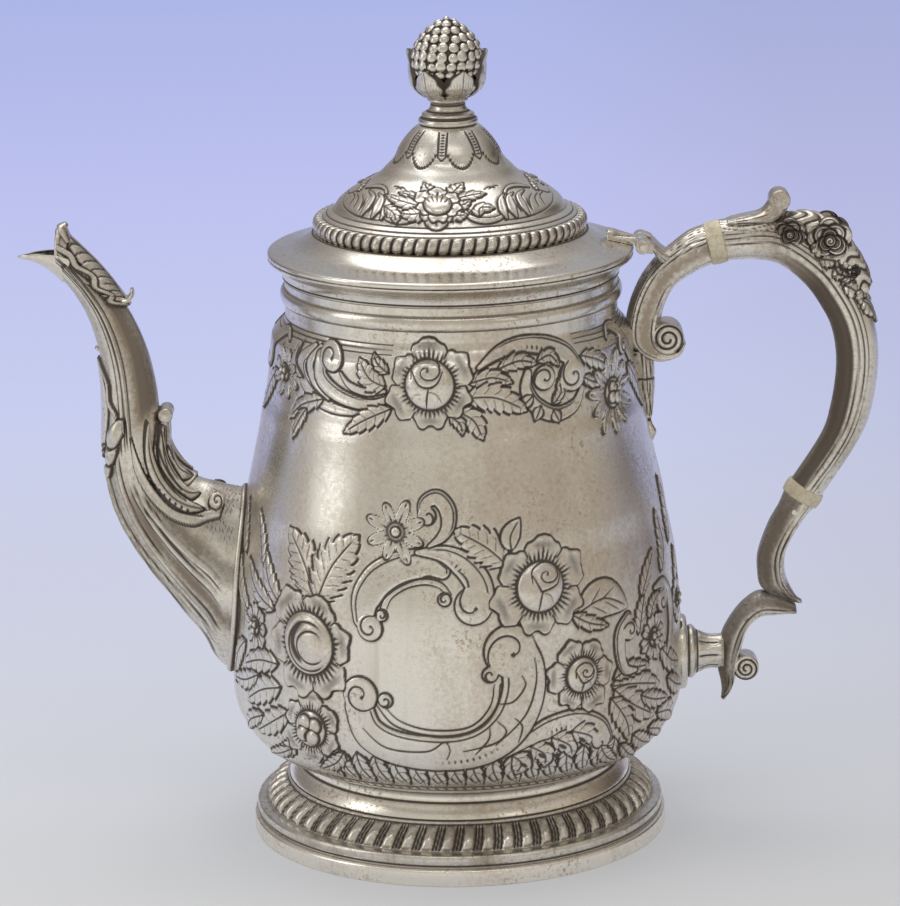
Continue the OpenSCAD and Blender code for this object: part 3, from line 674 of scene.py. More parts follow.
        # Painted shade: the petals darken towards the raised heart.
        painted_shade_near_heart = 0.3 * bell(rho - heart, 0.15 * radius)
        oxide = np.maximum.reduce([between * 0.9, rays_and_heart_shade, vein * 0.8, 0.42 * dent, painted_shade_near_heart])
        self.stamp(where, (rho - rim) * 0.85, form, oxide)

    def petal(self, at: Pair, radius: float, height: float, centre: Pair) -> None:
        """Raise one cupped petal of a layered rose, dark towards the rose's centre.

        Args:
            at: Centre of the petal.
            radius: Radius of the petal.
            height: Height of its rim.
            centre: Centre of the rose.
        """
        where, dx, dy, rho = self.about(at, radius)
        to_centre = np.hypot(dx + at[0] - centre[0], dy + at[1] - centre[1])
        inward = to_centre / max(math.dist(at, centre) + radius, 0.1)
        form = (
            height * (0.55 + 0.45 * np.clip(inward, 0, 1) ** 2)
            + 0.3 * bell(rho - 0.86 * radius, 0.16 * radius)
        )
        self.stamp(where, rho - radius, form, 0.3 * ease((0.55 - inward) * 3))

    def boss(
        self, at: Pair, radius: float, height: float, base: float = 0.6,
    ) -> tuple[Array, Array, Array, Array]:
        """Raise a round heart.

        Args:
            at: Centre.
            radius: Its radius.
            height: Height of its middle.
            base: Height of its rim.

        Returns:
            The vertices near it, their offsets from the centre and their distance to it.
        """
        where, dx, dy, rho = self.about(at, radius)
        dome = np.sqrt(np.clip(1 - (rho / radius) ** 2, 0, 1))
        self.stamp(where, rho - radius, base + (height - base) * dome, 0, 1.0)
        return where, dx, dy, rho

    def rose_heart(self, at: Pair, radius: float, eye: Pair, height: float = 2.3) -> None:
        """Raise a rose bud: a spiral eye over folded petals.

        Args:
            at: Centre of the bud.
            radius: Radius of the bud.
            eye: Where the spiral lies, from the centre.
            height: Height of the bud.
        """
        self.boss(at, radius, height)
        x, y = at[0] + eye[0], at[1] + eye[1]
        spiral = []
        for k in range(1, 12):
            far = radius * k**0.9
            spiral.append((x + 0.085 * far * math.cos(k * 0.9), y + 0.07 * far * math.sin(k * 0.9)))
        self.line(spiral, 0.32, 0.22)
        self.line([(x, y), (x + 0.1, y + 0.1)], 0.7, 0.3)
        side = 1 if eye[1] >= 0 else -1
        up = radius * side
        brow = [(x - 0.35 * radius, y - 0.5 * up), (at[0], y - 0.62 * up), (x + 0.4 * radius, y - 0.42 * up)]
        self.line([(x - 0.62 * radius, y + 0.1 * side), *brow, (x + 0.6 * radius, y + 0.14 * side)], 0.34)
        fold = [(-0.08, -0.45), (-0.12, -0.92)]
        self.line([(at[0], y - 0.6 * up), *[(at[0] + a * radius, at[1] + b * up) for a, b in fold]], 0.3)
        fold = [(-0.05, -0.2), (0.3, -0.34), (0.5, -0.7)]
        self.line([(at[0] + a * radius, at[1] + b * up) for a, b in fold], 0.26, strength=0.6)

    def curled_heart(self, at: Pair, radius: float, height: float = 2.6) -> None:
        """Raise a heart of folded inner petals, as of a peony.

        Args:
            at: Centre.
            radius: Radius of the heart.
            height: Its height.
        """
        where, dx, dy, rho = self.boss(at, radius, height)
        for share, shift in ((0.78, 0.1), (0.52, 0.26)):
            r = np.hypot(dx - shift * radius, dy + 0.08 * radius)
            cut = bell(r - share * radius, 0.36) * (rho < radius * 0.93)
            cut *= ease(np.clip(0.85 - (dx / radius), 0, 1) * 2)
            self.height[where] -= 0.5 * cut
            self.oxide[where] = np.maximum(self.oxide[where], 0.9 * cut)
        r = np.hypot(dx - 0.14 * radius, dy - 0.04 * radius)
        hollow = bell(r - 0.64 * radius, 0.14 * radius) * ease((0.1 - dx / radius) * 2.2)
        self.height[where] -= 0.8 * hollow
        self.oxide[where] = np.maximum(self.oxide[where], 0.62 * ease(hollow * 1.3))

    def ball_heart(self, at: Pair, radius: float, height: float = 2.0, balls: int = 3) -> None:
        """Raise a heart of a few rounded buds.

        Args:
            at: Centre.
            radius: Radius of the heart.
            height: Its height.
            balls: How many buds it has.
        """
        self.boss(at, radius, height * 0.75)
        for k in range(balls):
            angle = FULL_TURN * k / balls + 0.6
            self.boss(
                (at[0] + 0.46 * radius * math.cos(angle), at[1] + 0.46 * radius * math.sin(angle)),
                0.42 * radius, height, height * 0.6,
            )


# ---------------------------------------------------------------- finishes


class Graph:
    """Short ways to add and link shader nodes."""

    def __init__(self, tree: bpy.types.NodeTree) -> None:
        """Work on a node tree."""
        self.tree = tree

    def node(self, kind: str, inputs: dict | None = None, **settings: object) -> bpy.types.Node:
        """Add a node.

        Args:
            kind: Type of the node, without its ShaderNode prefix.
            inputs: Values or outputs for its inputs, by name or number.
            settings: Properties of the node.

        Returns:
            The node.
        """
        made = self.tree.nodes.new(kind if kind.startswith("Node") else f"ShaderNode{kind}")
        for key, value in settings.items():
            setattr(made, key, value)
        for key, value in (inputs or {}).items():
            if isinstance(value, Socket):
                self.tree.links.new(value, made.inputs[key])
            else:
                made.inputs[key].default_value = value
        return made

    def math(self, operation: str, a: object, b: object = 0.0, clamp: bool = False) -> Socket:
        """Join two values."""
        return self.node("Math", {0: a, 1: b}, operation=operation, use_clamp=clamp).outputs[0]

    def mix(self, share: object, a: object, b: object) -> Socket:
        """Mix two colours."""
        return self.node("Mix", {0: share, 6: a, 7: b}, data_type="RGBA").outputs[2]

    def ramp(
        self, value: object, low: float, high: float, to_low: float = 0.0, to_high: float = 1.0,
    ) -> Socket:
        """Map a range of values to another one, with no value beyond it."""
        return self.node(
            "MapRange", {0: value, 1: low, 2: high, 3: to_low, 4: to_high}, clamp=True,
        ).outputs[0]

    def stops(self, value: object, stops: tuple[tuple[float, Colour], ...]) -> Socket:
        """Colour from a row of stops.

        Args:
            value: Goes from 0 at the first stop to 1 at the last.
            stops: Place and colour of each stop.

        Returns:
            The colour.
        """
        ramp = self.node("ValToRGB", {0: value})
        low, high = stops[0][0], stops[-1][0]
        ends = ramp.color_ramp.elements
        ends[0].color, ends[1].color = (*stops[0][1], 1), (*stops[-1][1], 1)
        for at, colour in stops[1:-1]:
            ends.new((at - low) / (high - low)).color = (*colour, 1)
        return ramp.outputs[0]

    def noise(self, place: object, scale: float, detail: float = 4, roughness: float = 0.6) -> Socket:
        """Cloudy value between 0 and 1."""
        return self.node(
            "TexNoise", {"Vector": place, "Scale": scale, "Detail": detail, "Roughness": roughness},
        ).outputs[0]


def cloud_group() -> bpy.types.NodeTree:
    """Node group for tarnish: a mask of blotches, and a mask of fine flecks that gather in patches.

    Returns:
        The node group.
    """
    tree = bpy.data.node_groups.new("tarnish_blotches", "ShaderNodeTree")
    for name, kind in (
        ("Place", "NodeSocketVector"), ("Size", "NodeSocketFloat"), ("Cover", "NodeSocketFloat"),
        ("Hollow", "NodeSocketFloat"),
    ):
        tree.interface.new_socket(name, in_out="INPUT", socket_type=kind)
    for name in ("Mask", "Speckle"):
        tree.interface.new_socket(name, in_out="OUTPUT", socket_type="NodeSocketFloat")
    g = Graph(tree)
    into, out = g.node("NodeGroupInput"), g.node("NodeGroupOutput")
    place = into.outputs["Place"]
    hanging = g.node("VectorMath", {0: place, 1: (1.0, 1.0, 0.3)}, operation="MULTIPLY").outputs[0]
    broad = g.node(
        "TexNoise", {"Vector": hanging, "Scale": into.outputs["Size"], "Detail": 5.0, "Roughness": 0.62},
    ).outputs[0]
    fine = g.noise(place, 700, 5, 0.72)
    value = g.math("ADD", g.math("MULTIPLY", broad, 0.62), g.math("MULTIPLY", fine, 0.38))
    value = g.math("ADD", value, g.math("MULTIPLY", into.outputs["Hollow"], 0.3))
    edge = g.math("SUBTRACT", 1.0, into.outputs["Cover"])
    mask = g.math("MULTIPLY", g.math("SUBTRACT", value, edge), 5.0, True)
    g.tree.links.new(mask, out.inputs["Mask"])
    patches = g.ramp(g.noise(place, 38, 3), 0.46, 0.6, 0.12, 1.0)
    flecks = g.ramp(g.noise(place, 820, 4, 0.68), 0.53, 0.62)
    g.tree.links.new(g.math("MULTIPLY", flecks, patches), out.inputs["Speckle"])
    return tree


def scratch_group() -> bpy.types.NodeTree:
    """Node group for fine polishing scratches: a height and a mask.

    Returns:
        The node group.
    """
    tree = bpy.data.node_groups.new("polishing_scratches", "ShaderNodeTree")
    tree.interface.new_socket("Place", in_out="INPUT", socket_type="NodeSocketVector")
    tree.interface.new_socket("Stretch", in_out="INPUT", socket_type="NodeSocketVector")
    for name in ("Height", "Mask"):
        tree.interface.new_socket(name, in_out="OUTPUT", socket_type="NodeSocketFloat")
    g = Graph(tree)
    into, out = g.node("NodeGroupInput"), g.node("NodeGroupOutput")
    drawn = g.node(
        "VectorMath", {0: into.outputs["Place"], 1: into.outputs["Stretch"]}, operation="MULTIPLY",
    ).outputs[0]
    lines = g.noise(drawn, 1.0, 3, 0.6)
    dents = g.noise(into.outputs["Place"], 55, 2, 0.4)
    height = g.math("ADD", g.math("MULTIPLY", lines, 0.12), dents)
    g.tree.links.new(height, out.inputs["Height"])
    g.tree.links.new(g.ramp(lines, 0.5, 0.75), out.inputs["Mask"])
    return tree


CLOUDS, SCRATCHES = cloud_group(), scratch_group()
# Dark colour of oxide, also used for the painted shade that the same attribute carries.
OXIDE_AND_SHADE: Colour = (0.04, 0.026, 0.016)


@dataclass(frozen=True)
class Finish:
    """Finish of a piece, with the name of its material and of its slot."""

    name: str
    slot: str

    def shader(self, g: Graph) -> Socket:
        """Add the nodes of the finish and put out its shader."""
        raise NotImplementedError

    def material(self) -> bpy.types.Material:
        """Build the material, or find it when it is there already.

        Returns:
            The material.
        """
        made = bpy.data.materials.get(self.name)
        if made:
            return made
        made = bpy.data.materials.new(self.name)
        made.use_nodes = True
        made.node_tree.nodes.clear()
        g = Graph(made.node_tree)
        g.tree.links.new(self.shader(g), g.node("OutputMaterial").inputs[0])
        return made

    def dress(self, obj: Piece, body: Body, angle: float = 40) -> None:
        """Settle a piece, give it this finish and let it ride on a body.

        Args:
            obj: The piece.
            body: The body that carries it.
            angle: Edges sharper than this many degrees stay sharp.
        """
        Bench.settle(obj, obj.name, angle)
        obj.data.materials.clear()
        obj.data.materials.append(self.material())
        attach(obj, body)


@dataclass(frozen=True)
class SilverFinish(Finish):
    """Polished sterling silver with oxide in its lines and brown tarnish in its hollows.

    The streaks run down the piece, and relief tells whether hollows gather tarnish.
    """

    bright: Colour = (0.8, 0.775, 0.715)
    tarnish: Colour = (0.42, 0.295, 0.195)
    cover: float = 0.53
    strength: float = 0.62
    cloud_size: float = 26.0
    roughness: float = 0.24
    relief: bool = False
    streaks: float = 0.0

    def shader(self, g: Graph) -> Socket:
        """Add the nodes of the silver.

        Args:
            g: Graph of the material.

        Returns:
            The shader.
        """
        place = g.node("TexCoord").outputs["Object"]
        # This attribute holds real oxide and painted shade alike; both darken the colour and dull the metal.
        oxide = g.ramp(g.node("Attribute", attribute_name="oxide").outputs["Fac"], 0.12, 0.62)
        hollow: object = 0.0
        if self.relief:
            hollow = g.ramp(g.node("Attribute", attribute_name="relief").outputs["Fac"], 0.2, 0.5, 1.0, 0.0)
        blotch = {"Place": place, "Size": self.cloud_size, "Cover": self.cover, "Hollow": hollow}
        cloud = g.node("Group", blotch, node_tree=CLOUDS)
        mask = g.math("MULTIPLY", cloud.outputs["Mask"], self.strength)
        speckle = g.math("MULTIPLY", cloud.outputs["Speckle"], 0.75)
        drawn = g.node("VectorMath", {0: place, 1: (120.0, 120.0, 7.0)}, operation="MULTIPLY").outputs[0]
        streak = g.ramp(g.noise(drawn, 1.0, 4, 0.65), 0.5, 0.72, 0.0, self.streaks)
        brown = g.math("MAXIMUM", g.math("MAXIMUM", mask, speckle), streak)
        colour = g.mix(brown, (*self.bright, 1), (*self.tarnish, 1))
        colour = g.mix(g.math("MULTIPLY", oxide, 0.94), colour, (*OXIDE_AND_SHADE, 1))
        wear = g.node("Group", {"Place": place, "Stretch": (260, 260, 3200)}, node_tree=SCRATCHES)
        rough = g.math("ADD", self.roughness, g.math("MULTIPLY", brown, 0.24))
        rough = g.math("ADD", rough, g.math("MULTIPLY", oxide, 0.3))
        rough = g.math("ADD", rough, g.math("MULTIPLY", wear.outputs["Mask"], 0.07))
        metal = g.math("SUBTRACT", 1.0, g.math("MULTIPLY", oxide, 0.7))
        bump = g.node("Bump", {"Strength": 0.2, "Distance": 0.0006, "Height": wear.outputs["Height"]})
        look = {"Base Color": colour, "Roughness": rough, "Metallic": metal, "Normal": bump.outputs[0]}
        return g.node("BsdfPrincipled", look).outputs[0]


@dataclass(frozen=True)
class IvoryFinish(Finish):
    """Ivory-coloured insulator, yellowed in its fine cracks."""

    pale: Colour = (0.6, 0.54, 0.4)
    aged: Colour = (0.36, 0.28, 0.16)

    def shader(self, g: Graph) -> Socket:
        """Add the nodes of the ivory.

        Args:
            g: Graph of the material.

        Returns:
            The shader.
        """
        place = g.node("TexCoord").outputs["Object"]
        cell = {"Vector": place, "Scale": 420.0}
        cracks = g.node("TexVoronoi", cell, feature="DISTANCE_TO_EDGE").outputs["Distance"]
        line = g.ramp(cracks, 0.0, 0.045, 1.0, 0.0)
        cloud = g.noise(place, 160, 4)
        aged = g.math("ADD", g.math("MULTIPLY", line, 0.55), g.ramp(cloud, 0.45, 0.75, 0.0, 0.5), True)
        colour = g.mix(aged, (*self.pale, 1), (*self.aged, 1))
        rough = g.math("ADD", 0.34, g.math("MULTIPLY", cloud, 0.18))
        height = g.math("SUBTRACT", cloud, line)
        bump = g.node("Bump", {"Strength": 0.4, "Distance": 0.0002, "Height": height})
        look = {"Base Color": colour, "Roughness": rough, "Normal": bump.outputs[0]}
        return g.node("BsdfPrincipled", look).outputs[0]


CHASED = SilverFinish("chased_silver", "silver_chased", cover=0.55, strength=0.68, relief=True, streaks=0.34)
CAST = SilverFinish(
    "cast_silver", "silver_cast", bright=(0.76, 0.725, 0.66), tarnish=(0.27, 0.2, 0.14), cover=0.53,
    strength=0.75, cloud_size=60, roughness=0.25, relief=True,
)
PLAIN = SilverFinish(
    "plain_silver", "silver_plain", bright=(0.77, 0.74, 0.68), cover=0.52, strength=0.6, cloud_size=34,
    roughness=0.19,
)
IVORY = IvoryFinish("ivory_ring", "ivory")
BRIGHT = SilverFinish(
    "bright_silver", "silver_plain", bright=(0.93, 0.88, 0.79), cover=0.5, strength=0.6, cloud_size=34,
    roughness=0.22,
)
BRASS = SilverFinish(
    "nut_brass", "brass", bright=(0.62, 0.45, 0.19), tarnish=(0.3, 0.2, 0.08), roughness=0.32,
)


# ---------------------------------------------------------------- studio


@dataclass
class Studio:
    """Floor, soft lights, surroundings and camera."""

    camera_at: tuple[float, float, float] = (0, -1.2854, 0.4425)
    pitch: float = 14.224
    roll: float = -1.012
    yaw: float = -0.053
    lens: float = 174.76
    sensor: float = 36
    aim_height: float = 0.12
    floor_stops: tuple[tuple[float, Colour], ...] = (
        (-0.35, (0.82, 0.8, 0.75)), (-0.1, (0.65, 0.65, 0.65)), (0.017, (0.63, 0.643, 0.68)),
        (0.243, (0.59, 0.61, 0.73)), (0.554, (0.56, 0.598, 0.83)), (1.01, (0.545, 0.572, 0.91)),
        (1.75, (0.48, 0.54, 0.91)),
    )
    room_stops: tuple[tuple[float, Colour], ...] = (
        (-180, (0.36, 0.38, 0.47)), (-144, (0.21, 0.19, 0.18)), (-119, (0.21, 0.19, 0.175)),
        (-98, (0.47, 0.45, 0.415)), (-55, (0.5, 0.475, 0.425)), (-10, (0.6, 0.565, 0.5)),
        (14, (0.58, 0.54, 0.47)), (42, (0.42, 0.365, 0.3)), (76, (0.5, 0.445, 0.365)),
        (98, (0.33, 0.27, 0.205)), (114, (0.08, 0.06, 0.04)), (138, (0.07, 0.055, 0.045)),
        (152, (0.33, 0.33, 0.36)), (180, (0.36, 0.38, 0.47)),
    )

    def floor(self) -> None:
        """Lay the floor: pale in front, cooler further away, and darkened towards the right by painted
        shade.
        """
        Bench.clear()
        bpy.ops.mesh.primitive_circle_add(vertices=96, radius=6, fill_type="NGON", location=(0, 0, 0))
        obj = bpy.context.object
        obj.name = "floor"
        made = bpy.data.materials.new("floor")
        made.use_nodes = True
        made.node_tree.nodes.clear()
        g = Graph(made.node_tree)
        away = g.node("SeparateXYZ", {0: g.node("TexCoord").outputs["Object"]}).outputs["Y"]
        colour = g.stops(g.ramp(away, self.floor_stops[0][0], self.floor_stops[-1][0]), self.floor_stops)
        # Painted shade: the floor darkens towards the right of the pot, where its shadow falls.
        sideways = g.node("SeparateXYZ", {0: g.node("TexCoord").outputs["Object"]}).outputs["X"]
        colour = g.mix(g.math("MULTIPLY", g.ramp(sideways, 0.04, 0.2), 0.16), colour, (0.28, 0.27, 0.27, 1))
        path = g.node("LightPath")
        seen = g.math("MAXIMUM", path.outputs["Is Camera Ray"], path.outputs["Is Glossy Ray"])
        seen = g.math("MAXIMUM", seen, path.outputs["Is Transmission Ray"])
        matt = g.node("BsdfDiffuse", {"Color": colour})
        glow = g.node("Emission", {"Color": colour, "Strength": 1.0})
        mixed = g.node(
            "MixShader", {0: g.math("MULTIPLY", seen, 0.38), 1: matt.outputs[0], 2: glow.outputs[0]},
        )
        g.tree.links.new(mixed.outputs[0], g.node("OutputMaterial").inputs[0])
        obj.data.materials.append(made)

    def surroundings(self) -> None:
        """Light the pot from all round, paler above."""
        world = bpy.data.worlds.new("studio")
        bpy.context.scene.world = world
        world.use_nodes = True
        world.node_tree.nodes.clear()
        g = Graph(world.node_tree)
        place = g.node("SeparateXYZ", {0: g.node("TexCoord").outputs["Generated"]})
        path = g.node("LightPath")
        back = g.math("MULTIPLY", place.outputs["Y"], -1.0)
        turn = g.math("DIVIDE", g.math("ARCTAN2", place.outputs["X"], back), FULL_TURN)
        room = g.stops(g.math("ADD", turn, 0.5), self.room_stops)
        rise = g.ramp(place.outputs["Z"], 0.25, 0.8)
        room = g.mix(rise, room, (0.5, 0.48, 0.46, 1))
        pale = g.node("Background", {"Color": room, "Strength": 1.0})
        soft = g.node("Background", {"Color": (0.76, 0.76, 0.77, 1), "Strength": 1.0})
        shown = g.node("Background", {"Color": (*self.floor_stops[-1][1], 1), "Strength": 1.0})
        mirror = g.math("MAXIMUM", path.outputs["Is Glossy Ray"], path.outputs["Is Transmission Ray"])
        first = g.node("MixShader", {0: mirror, 1: soft.outputs[0], 2: pale.outputs[0]})
        last = g.node(
            "MixShader", {0: path.outputs["Is Camera Ray"], 1: first.outputs[0], 2: shown.outputs[0]},
        )
        g.tree.links.new(last.outputs[0], g.node("OutputWorld").inputs[0])

    def lamp(
        self, name: str, at: tuple[float, float, float], size: Pair, level: float,
        colour: Colour = (1, 1, 1),
    ) -> None:
        """Hang a soft lamp that faces the pot.

        Args:
            name: Name of the lamp.
            at: Place in metres.
            size: Width and height in metres.
            level: Brightness of its face.
            colour: Its colour.
        """
        data = bpy.data.lights.new(name, "AREA")
        data.shape, data.size, data.size_y = "RECTANGLE", *size
        data.energy, data.color = level * math.pi * size[0] * size[1], colour
        obj = bpy.data.objects.new(name, data)
        bpy.context.scene.collection.objects.link(obj)
        back = Vector(at) - Vector((0, 0, self.aim_height))
        obj.matrix_world = Matrix.Translation(at) @ back.to_track_quat("Z", "Y").to_matrix().to_4x4()

    def camera(self) -> None:
        """Set up the camera."""
        pitch, roll, yaw = (math.radians(a) for a in (self.pitch, self.roll, self.yaw))
        level = math.cos(pitch)
        forward = np.array([math.sin(yaw) * level, math.cos(yaw) * level, -math.sin(pitch)])
        right = np.array([math.cos(yaw), -math.sin(yaw), 0.0])
        up = np.cross(right, forward)
        x = math.cos(roll) * right + math.sin(roll) * up
        y = -math.sin(roll) * right + math.cos(roll) * up
        data = bpy.data.cameras.new("camera")
        data.lens, data.sensor_width, data.sensor_fit = self.lens, self.sensor, "HORIZONTAL"
        data.clip_start, data.clip_end = 0.05, 50
        obj = bpy.data.objects.new("camera", data)
        bpy.context.scene.collection.objects.link(obj)
        rows = [(x[i], y[i], -forward[i], self.camera_at[i]) for i in range(3)]
        obj.matrix_world = Matrix([*rows, (0, 0, 0, 1)])
        bpy.context.scene.camera = obj

    def build(self) -> None:
        """Set up floor, surroundings, lamps and camera."""
        bpy.context.scene.view_settings.view_transform = "Standard"
        self.floor()
        self.surroundings()
        self.lamp("overhead", (-0.1, 0.3, 1.15), (1.0, 0.8), 1.6)
        self.lamp("strip", (0, -0.6, 1.1), (0.9, 0.14), 2.2, (1, 0.98, 0.95))
        self.lamp("window", (-1.15, -0.35, 0.65), (0.5, 1.0), 1.3, (0.97, 0.98, 1))
        self.lamp("fill", (0.9, -1.2, 0.75), (0.4, 0.5), 0.55, (1, 0.97, 0.92))
        self.camera()


# ---------------------------------------------------------------- body


class TurnedSkin:
    """Turned surface that is laid out flat to be chased.

    Its levels are heights, or distances up the surface.
    """

    def radius_at(self, level: Array | float) -> Array:
        """Radius of the surface at a level."""
        raise NotImplementedError

    def spot(self, angle: float, level: float) -> Pair:
        """Place on the flat layout of an angle from the front, in degrees, and a level."""
        return math.radians(angle) * float(self.radius_at(level)), level

    def track(self, *points: Pair) -> Points:
        """Places on the flat layout of several angles and levels."""
        return [self.spot(a, level) for a, level in points]


@dataclass
class PotBody(TurnedSkin):
    """Pear-shaped body with its chasing. Sizes in millimetres."""

    profile: Points = field(
        default_factory=lambda: [
            (51, 25.2), (57.9, 28.1), (62.5, 31.2), (65.6, 35.2), (68.3, 40.8), (69.2, 47.5), (68.9, 64.6),
            (67.5, 85), (63.5, 105.3), (59.2, 124.5), (57.3, 135.2), (55.8, 144.9), (54.9, 154.5),
            (53.9, 156.7), (51.2, 159.7), (50.2, 161.6), (50, 163.2), (50, 172.4),
        ]
    )
    wall: float = 0.9
    belly_r: float = 69
    front_cell: float = 0.36
    back_cell: float = 0.54
    front_splits: tuple[float, ...] = (25.2, 58.5, 101, 133, 172.4)
    back_splits: tuple[float, ...] = (25.2, 88, 172.4)

    def __post_init__(self) -> None:
        """Draw the outline once."""
        self.outline = smooth_curve(self.profile, 10)

    def radius_at(self, level: Array | float) -> Array:
        """Radius of the body at a height."""
        return np.interp(level, self.outline[:, 1], self.outline[:, 0])

    def chase_frieze(self, work: Chasing) -> None:
        """Chase the band of roses and scrolls below the neck.

        Args:
            work: The surface, laid out flat.
        """
        t, at = self.track, self.spot
        for z in (158.9, 160.1, 161.3):
            work.line(t((-90, z), (-60, z), (-20, z)), 0.3, 0.18, 0.8)
            work.line(t((44, z), (62, z - 0.4), (90, z)), 0.3, 0.18, 0.8)
        work.band(
            t((-50, 158.2), (-54, 154), (-52.5, 148.5), (-46, 144), (-38, 141.8), (-28, 141.4)),
            [1.2, 2.2, 2.4, 2, 1.4, 0.6], 0.8,
        )
        work.leaf(t((-53, 149), (-57, 153), (-58, 158.5)), 2.6, 4, 0.8, one_side=1)
        work.band(t((-47.5, 158.6), (-49.6, 154), (-47.6, 149), (-41, 144.6)), [0.8, 1.5, 1.6, 0.8], 0.9)
        work.leaf(t((-43, 144), (-52, 141), (-58, 136)), 2.4, 4, 0.8)
        work.band(
            t((-45, 156), (-44.4, 150.5), (-39, 146.8), (-32, 144.8), (-25, 144.4), (-19, 147)),
            [2.2, 2.7, 2.4, 2, 1.5, 0.8], 1.1,
        )
        work.band(t((-36.5, 152.5), (-33, 149.2), (-27, 147.8), (-21, 148.5)), [0.5, 1.2, 1.2, 0.6], 1)
        work.leaf(t((-21, 150), (-26, 152), (-30.5, 157.4)), 3.6, 5, 0.9)
        work.leaf(t((-20, 154), (-24, 156.6), (-26, 159)), 1.8, 3, 0.8)
        work.volute(at(-41, 156.6), 4.3, -75, -1, 1.5, 0.9)
        work.leaf(t((-19, 143.5), (-27, 139.8), (-34, 135.4)), 2.9, 5, 0.9)
        work.leaf(t((-50, 140), (-53, 136), (-55, 130.5)), 1.8, 3, 0.7)
        work.band(
            t((8, 155.6), (14, 158.8), (22, 160.8), (31, 160), (38.5, 156.6), (42.4, 151.5)),
            [0.7, 1.8, 2.3, 2.5, 2.6, 2.2], 1.2, ticks=True,
        )
        work.leaf(t((14, 155), (21, 156.6), (27, 155.4)), 2.2, 4, 0.8)
        work.leaf(t((27, 156), (32, 157), (34.5, 153.8)), 1.7, 3, 0.9)
        work.band(
            t((23.5, 153), (22.8, 148.5), (25.5, 143.4), (32, 140), (39.5, 141.6), (43, 146)),
            [1.2, 2.2, 2.4, 2.2, 1.9, 1], 1,
        )
        for root, tip in (
            ((24.5, 146), (20.4, 143)), ((27, 142.6), (25, 139)), ((31.5, 140.8), (33, 137.6)),
        ):
            work.leaf(t(root, tip), 1.5, 0, 0.8)
        work.volute(at(29, 151), 3.6, 200, -1, 1.3, 0.9)
        work.leaf(t((31.5, 143), (34.4, 146), (34, 149.8)), 1.6, 3, 0.9)
        work.volute(at(39.4, 150.4), 4.7, 110, 1, 1.6, 1.0)
        work.leaf(t((43.5, 155.5), (51, 153), (58, 149)), 2.6, 5, 0.9)
        work.leaf(t((44, 149), (48, 147), (53, 145.6)), 1.8, 3, 0.8)
        work.band(
            t((60, 158), (65, 160.4), (70, 158), (72, 152), (78, 147), (88, 146)), [0.6, 1.5, 2, 2, 1.6, 1],
            1,
        )
        work.volute(at(67, 154.6), 3, 30, -1, 1.3)
        work.leaf(t((70, 148), (77, 141), (80, 133)), 3, 6, 0.9)
        work.leaf(t((-70, 148), (-77, 142), (-82, 134)), 3, 6, 0.9)
        work.band(t((-66, 158), (-72, 159.6), (-77, 156), (-79, 150), (-88, 147)), [0.6, 1.6, 2, 2, 1], 1)
        work.flower(at(57.5, 142), 12, 11, 4.2, 10, True, 2.1)
        work.ball_heart(at(57.5, 142), 4.3, 2.2, 4)
        work.flower(at(-64, 148.5), 8, 8, 2.6, 20, True, 1.4)
        work.ball_heart(at(-64, 148.5), 2.6, 1.9, 3)
        work.leaf(t((5, 151.2), (12, 152.6), (18.4, 150.6)), 2.5, 4, 0.9)
        work.leaf(t((4, 147), (13, 146.6), (22.5, 142)), 4.1, 6, 1)
        work.leaf(t((1.5, 143), (6, 140.4), (8.6, 134.8)), 3, 4, 0.9)
        work.leaf(t((-1, 142), (2, 139.4), (2.6, 136.4)), 1.7, 3, 0.8)
        work.flower(at(-7, 150.6), 13.1, 6, 7.1, 90, height=2)
        work.rose_heart(at(-7, 150.8), 7.2, (-0.4, 4), 3)

    def chase_cartouche(self, work: Chasing) -> None:
        """Chase the scrolls that frame the blank shield on the belly.

        Args:
            work: The surface, laid out flat.
        """
        t, at = self.track, self.spot
        for k in range(17):
            a = -36 + 4.9 * k
            work.leaf(t((a, 41.5), (a + 0.6, 36.5), (a + 3, 31.4)), 2.5, 3, 0.9)
            work.line(t((a + 2.3, 40.6), (a + 3.2, 36.4)), 0.5, 0.3)
            work.line(t((a + 4, 36), (a + 5, 33)), 0.34, 0.2, 0.7)
        work.band(
            t((10, 41), (17, 46.4), (24, 49.6), (31, 50), (37, 47), (39.6, 42.6)),
            [0.6, 2, 3.2, 3.4, 3, 2.4], 1.1, ticks=True,
        )
        for a, z, a2, z2 in (
            (13.5, 41.5, 14.5, 35), (18, 44, 22, 36.6), (23.5, 46, 29.5, 38.4), (29, 47, 36, 40.6),
        ):
            work.leaf(t((a, z), ((a + a2) / 2 + 1.6, (z + z2) / 2 + 0.6), (a2, z2)), 3.3, 3, 1)
            work.line(t((a + 2, z - 2.6), (a + 3.6, z - 4)), 0.7, 0.3)
        work.volute(at(37.4, 41.6), 3.4, 160, 1, 1.2, 0.6)
        low_scroll = t(
            (-25, 56), (-22.6, 49), (-16.5, 44.8), (-6.5, 43), (2.5, 43.8), (9, 47.3), (13.8, 53.4),
            (16.2, 61), (16.2, 68), (14, 74),
        )
        work.band(low_scroll, [4.6, 5.2, 5.4, 5.6, 5.6, 5.8, 6.2, 6.6, 6.6, 6.4], 1.3, 0.74, True)
        for path in (
            ((19, 72), (19.4, 64), (16.4, 54), (9, 45.6)), ((9.6, 58), (13.6, 58.6), (16.6, 63), (15.8, 66)),
            ((9.4, 53), (11.6, 49.6), (8.8, 46.2), (1, 44)),
            ((-3, 41.5), (-2.2, 44.6), (-3.6, 47), (-8, 44), (-18, 44.6), (-24, 50)),
            ((14.6, 46), (15.6, 50.6), (13.8, 53.4)), ((4, 43), (7.2, 47.4), (7.6, 51)),
        ):
            work.line(t(*path), 0.36, 0.25, 0.85)
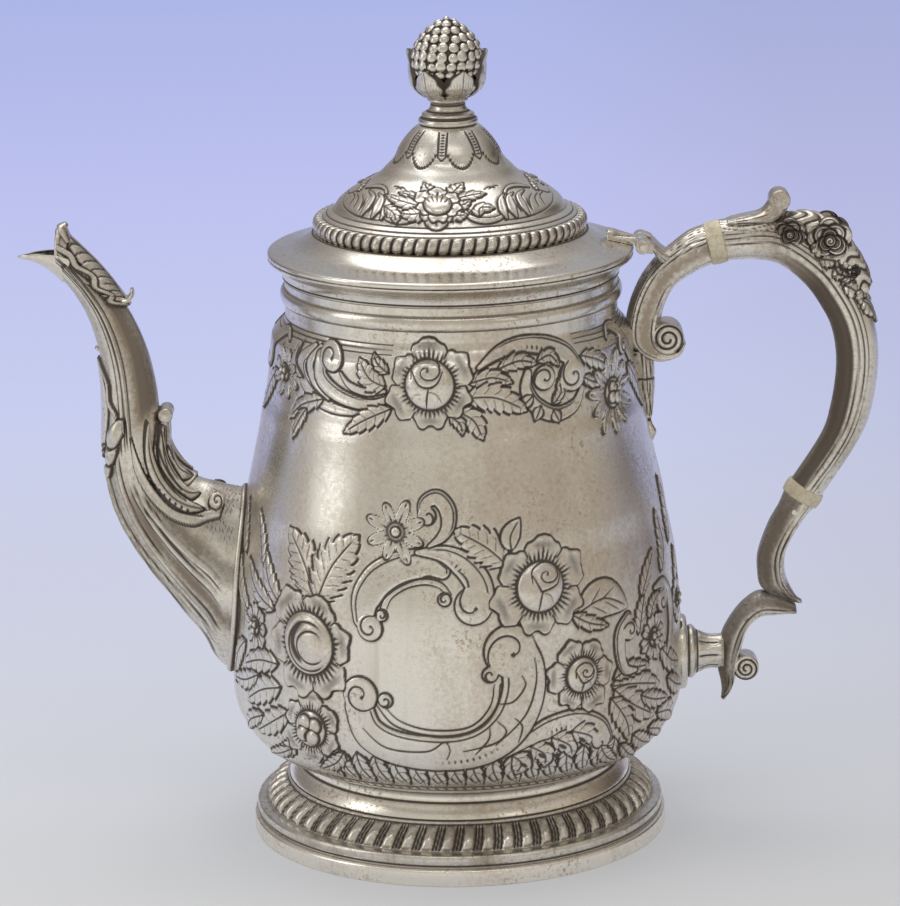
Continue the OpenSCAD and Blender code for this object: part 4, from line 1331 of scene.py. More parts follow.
        work.volute(at(13, 73.8), 7.8, 222, -1, 1.5, 0.8)
        work.volute(at(-24.6, 60), 5.5, -35, -1, 1.5, 1.05)
        work.volute(at(-18, 59), 2.2, 215, 1, 1.3, 0.8)
        work.volute(at(7.9, 67), 2.3, 300, -1, 1.3, 0.8)
        work.line(
            t((-20.2, 57), (-16, 51.6), (-8, 48.9), (0, 48.9), (6, 51.8), (9.6, 57.6), (10.4, 64)), 0.42,
        )
        work.line(t((-18, 56.6), (-14.5, 53), (-8, 50.7), (0, 50.7), (4.6, 52.8), (8, 58), (8.9, 64)), 0.34)
        work.band(
            t((-23.8, 83), (-23.6, 88.5), (-20.4, 94.4), (-14.6, 98.4), (-8, 99.9), (-3.6, 97.8)),
            [3.4, 4.6, 4.9, 4.7, 4.2, 2.4], 1.2, 0.6,
        )
        work.band(
            t((-10, 103), (-3, 102.6), (2.2, 99.2), (5.6, 94), (6.4, 89)), [0.8, 2.2, 3.6, 4, 3.8], 1.3, 0.5,
            True,
        )
        work.line(t((0.5, 98), (2.8, 95), (2.8, 91), (0.5, 89.8)), 0.36)
        work.volute(at(4.2, 87.6), 5.5, 118, 1, 1.5, 0.5)
        work.volute(at(-22, 80.4), 3.9, 62, 1, 1.4, 1.0)
        work.volute(at(-18.9, 84.4), 1.7, 110, -1, 1.2, 0.8)
        work.volute(at(-3, 89.6), 1.9, 40, 1, 1.2, 0.8)
        work.line(t((-19.6, 85.6), (-18.2, 90), (-13.6, 94), (-8, 95.6), (-3.6, 94.4), (-1.2, 91)), 0.4)
        work.line(t((-17.8, 86.2), (-16.4, 89.6), (-12.6, 92.6), (-8, 93.8), (-4.6, 93), (-3, 91.6)), 0.32)

    def chase_flowers(self, work: Chasing) -> None:
        """Chase the flowers and leaves round the shield.

        Args:
            work: The surface, laid out flat.
        """
        t, at = self.track, self.spot
        work.leaf(t((-38.5, 86), (-42, 95), (-50, 105.4)), 7.2, 7, 1)
        work.leaf(t((-37.5, 86), (-33.6, 97), (-26.4, 106.6)), 6.6, 7, 1)
        work.leaf(t((13, 99), (7.5, 104.6), (-0.4, 109.4)), 5, 6, 0.9)
        work.leaf(t((14.6, 103), (14.6, 107), (17.4, 111.6)), 2.7, 0, 0.9)
        work.leaf(t((32, 82.6), (40, 85), (48, 80.6)), 5.6, 0, 1.1)
        for root, tip in (
            ((35, 83.6), (39, 88.4)), ((38.4, 84.4), (43.4, 87.6)), ((36, 83.4), (40.4, 80.4)),
            ((40, 84), (44.6, 80.6)),
        ):
            work.line(t(root, tip), 0.3, 0.2, 0.7)
        work.leaf(t((30, 82), (35, 78.6), (41, 76.6)), 2.2, 3, 0.8)
        work.band(
            t(
                (-8.6, 113.4), (-8.2, 117), (-5, 118.6), (-2.2, 115.6), (-1.8, 111), (-3.6, 107.4),
                (-7, 104.8),
            ),
            [1.4, 2, 2.4, 2.4, 2, 1.4, 0.5], 1,
        )
        work.volute(at(-7.6, 113.4), 2.6, -60, 1, 1.1, 0.45)
        work.flower(at(-16, 108.6), 9.2, 8, 2.6, 112, True, 1.3)
        work.boss(at(-16, 108.6), 1.5, 1.5)
        for path, width in (
            (((41.5, 58), (50, 56.4), (61, 53)), 4.4), (((42, 56.5), (49, 50), (58.5, 44)), 4.6),
            (((41, 54), (46, 46), (48.6, 38.6)), 3.8), (((42, 60), (47, 61.6), (56, 60.6)), 2.6),
            (((52, 71), (53.4, 77), (55.6, 83)), 2.6), (((57, 74), (59, 78), (62.6, 81)), 2.2),
            (((62, 64), (68, 58), (76, 55)), 3.4), (((60, 44), (68, 42), (76, 36)), 3.8),
            (((50, 40), (56, 36), (64, 33)), 3.2), (((72, 70), (78, 78), (80, 90)), 4),
            (((66, 86), (70, 94), (69, 104)), 3.2), (((76, 92), (79, 100), (78, 112)), 3),
            (((-51, 64), (-59, 63), (-69, 58.6)), 3.8), (((-50, 57), (-58, 54), (-67, 48)), 4.2),
            (((-47, 50), (-54, 45), (-64, 39)), 4), (((-50, 82), (-56, 88), (-60, 97)), 3.6),
            (((-53, 80), (-62, 84), (-69, 92)), 3.4), (((-66, 76), (-73, 82), (-77, 92)), 3.2),
            (((-30, 41), (-33, 37), (-40, 33)), 2.6), (((-46, 42), (-50, 37), (-58, 33)), 3),
            (((38, 40), (42, 35), (48, 32)), 2.6), (((-68, 66), (-74, 60), (-77, 50)), 3.4),
            (((66, 53), (72, 49), (80, 46)), 3), (((57, 40), (65, 37), (73, 31.6)), 2.8),
            (((46, 38), (52, 33), (60, 30)), 2.4), (((52, 52), (58, 49), (66, 47)), 2.8),
            (((-60, 58), (-68, 54), (-78, 52)), 3), (((-58, 46), (-66, 42), (-74, 36)), 2.8),
            (((-48, 38), (-56, 34), (-66, 31)), 2.4), (((-72, 92), (-76, 99), (-77, 108)), 2.8),
            (((-60, 92), (-63, 99), (-66, 107)), 2.8), (((54, 82), (58, 88), (63, 94)), 2.4),
            (((-84, 62), (-86, 72), (-84, 82)), 3), (((84, 48), (86, 56), (85, 64)), 3),
        ):
            work.leaf(t(*path), width, 5, 0.95)
        work.band(t((50, 60.6), (46, 62), (44.6, 68), (45.2, 73.6), (48, 77)), [0.8, 1.8, 2.2, 2.4, 2], 1.1)
        work.volute(at(48.4, 73.2), 3, 160, -1, 1.3)
        work.band(t((61, 82.5), (66.6, 82.4), (70, 77), (70, 68), (66, 61)), [0.8, 2, 2.4, 2.2, 0.8], 1.1)
        work.volute(at(64.6, 77.6), 3.6, 40, -1, 1.3)
        for a, z, radius, petals, heart, turn, height, heart_height in (
            (59, 68, 7.4, 8, 2.8, 15, 1.5, 2), (-62, 72.5, 7.2, 8, 2.7, 0, 1.5, 2),
            (78, 74, 7, 7, 2.6, 0, 1.4, 1.9),
        ):
            work.flower(at(a, z), radius, petals, heart, turn, height=height)
            work.ball_heart(at(a, z), heart, heart_height)
        work.flower(at(-39.4, 46.8), 11.6, 6, 5.6, 30, height=1.9)
        work.ball_heart(at(-39.4, 46.8), 5.7, 2.6, 4)
        work.flower(at(-40, 72.8), 16.8, 6, 9.3, 68, height=2.1)
        work.curled_heart(at(-40, 73), 9.4, 3.2)
        work.flower(at(32, 63.6), 11.6, 6, 5.2, 58, height=1.9)
        work.rose_heart(at(32, 63.6), 5.3, (0.6, 1.2), 2.6)
        work.flower(at(21.7, 91.6), 15, 6, 7.2, 84, height=2)
        work.rose_heart(at(21.7, 91.6), 7.3, (1.6, 3.4), 3)

    def chase(self, angle: Array, z: Array) -> tuple[Array, Array, Array]:
        """Work out the chasing at angles from the front and heights, alike on both sides of the pot.

        Args:
            angle: Angle from the front, in degrees.
            z: Height.

        Returns:
            Height over the plain outline, height over the ground, and amount of oxide.
        """
        folded = fold_back(angle)
        work = Chasing(np.radians(folded) * self.radius_at(z), z)
        self.chase_frieze(work)
        self.chase_cartouche(work)
        self.chase_flowers(work)
        for low in (28.6, 30.2):
            work.line([(-115, low), (-60, low), (0, low), (60, low), (115, low)], 0.35, 0.2, 0.7)
        sunk = 0.45 * (ease((z - 27) / 6) * ease((107 - z) / 9) + ease((z - 132) / 6) * ease((163 - z) / 3))
        relief = 0.72 * work.height + 0.35 * np.maximum(work.height - 1.4, 0)
        rope = bell(z - 29.4, 0.5) * ease(np.sin(folded * 2.4 + z * 2.5) * 2)
        return relief - sunk, relief, np.maximum(work.oxide, 0.8 * rope)

    def skin(self, name: str, low: float, high: float, start: float, cell: float) -> Piece:
        """Make half a turn of the chased skin between two heights.

        Args:
            name: Name of the piece.
            low: Lower height.
            high: Upper height.
            start: Angle where the half turn starts, in degrees from the front.
            cell: Size of its cells.

        Returns:
            The chased piece.
        """
        line = self.outline
        inside = line[(line[:, 1] > low) & (line[:, 1] < high)]
        ends = [[float(self.radius_at(z)), z] for z in (low, high)]
        profile = even_curve(np.vstack([ends[:1], inside, ends[1:]]), cell)
        steps = round(math.pi * self.belly_r / cell)
        obj = Bench.fine_lathe(name, profile, steps, start, 180)
        p = Bench.places(obj)
        angle = np.degrees(front_angle(p))
        z = p[:, 2]
        height, relief, oxide = self.chase(angle, z)
        slope = np.gradient(line[:, 0], line[:, 1])
        lean = np.interp(z, line[:, 1], np.clip(slope, -3, 3))
        size = np.sqrt(1 + lean**2)
        p[:, :2] += unit(p[:, :2]) * (height / size)[:, None]
        p[:, 2] -= height * lean / size
        Bench.set_places(obj, p)
        Bench.mark(obj, oxide, np.clip(0.5 + relief / 3, 0, 1))
        return obj

    def build(self) -> None:
        """Make the body's pieces."""
        made = []
        halves = (
            ("front", self.front_splits, -90, self.front_cell),
            ("back", self.back_splits, 90, self.back_cell),
        )
        for part, splits, start, cell in halves:
            for k, (low, high) in enumerate(zip(splits, splits[1:])):
                made.append(self.skin(f"body_{part}_{k + 1}", low, high, start, cell))
        for piece in made:
            CHASED.dress(piece, Body.POT, 180)
        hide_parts("body_shell")


# ---------------------------------------------------------------- cast bars


def mirrored(place: PlaceFinder, side: int) -> Callable[..., Points]:
    """Find several places at once, on the side of the bar that 1 or -1 tells."""
    return lambda *rows: [place(t, side * a) for t, a in rows]


@dataclass
class Bar:
    """Cast bar along stations in the plane of spout and handle.

    A station is its two edges, as x and z, and its half width. Sizes are in millimetres.
    """

    stations: list[Station]
    cell: float = 0.42
    power: float = 2.0
    caps: Pair = (0.0, 0.0)

    @staticmethod
    def along_path(path: Points, thickness: list[float], half_width: list[float]) -> list[Station]:
        """Work out stations from a middle line.

        Args:
            path: Points of the middle line.
            thickness: Thickness in the plane, spread evenly over the points.
            half_width: Half width across the plane, spread the same way.

        Returns:
            The stations.
        """
        p = np.array(path, float)
        ahead = unit(np.gradient(p, axis=0))
        side = np.stack([ahead[:, 1], -ahead[:, 0]], 1)
        at = np.linspace(0, 1, len(p))
        half = np.interp(at, np.linspace(0, 1, len(thickness)), thickness)[:, None] / 2
        wide = np.interp(at, np.linspace(0, 1, len(half_width)), half_width)
        return [(*a, *b, w) for a, b, w in zip(p - side * half, p + side * half, wide)]

    def rows(self) -> Array:
        """Stations at an even distance along the bar, with rounded ends where it has caps.

        Returns:
            The stations, one row each.
        """
        line = smooth_curve(self.stations, 8)
        middle = (line[:, 0:2] + line[:, 2:4]) / 2
        run = run_along(middle)
        at = np.linspace(0, run[-1], max(4, round(run[-1] / self.cell)))
        rows = np.stack([np.interp(at, run, line[:, k]) for k in range(5)], 1)
        for last, bulge in ((0, self.caps[0]), (-1, self.caps[1])):
            if bulge:
                rows = self.capped(rows, last, bulge)
        return rows

    @staticmethod
    def capped(rows: Array, last: int, bulge: float) -> Array:
        """Close one end with a rounded cap.

        Args:
            rows: Stations.
            last: 0 for the first end, -1 for the last.
            bulge: How far the cap stands out.

        Returns:
            The stations with those of the cap.
        """
        end, before = rows[last], rows[1 if last == 0 else -2]
        mid = (end[0:2] + end[2:4]) / 2
        away = mid - (before[0:2] + before[2:4]) / 2
        away /= max(np.linalg.norm(away), 1e-9)
        extra = []
        for t in np.linspace(0, 1, 8)[1:]:
            size = max(math.cos(t * math.pi / 2), 0.001)
            shifted = mid + away * bulge * math.sin(t * math.pi / 2)
            edges = (end[0:2] - mid) * size + shifted, (end[2:4] - mid) * size + shifted
            extra.append([*edges[0], *edges[1], end[4] * size])
        return np.vstack([extra[::-1], rows]) if last == 0 else np.vstack([rows, extra])

    @staticmethod
    def girth(rows: Array) -> float:
        """Mean distance round the bar."""
        return math.pi * np.mean(np.linalg.norm(rows[:, 2:4] - rows[:, 0:2], axis=1) + 2 * rows[:, 4]) / 2

    def skin(self, rows: Array, angles: Array) -> tuple[Array, Array]:
        """Work out places on the bar.

        Args:
            rows: Stations.
            angles: Angles round each station, in degrees from its second edge towards the back.

        Returns:
            Places and outward normals.
        """
        c, s = np.cos(np.radians(angles)), np.sin(np.radians(angles))
        c, s = np.sign(c) * np.abs(c) ** (2 / self.power), np.sign(s) * np.abs(s) ** (2 / self.power)
        middle, half = (rows[:, 0:2] + rows[:, 2:4]) / 2, (rows[:, 2:4] - rows[:, 0:2]) / 2
        flat = middle[:, None, :] + half[:, None, :] * c[None, :, None]
        p = np.stack([flat[..., 0], rows[:, 4, None] * s[None, :], flat[..., 1]], -1)
        across = np.gradient(p, axis=1)
        if abs(angles[-1] - angles[0] - 360) < 1e-6:
            across[:, 0] = across[:, -1] = (p[:, 1] - p[:, -2]) / 2
        normal = unit(np.cross(np.gradient(p, axis=0), across))
        out = p - np.stack([middle[:, 0], np.zeros(len(rows)), middle[:, 1]], -1)[:, None]
        return p, normal if np.sum(normal * out) > 0 else -normal

    def layout(self, rows: Array, angles: Array) -> tuple[Array, Array]:
        """Lay part of the bar out flat.

        Args:
            rows: Stations.
            angles: Angles round each station, in degrees.

        Returns:
            Distances round the bar from the middle angle, and along it, in millimetres.
        """
        p, _ = self.skin(rows, angles)
        around = np.cumsum(np.linalg.norm(np.diff(p, axis=1, prepend=p[:, :1]), axis=-1), axis=1)
        around -= around[:, len(angles) // 2, None]
        middle = (rows[:, 0:2] + rows[:, 2:4]) / 2
        run = np.cumsum(np.linalg.norm(np.diff(middle, axis=0, prepend=middle[:1]), axis=-1))
        return around, np.repeat(run[:, None], len(angles), 1)

    def cast(self, name: str, form: Form | None = None) -> Piece:
        """Cast the bar, with relief.

        Args:
            name: Name of the piece.
            form: Gives height and oxide from the share along, the angle, and the mean radius.

        Returns:
            The piece, still to be settled.
        """
        rows = self.rows()
        steps = max(24, round(self.girth(rows) / self.cell))
        angles = np.linspace(-180, 180, steps + 1)
        p, normal = self.skin(rows, angles)
        _, along = self.layout(rows, angles)
        share = along / along[-1, 0]
        radius = np.linalg.norm(rows[:, 2:4] - rows[:, 0:2], axis=1) / 4 + rows[:, 4] / 2
        height, oxide = np.zeros_like(share), np.zeros_like(share)
        if form:
            turned = np.repeat(angles[None], len(rows), 0)
            height, oxide = form(share, turned, np.repeat(radius[:, None], steps + 1, 1))
        fade = np.ones(len(rows))
        if self.caps[0]:
            fade[:7] = np.linspace(0, 1, 7)
        if self.caps[1]:
            fade[-7:] = np.linspace(1, 0, 7)
        height = height * fade[:, None]
        height[:, -1] = height[:, 0]
        return Bench.sheet(name, p + normal * height[..., None], oxide, np.clip(0.5 + height / 3, 0, 1))

    def applied(
        self, name: str, part: Pair, middle: float, spread: float,
        draw: Callable[[Chasing, PlaceFinder], None], lift: float = 0.0, sink: float = 0.9,
    ) -> Piece:
        """Model a piece that lies on part of the bar: only what is drawn on it is kept.

        Args:
            name: Name of the piece.
            part: Shares of the bar's length where it starts and ends.
            middle: Angle of its middle line.
            spread: Half angle that it can cover.
            draw: Chases the piece, given the surface and a way to find places on it.
            lift: Height of the ground above the bar.
            sink: How deep its edges go into the bar.

        Returns:
            The piece, still to be settled.
        """
        rows = self.rows()
        first, last = (round(share * (len(rows) - 1)) for share in part)
        fine = np.linspace(first, last, round((last - first) * 1.25))
        rows = np.stack([np.interp(fine, np.arange(len(rows)), rows[:, k]) for k in range(5)], 1)
        cells = max(12, round(self.girth(rows) * spread / 180 / (0.8 * self.cell))) // 2 * 2
        angles = np.linspace(middle - spread, middle + spread, cells + 1)
        p, normal = self.skin(rows, angles)
        around, along = self.layout(rows, angles)
        work = Chasing(around.ravel(), along.ravel())

        def place(share: float, turn: float) -> Pair:
            """Find a place from its share along and its angle from the middle."""
            row = round(np.clip(share, 0, 1) * (len(rows) - 1))
            return float(np.interp(middle + turn, angles, around[row])), share * float(along[-1, 0])

        draw(work, place)
        cover = work.cover.reshape(around.shape)
        height = (work.height.reshape(around.shape) + lift + sink) * cover - sink
        oxide = work.oxide.reshape(around.shape)
        relief = np.clip(0.5 + height / 4, 0, 1)
        obj = Bench.sheet(name, p + normal * height[..., None], oxide, relief, False)
        Bench.trim(obj, cover.ravel() > 0.02)
        return obj


@dataclass
class Roll:
    """Rolled scroll end that lies along Y, with a spiral on both faces. Sizes in millimetres."""

    radius: float
    half: float
    turn: float = 0.0
    hand: int = 1
    laps: float = 1.8

    def cast(self, name: str, at: Pair) -> Piece:
        """Make the roll.

        Args:
            name: Name of the piece.
            at: Its centre, as x and z.

        Returns:
            The piece, still to be settled.
        """
        r, h = self.radius, self.half
        face = [(r * t, -h - 0.25 * r * (1 - t)) for t in np.linspace(0.0005, 0.9, 22)]
        edge = [(r * 0.97, -h + 0.05 * r), (r, -h + 0.16 * r)]
        side = [(r, y) for y in np.linspace(-h + 0.3 * r, h - 0.3 * r, 7)]
        line = np.array(
            face + edge + side + [(q, -w) for q, w in edge[::-1]] + [(q, -w) for q, w in face[::-1]]
        )
        phi = np.linspace(0, FULL_TURN, 73)
        rho, y = line[:, :1] + 0 * phi, line[:, 1:] + 0 * phi
        phase = ((self.hand * (phi - math.radians(self.turn))) % FULL_TURN) / FULL_TURN
        groove = np.zeros_like(rho)
        for lap in range(math.ceil(self.laps)):
            run = (phase + lap) / max(self.laps, 0.01)
            cut = bell(rho - r * (0.94 - 0.8 * run), 0.055 * r + 0.1) * (run <= 1)
            groove = np.maximum(groove, cut * (np.abs(y) > h - 0.2 * r))
        y = y - np.sign(y) * 0.1 * r * groove
        places = np.stack([at[0] + rho * np.cos(phi), y, at[1] + rho * np.sin(phi)], -1)
        return Bench.sheet(name, places, 0.9 * groove, 0.55)


# ---------------------------------------------------------------- foot and mouth


@dataclass
class Foot:
    """Stepped foot: base wire, gadrooned band and collar. Sizes in millimetres."""

    base_r: float = 63.4
    inner_r: float = 59.6
    lobes: int = 60
    slant: float = -0.25
    band_low: float = 9.6
    band_rise: float = 6.1
    band_radii: Pair = (58.9, 52.9)

    def base_wire(self) -> None:
        """Turn the base wire and the bead on it."""
        r = self.base_r
        profile = [
            (self.inner_r, 0), (r - 0.5, 0), (r - 0.1, 0.3), (r, 0.9), (r, 4.3), (r - 0.15, 4.8),
            (r - 0.6, 5.1), (r - 1.4, 5.2), (r - 1.65, 5.5), (r - 1.65, 6), (self.inner_r, 6),
        ]
        piece = Bench.turn("foot_base_wire", profile, [(r - 1.4, 5.4), (r - 1.7, 6)], 360, True, 0.28)
        BRIGHT.dress(piece, Body.POT, 50)
        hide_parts("foot_plinth")

    def band(self) -> None:
        """Turn the quarter-round band, chase its slanted lobes and paint shade between them."""
        bead = [(61.6 + 0.9 * math.cos(a), 7.65 + 1.6 * math.sin(a)) for a in np.linspace(-1.35, 1.45, 16)]
        low, tall = self.band_low, self.band_rise
        wide, narrow = self.band_radii
        rise = []
        for t in np.linspace(0, 1, 34):
            rise.append((wide * (1 - t) + narrow * t + 1.5 * math.sin(math.pi * t), low + tall * t))
        inside = [(52.9, 16.2), (51, 16.2), (52, 13.6), (55, 10.6), (58.4, 8), (59.8, 6)]
        profile = np.array([(61.4, 6.02), *bead, (60.6, 9.3), (59.3, 9.4), *rise, *inside])
        piece = Bench.fine_lathe("foot_gadroon_band", profile, self.lobes * 16, closed=True)
        p = Bench.places(piece)
        r, z = np.hypot(p[:, 0], p[:, 1]), p[:, 2]
        outside = (z > 9.5) & (z < 15.75) & (r > 52.6) & (r > wide - (z - low) * 0.99 - 0.4)
        t = np.clip((z - low) / tall, 0, 1)
        beat = (np.degrees(front_angle(p)) / 360 * self.lobes + self.slant * t) % 1.0
        lobe = np.sqrt(np.clip(1 - ((beat - 0.27) / 0.27) ** 2, 0, 1)) * (beat < 0.54)
        fine = np.maximum(bell(beat - 0.69, 0.03), bell(beat - 0.85, 0.03))
        ends = ease(t / 0.12) * ease((1 - t) / 0.1)
        height = np.where(outside, (1.25 * lobe - 0.5 + 0.5 * fine) * ends, 0)
        cuts = np.maximum.reduce(
            [bell(beat - 0.61, 0.05), bell(beat - 0.77, 0.04), bell(beat - 0.95, 0.055)]
        )
        groove = np.where(outside, cuts * 0.98 * ease(t / 0.05), 0)
        # Painted shade: the ground between the lobes is browned, most on the lower part of the band.
        brown_patch = 0.42 * ease((beat - 0.52) / 0.05) * ease((1 - beat) / 0.03) * ease((0.7 - t) / 0.3 + 0.4)
        crease = 0.9 * bell(np.hypot(r - 59.7, z - 9.35), 0.45)
        top_crease = 0.85 * bell(np.hypot(r - narrow, z - 15.9), 0.4)
        oxide = np.maximum.reduce([groove, np.where(outside, brown_patch, 0), crease, top_crease])
        out = np.stack([p[:, 0] / r * 0.72, p[:, 1] / r * 0.72, np.full(len(r), 0.69)], 1)
        Bench.set_places(piece, p + out * height[:, None])
        Bench.mark(piece, oxide, np.clip(0.5 + height / 3, 0, 1))
        CAST.dress(piece, Body.POT, 60)
        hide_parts("foot_gadroon_band")

    def collar(self) -> None:
        """Turn the collar under the body."""
        profile = [
            (50.6, 16.2), (52.9, 16.2), (52.95, 16.5), (52.7, 16.75), (52.05, 16.85), (52, 17.1),
            (52.3, 17.3), (52.2, 17.7), (51.6, 18.7), (50.7, 20), (49.9, 21), (49.5, 21.25), (49.45, 21.6),
            (48.95, 21.8), (48.8, 22.3), (48.8, 25.3), (46.8, 25.3), (46.8, 18.2),
        ]
        piece = Bench.turn(
            "foot_collar", profile, [(52, 16.95), (49.45, 21.5), (48.8, 25.2)], 256, True, 0.42,
        )
        BRIGHT.dress(piece, Body.POT, 50)
        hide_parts("foot_collar")

    def build(self) -> None:
        """Make the foot's pieces."""
        self.base_wire()
        self.band()
        self.collar()


@dataclass
class Mouth:
    """Lining of the body, bead round its neck and flared mouth. Sizes in millimetres."""

    body: PotBody = field(default_factory=PotBody)
    floor_z: float = 26.2
    floor_r: float = 50
    strainer: tuple[float, float, float] = (78, 6, 1.6)
    bead_z: float = 167.6

    def lining(self) -> None:
        """Turn the inside of the body and its flat bottom, with the strainer's holes painted on as dark
        spots, a painted shade.
        """
        floor_z, inset = self.floor_z, self.body.wall + 0.05
        inner = [(r - inset, z) for r, z in self.body.outline if z > floor_z + 3.3]
        profile = even_curve(np.array([(0.001, floor_z), (self.floor_r, floor_z), *inner]), 1.2)
        piece = Bench.fine_lathe("body_lining", profile, 300)
        p = Bench.places(piece)
        mid, pitch, hole = self.strainer
        # Darker all over and towards the floor. The strainer's holes are not cut: dark spots stand for them,
        # a painted shade.
        oxide = 0.25 + 0.4 * bell(p[:, 2] - floor_z, 3)
        for row in range(-3, 4):
            for column in (-1, 0, 1):
                far = np.hypot(p[:, 1] - column * pitch, p[:, 2] - mid - row * pitch)
                oxide = np.maximum(oxide, ease(1.6 - far / hole) * (p[:, 0] < 0))
        Bench.mark(piece, oxide, 0.5)
        Bench.face_inwards()
        PLAIN.dress(piece, Body.POT)
        plate = [(0.001, 25.25), (48, 25.25), (51.1, 25.25), (51.1, 25.6), (0.001, 25.6)]
        base = Bench.turn("body_bottom", plate, [(47, 25.2)], 128)
        PLAIN.dress(base, Body.POT)

    def neck(self) -> None:
        """Turn the bead round the neck."""
        bead = []
        for a in np.linspace(-1.45, 1.45, 22):
            bead.append((50.05 + 1.35 * (0.25 + 0.75 * math.cos(a)), self.bead_z + 2 * math.sin(a)))
        profile = [
            (49.9, 165.2), (50.35, 165.25), (50.4, 165.5), *bead, (50.4, 169.75), (50.35, 170),
            (49.9, 170.05),
        ]
        piece = Bench.turn("neck_bead", profile, [(50.2, 165.5), (50.2, 169.75)], 256, True, 0.32)
        PLAIN.dress(piece, Body.POT, 60)
        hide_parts("neck_band")

    def rim(self) -> None:
        """Turn the flared mouth."""
        flare = smooth_curve(
            [(50.6, 173.5), (51, 174.6), (51.9, 175.9), (53.2, 177), (54.3, 177.7), (54.85, 178.2)], 5,
        )
        foot = [(49.1, 172.4), (50.45, 172.4), (50.6, 172.7), (50.5, 173), (50.3, 173.15), (50.35, 173.35)]
        profile = np.vstack([foot, flare, [(54.85, 178.6), (54.6, 178.7), (49.1, 178.7)]])
        piece = Bench.turn("mouth_rim", profile, [(50.35, 173.2), (50.4, 172.4)], 256, True, 0.3)
        PLAIN.dress(piece, Body.POT, 50)
        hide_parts("mouth_rim")

    def build(self) -> None:
        """Make the pieces."""
        self.lining()
        self.neck()
        self.rim()


# ---------------------------------------------------------------- lid


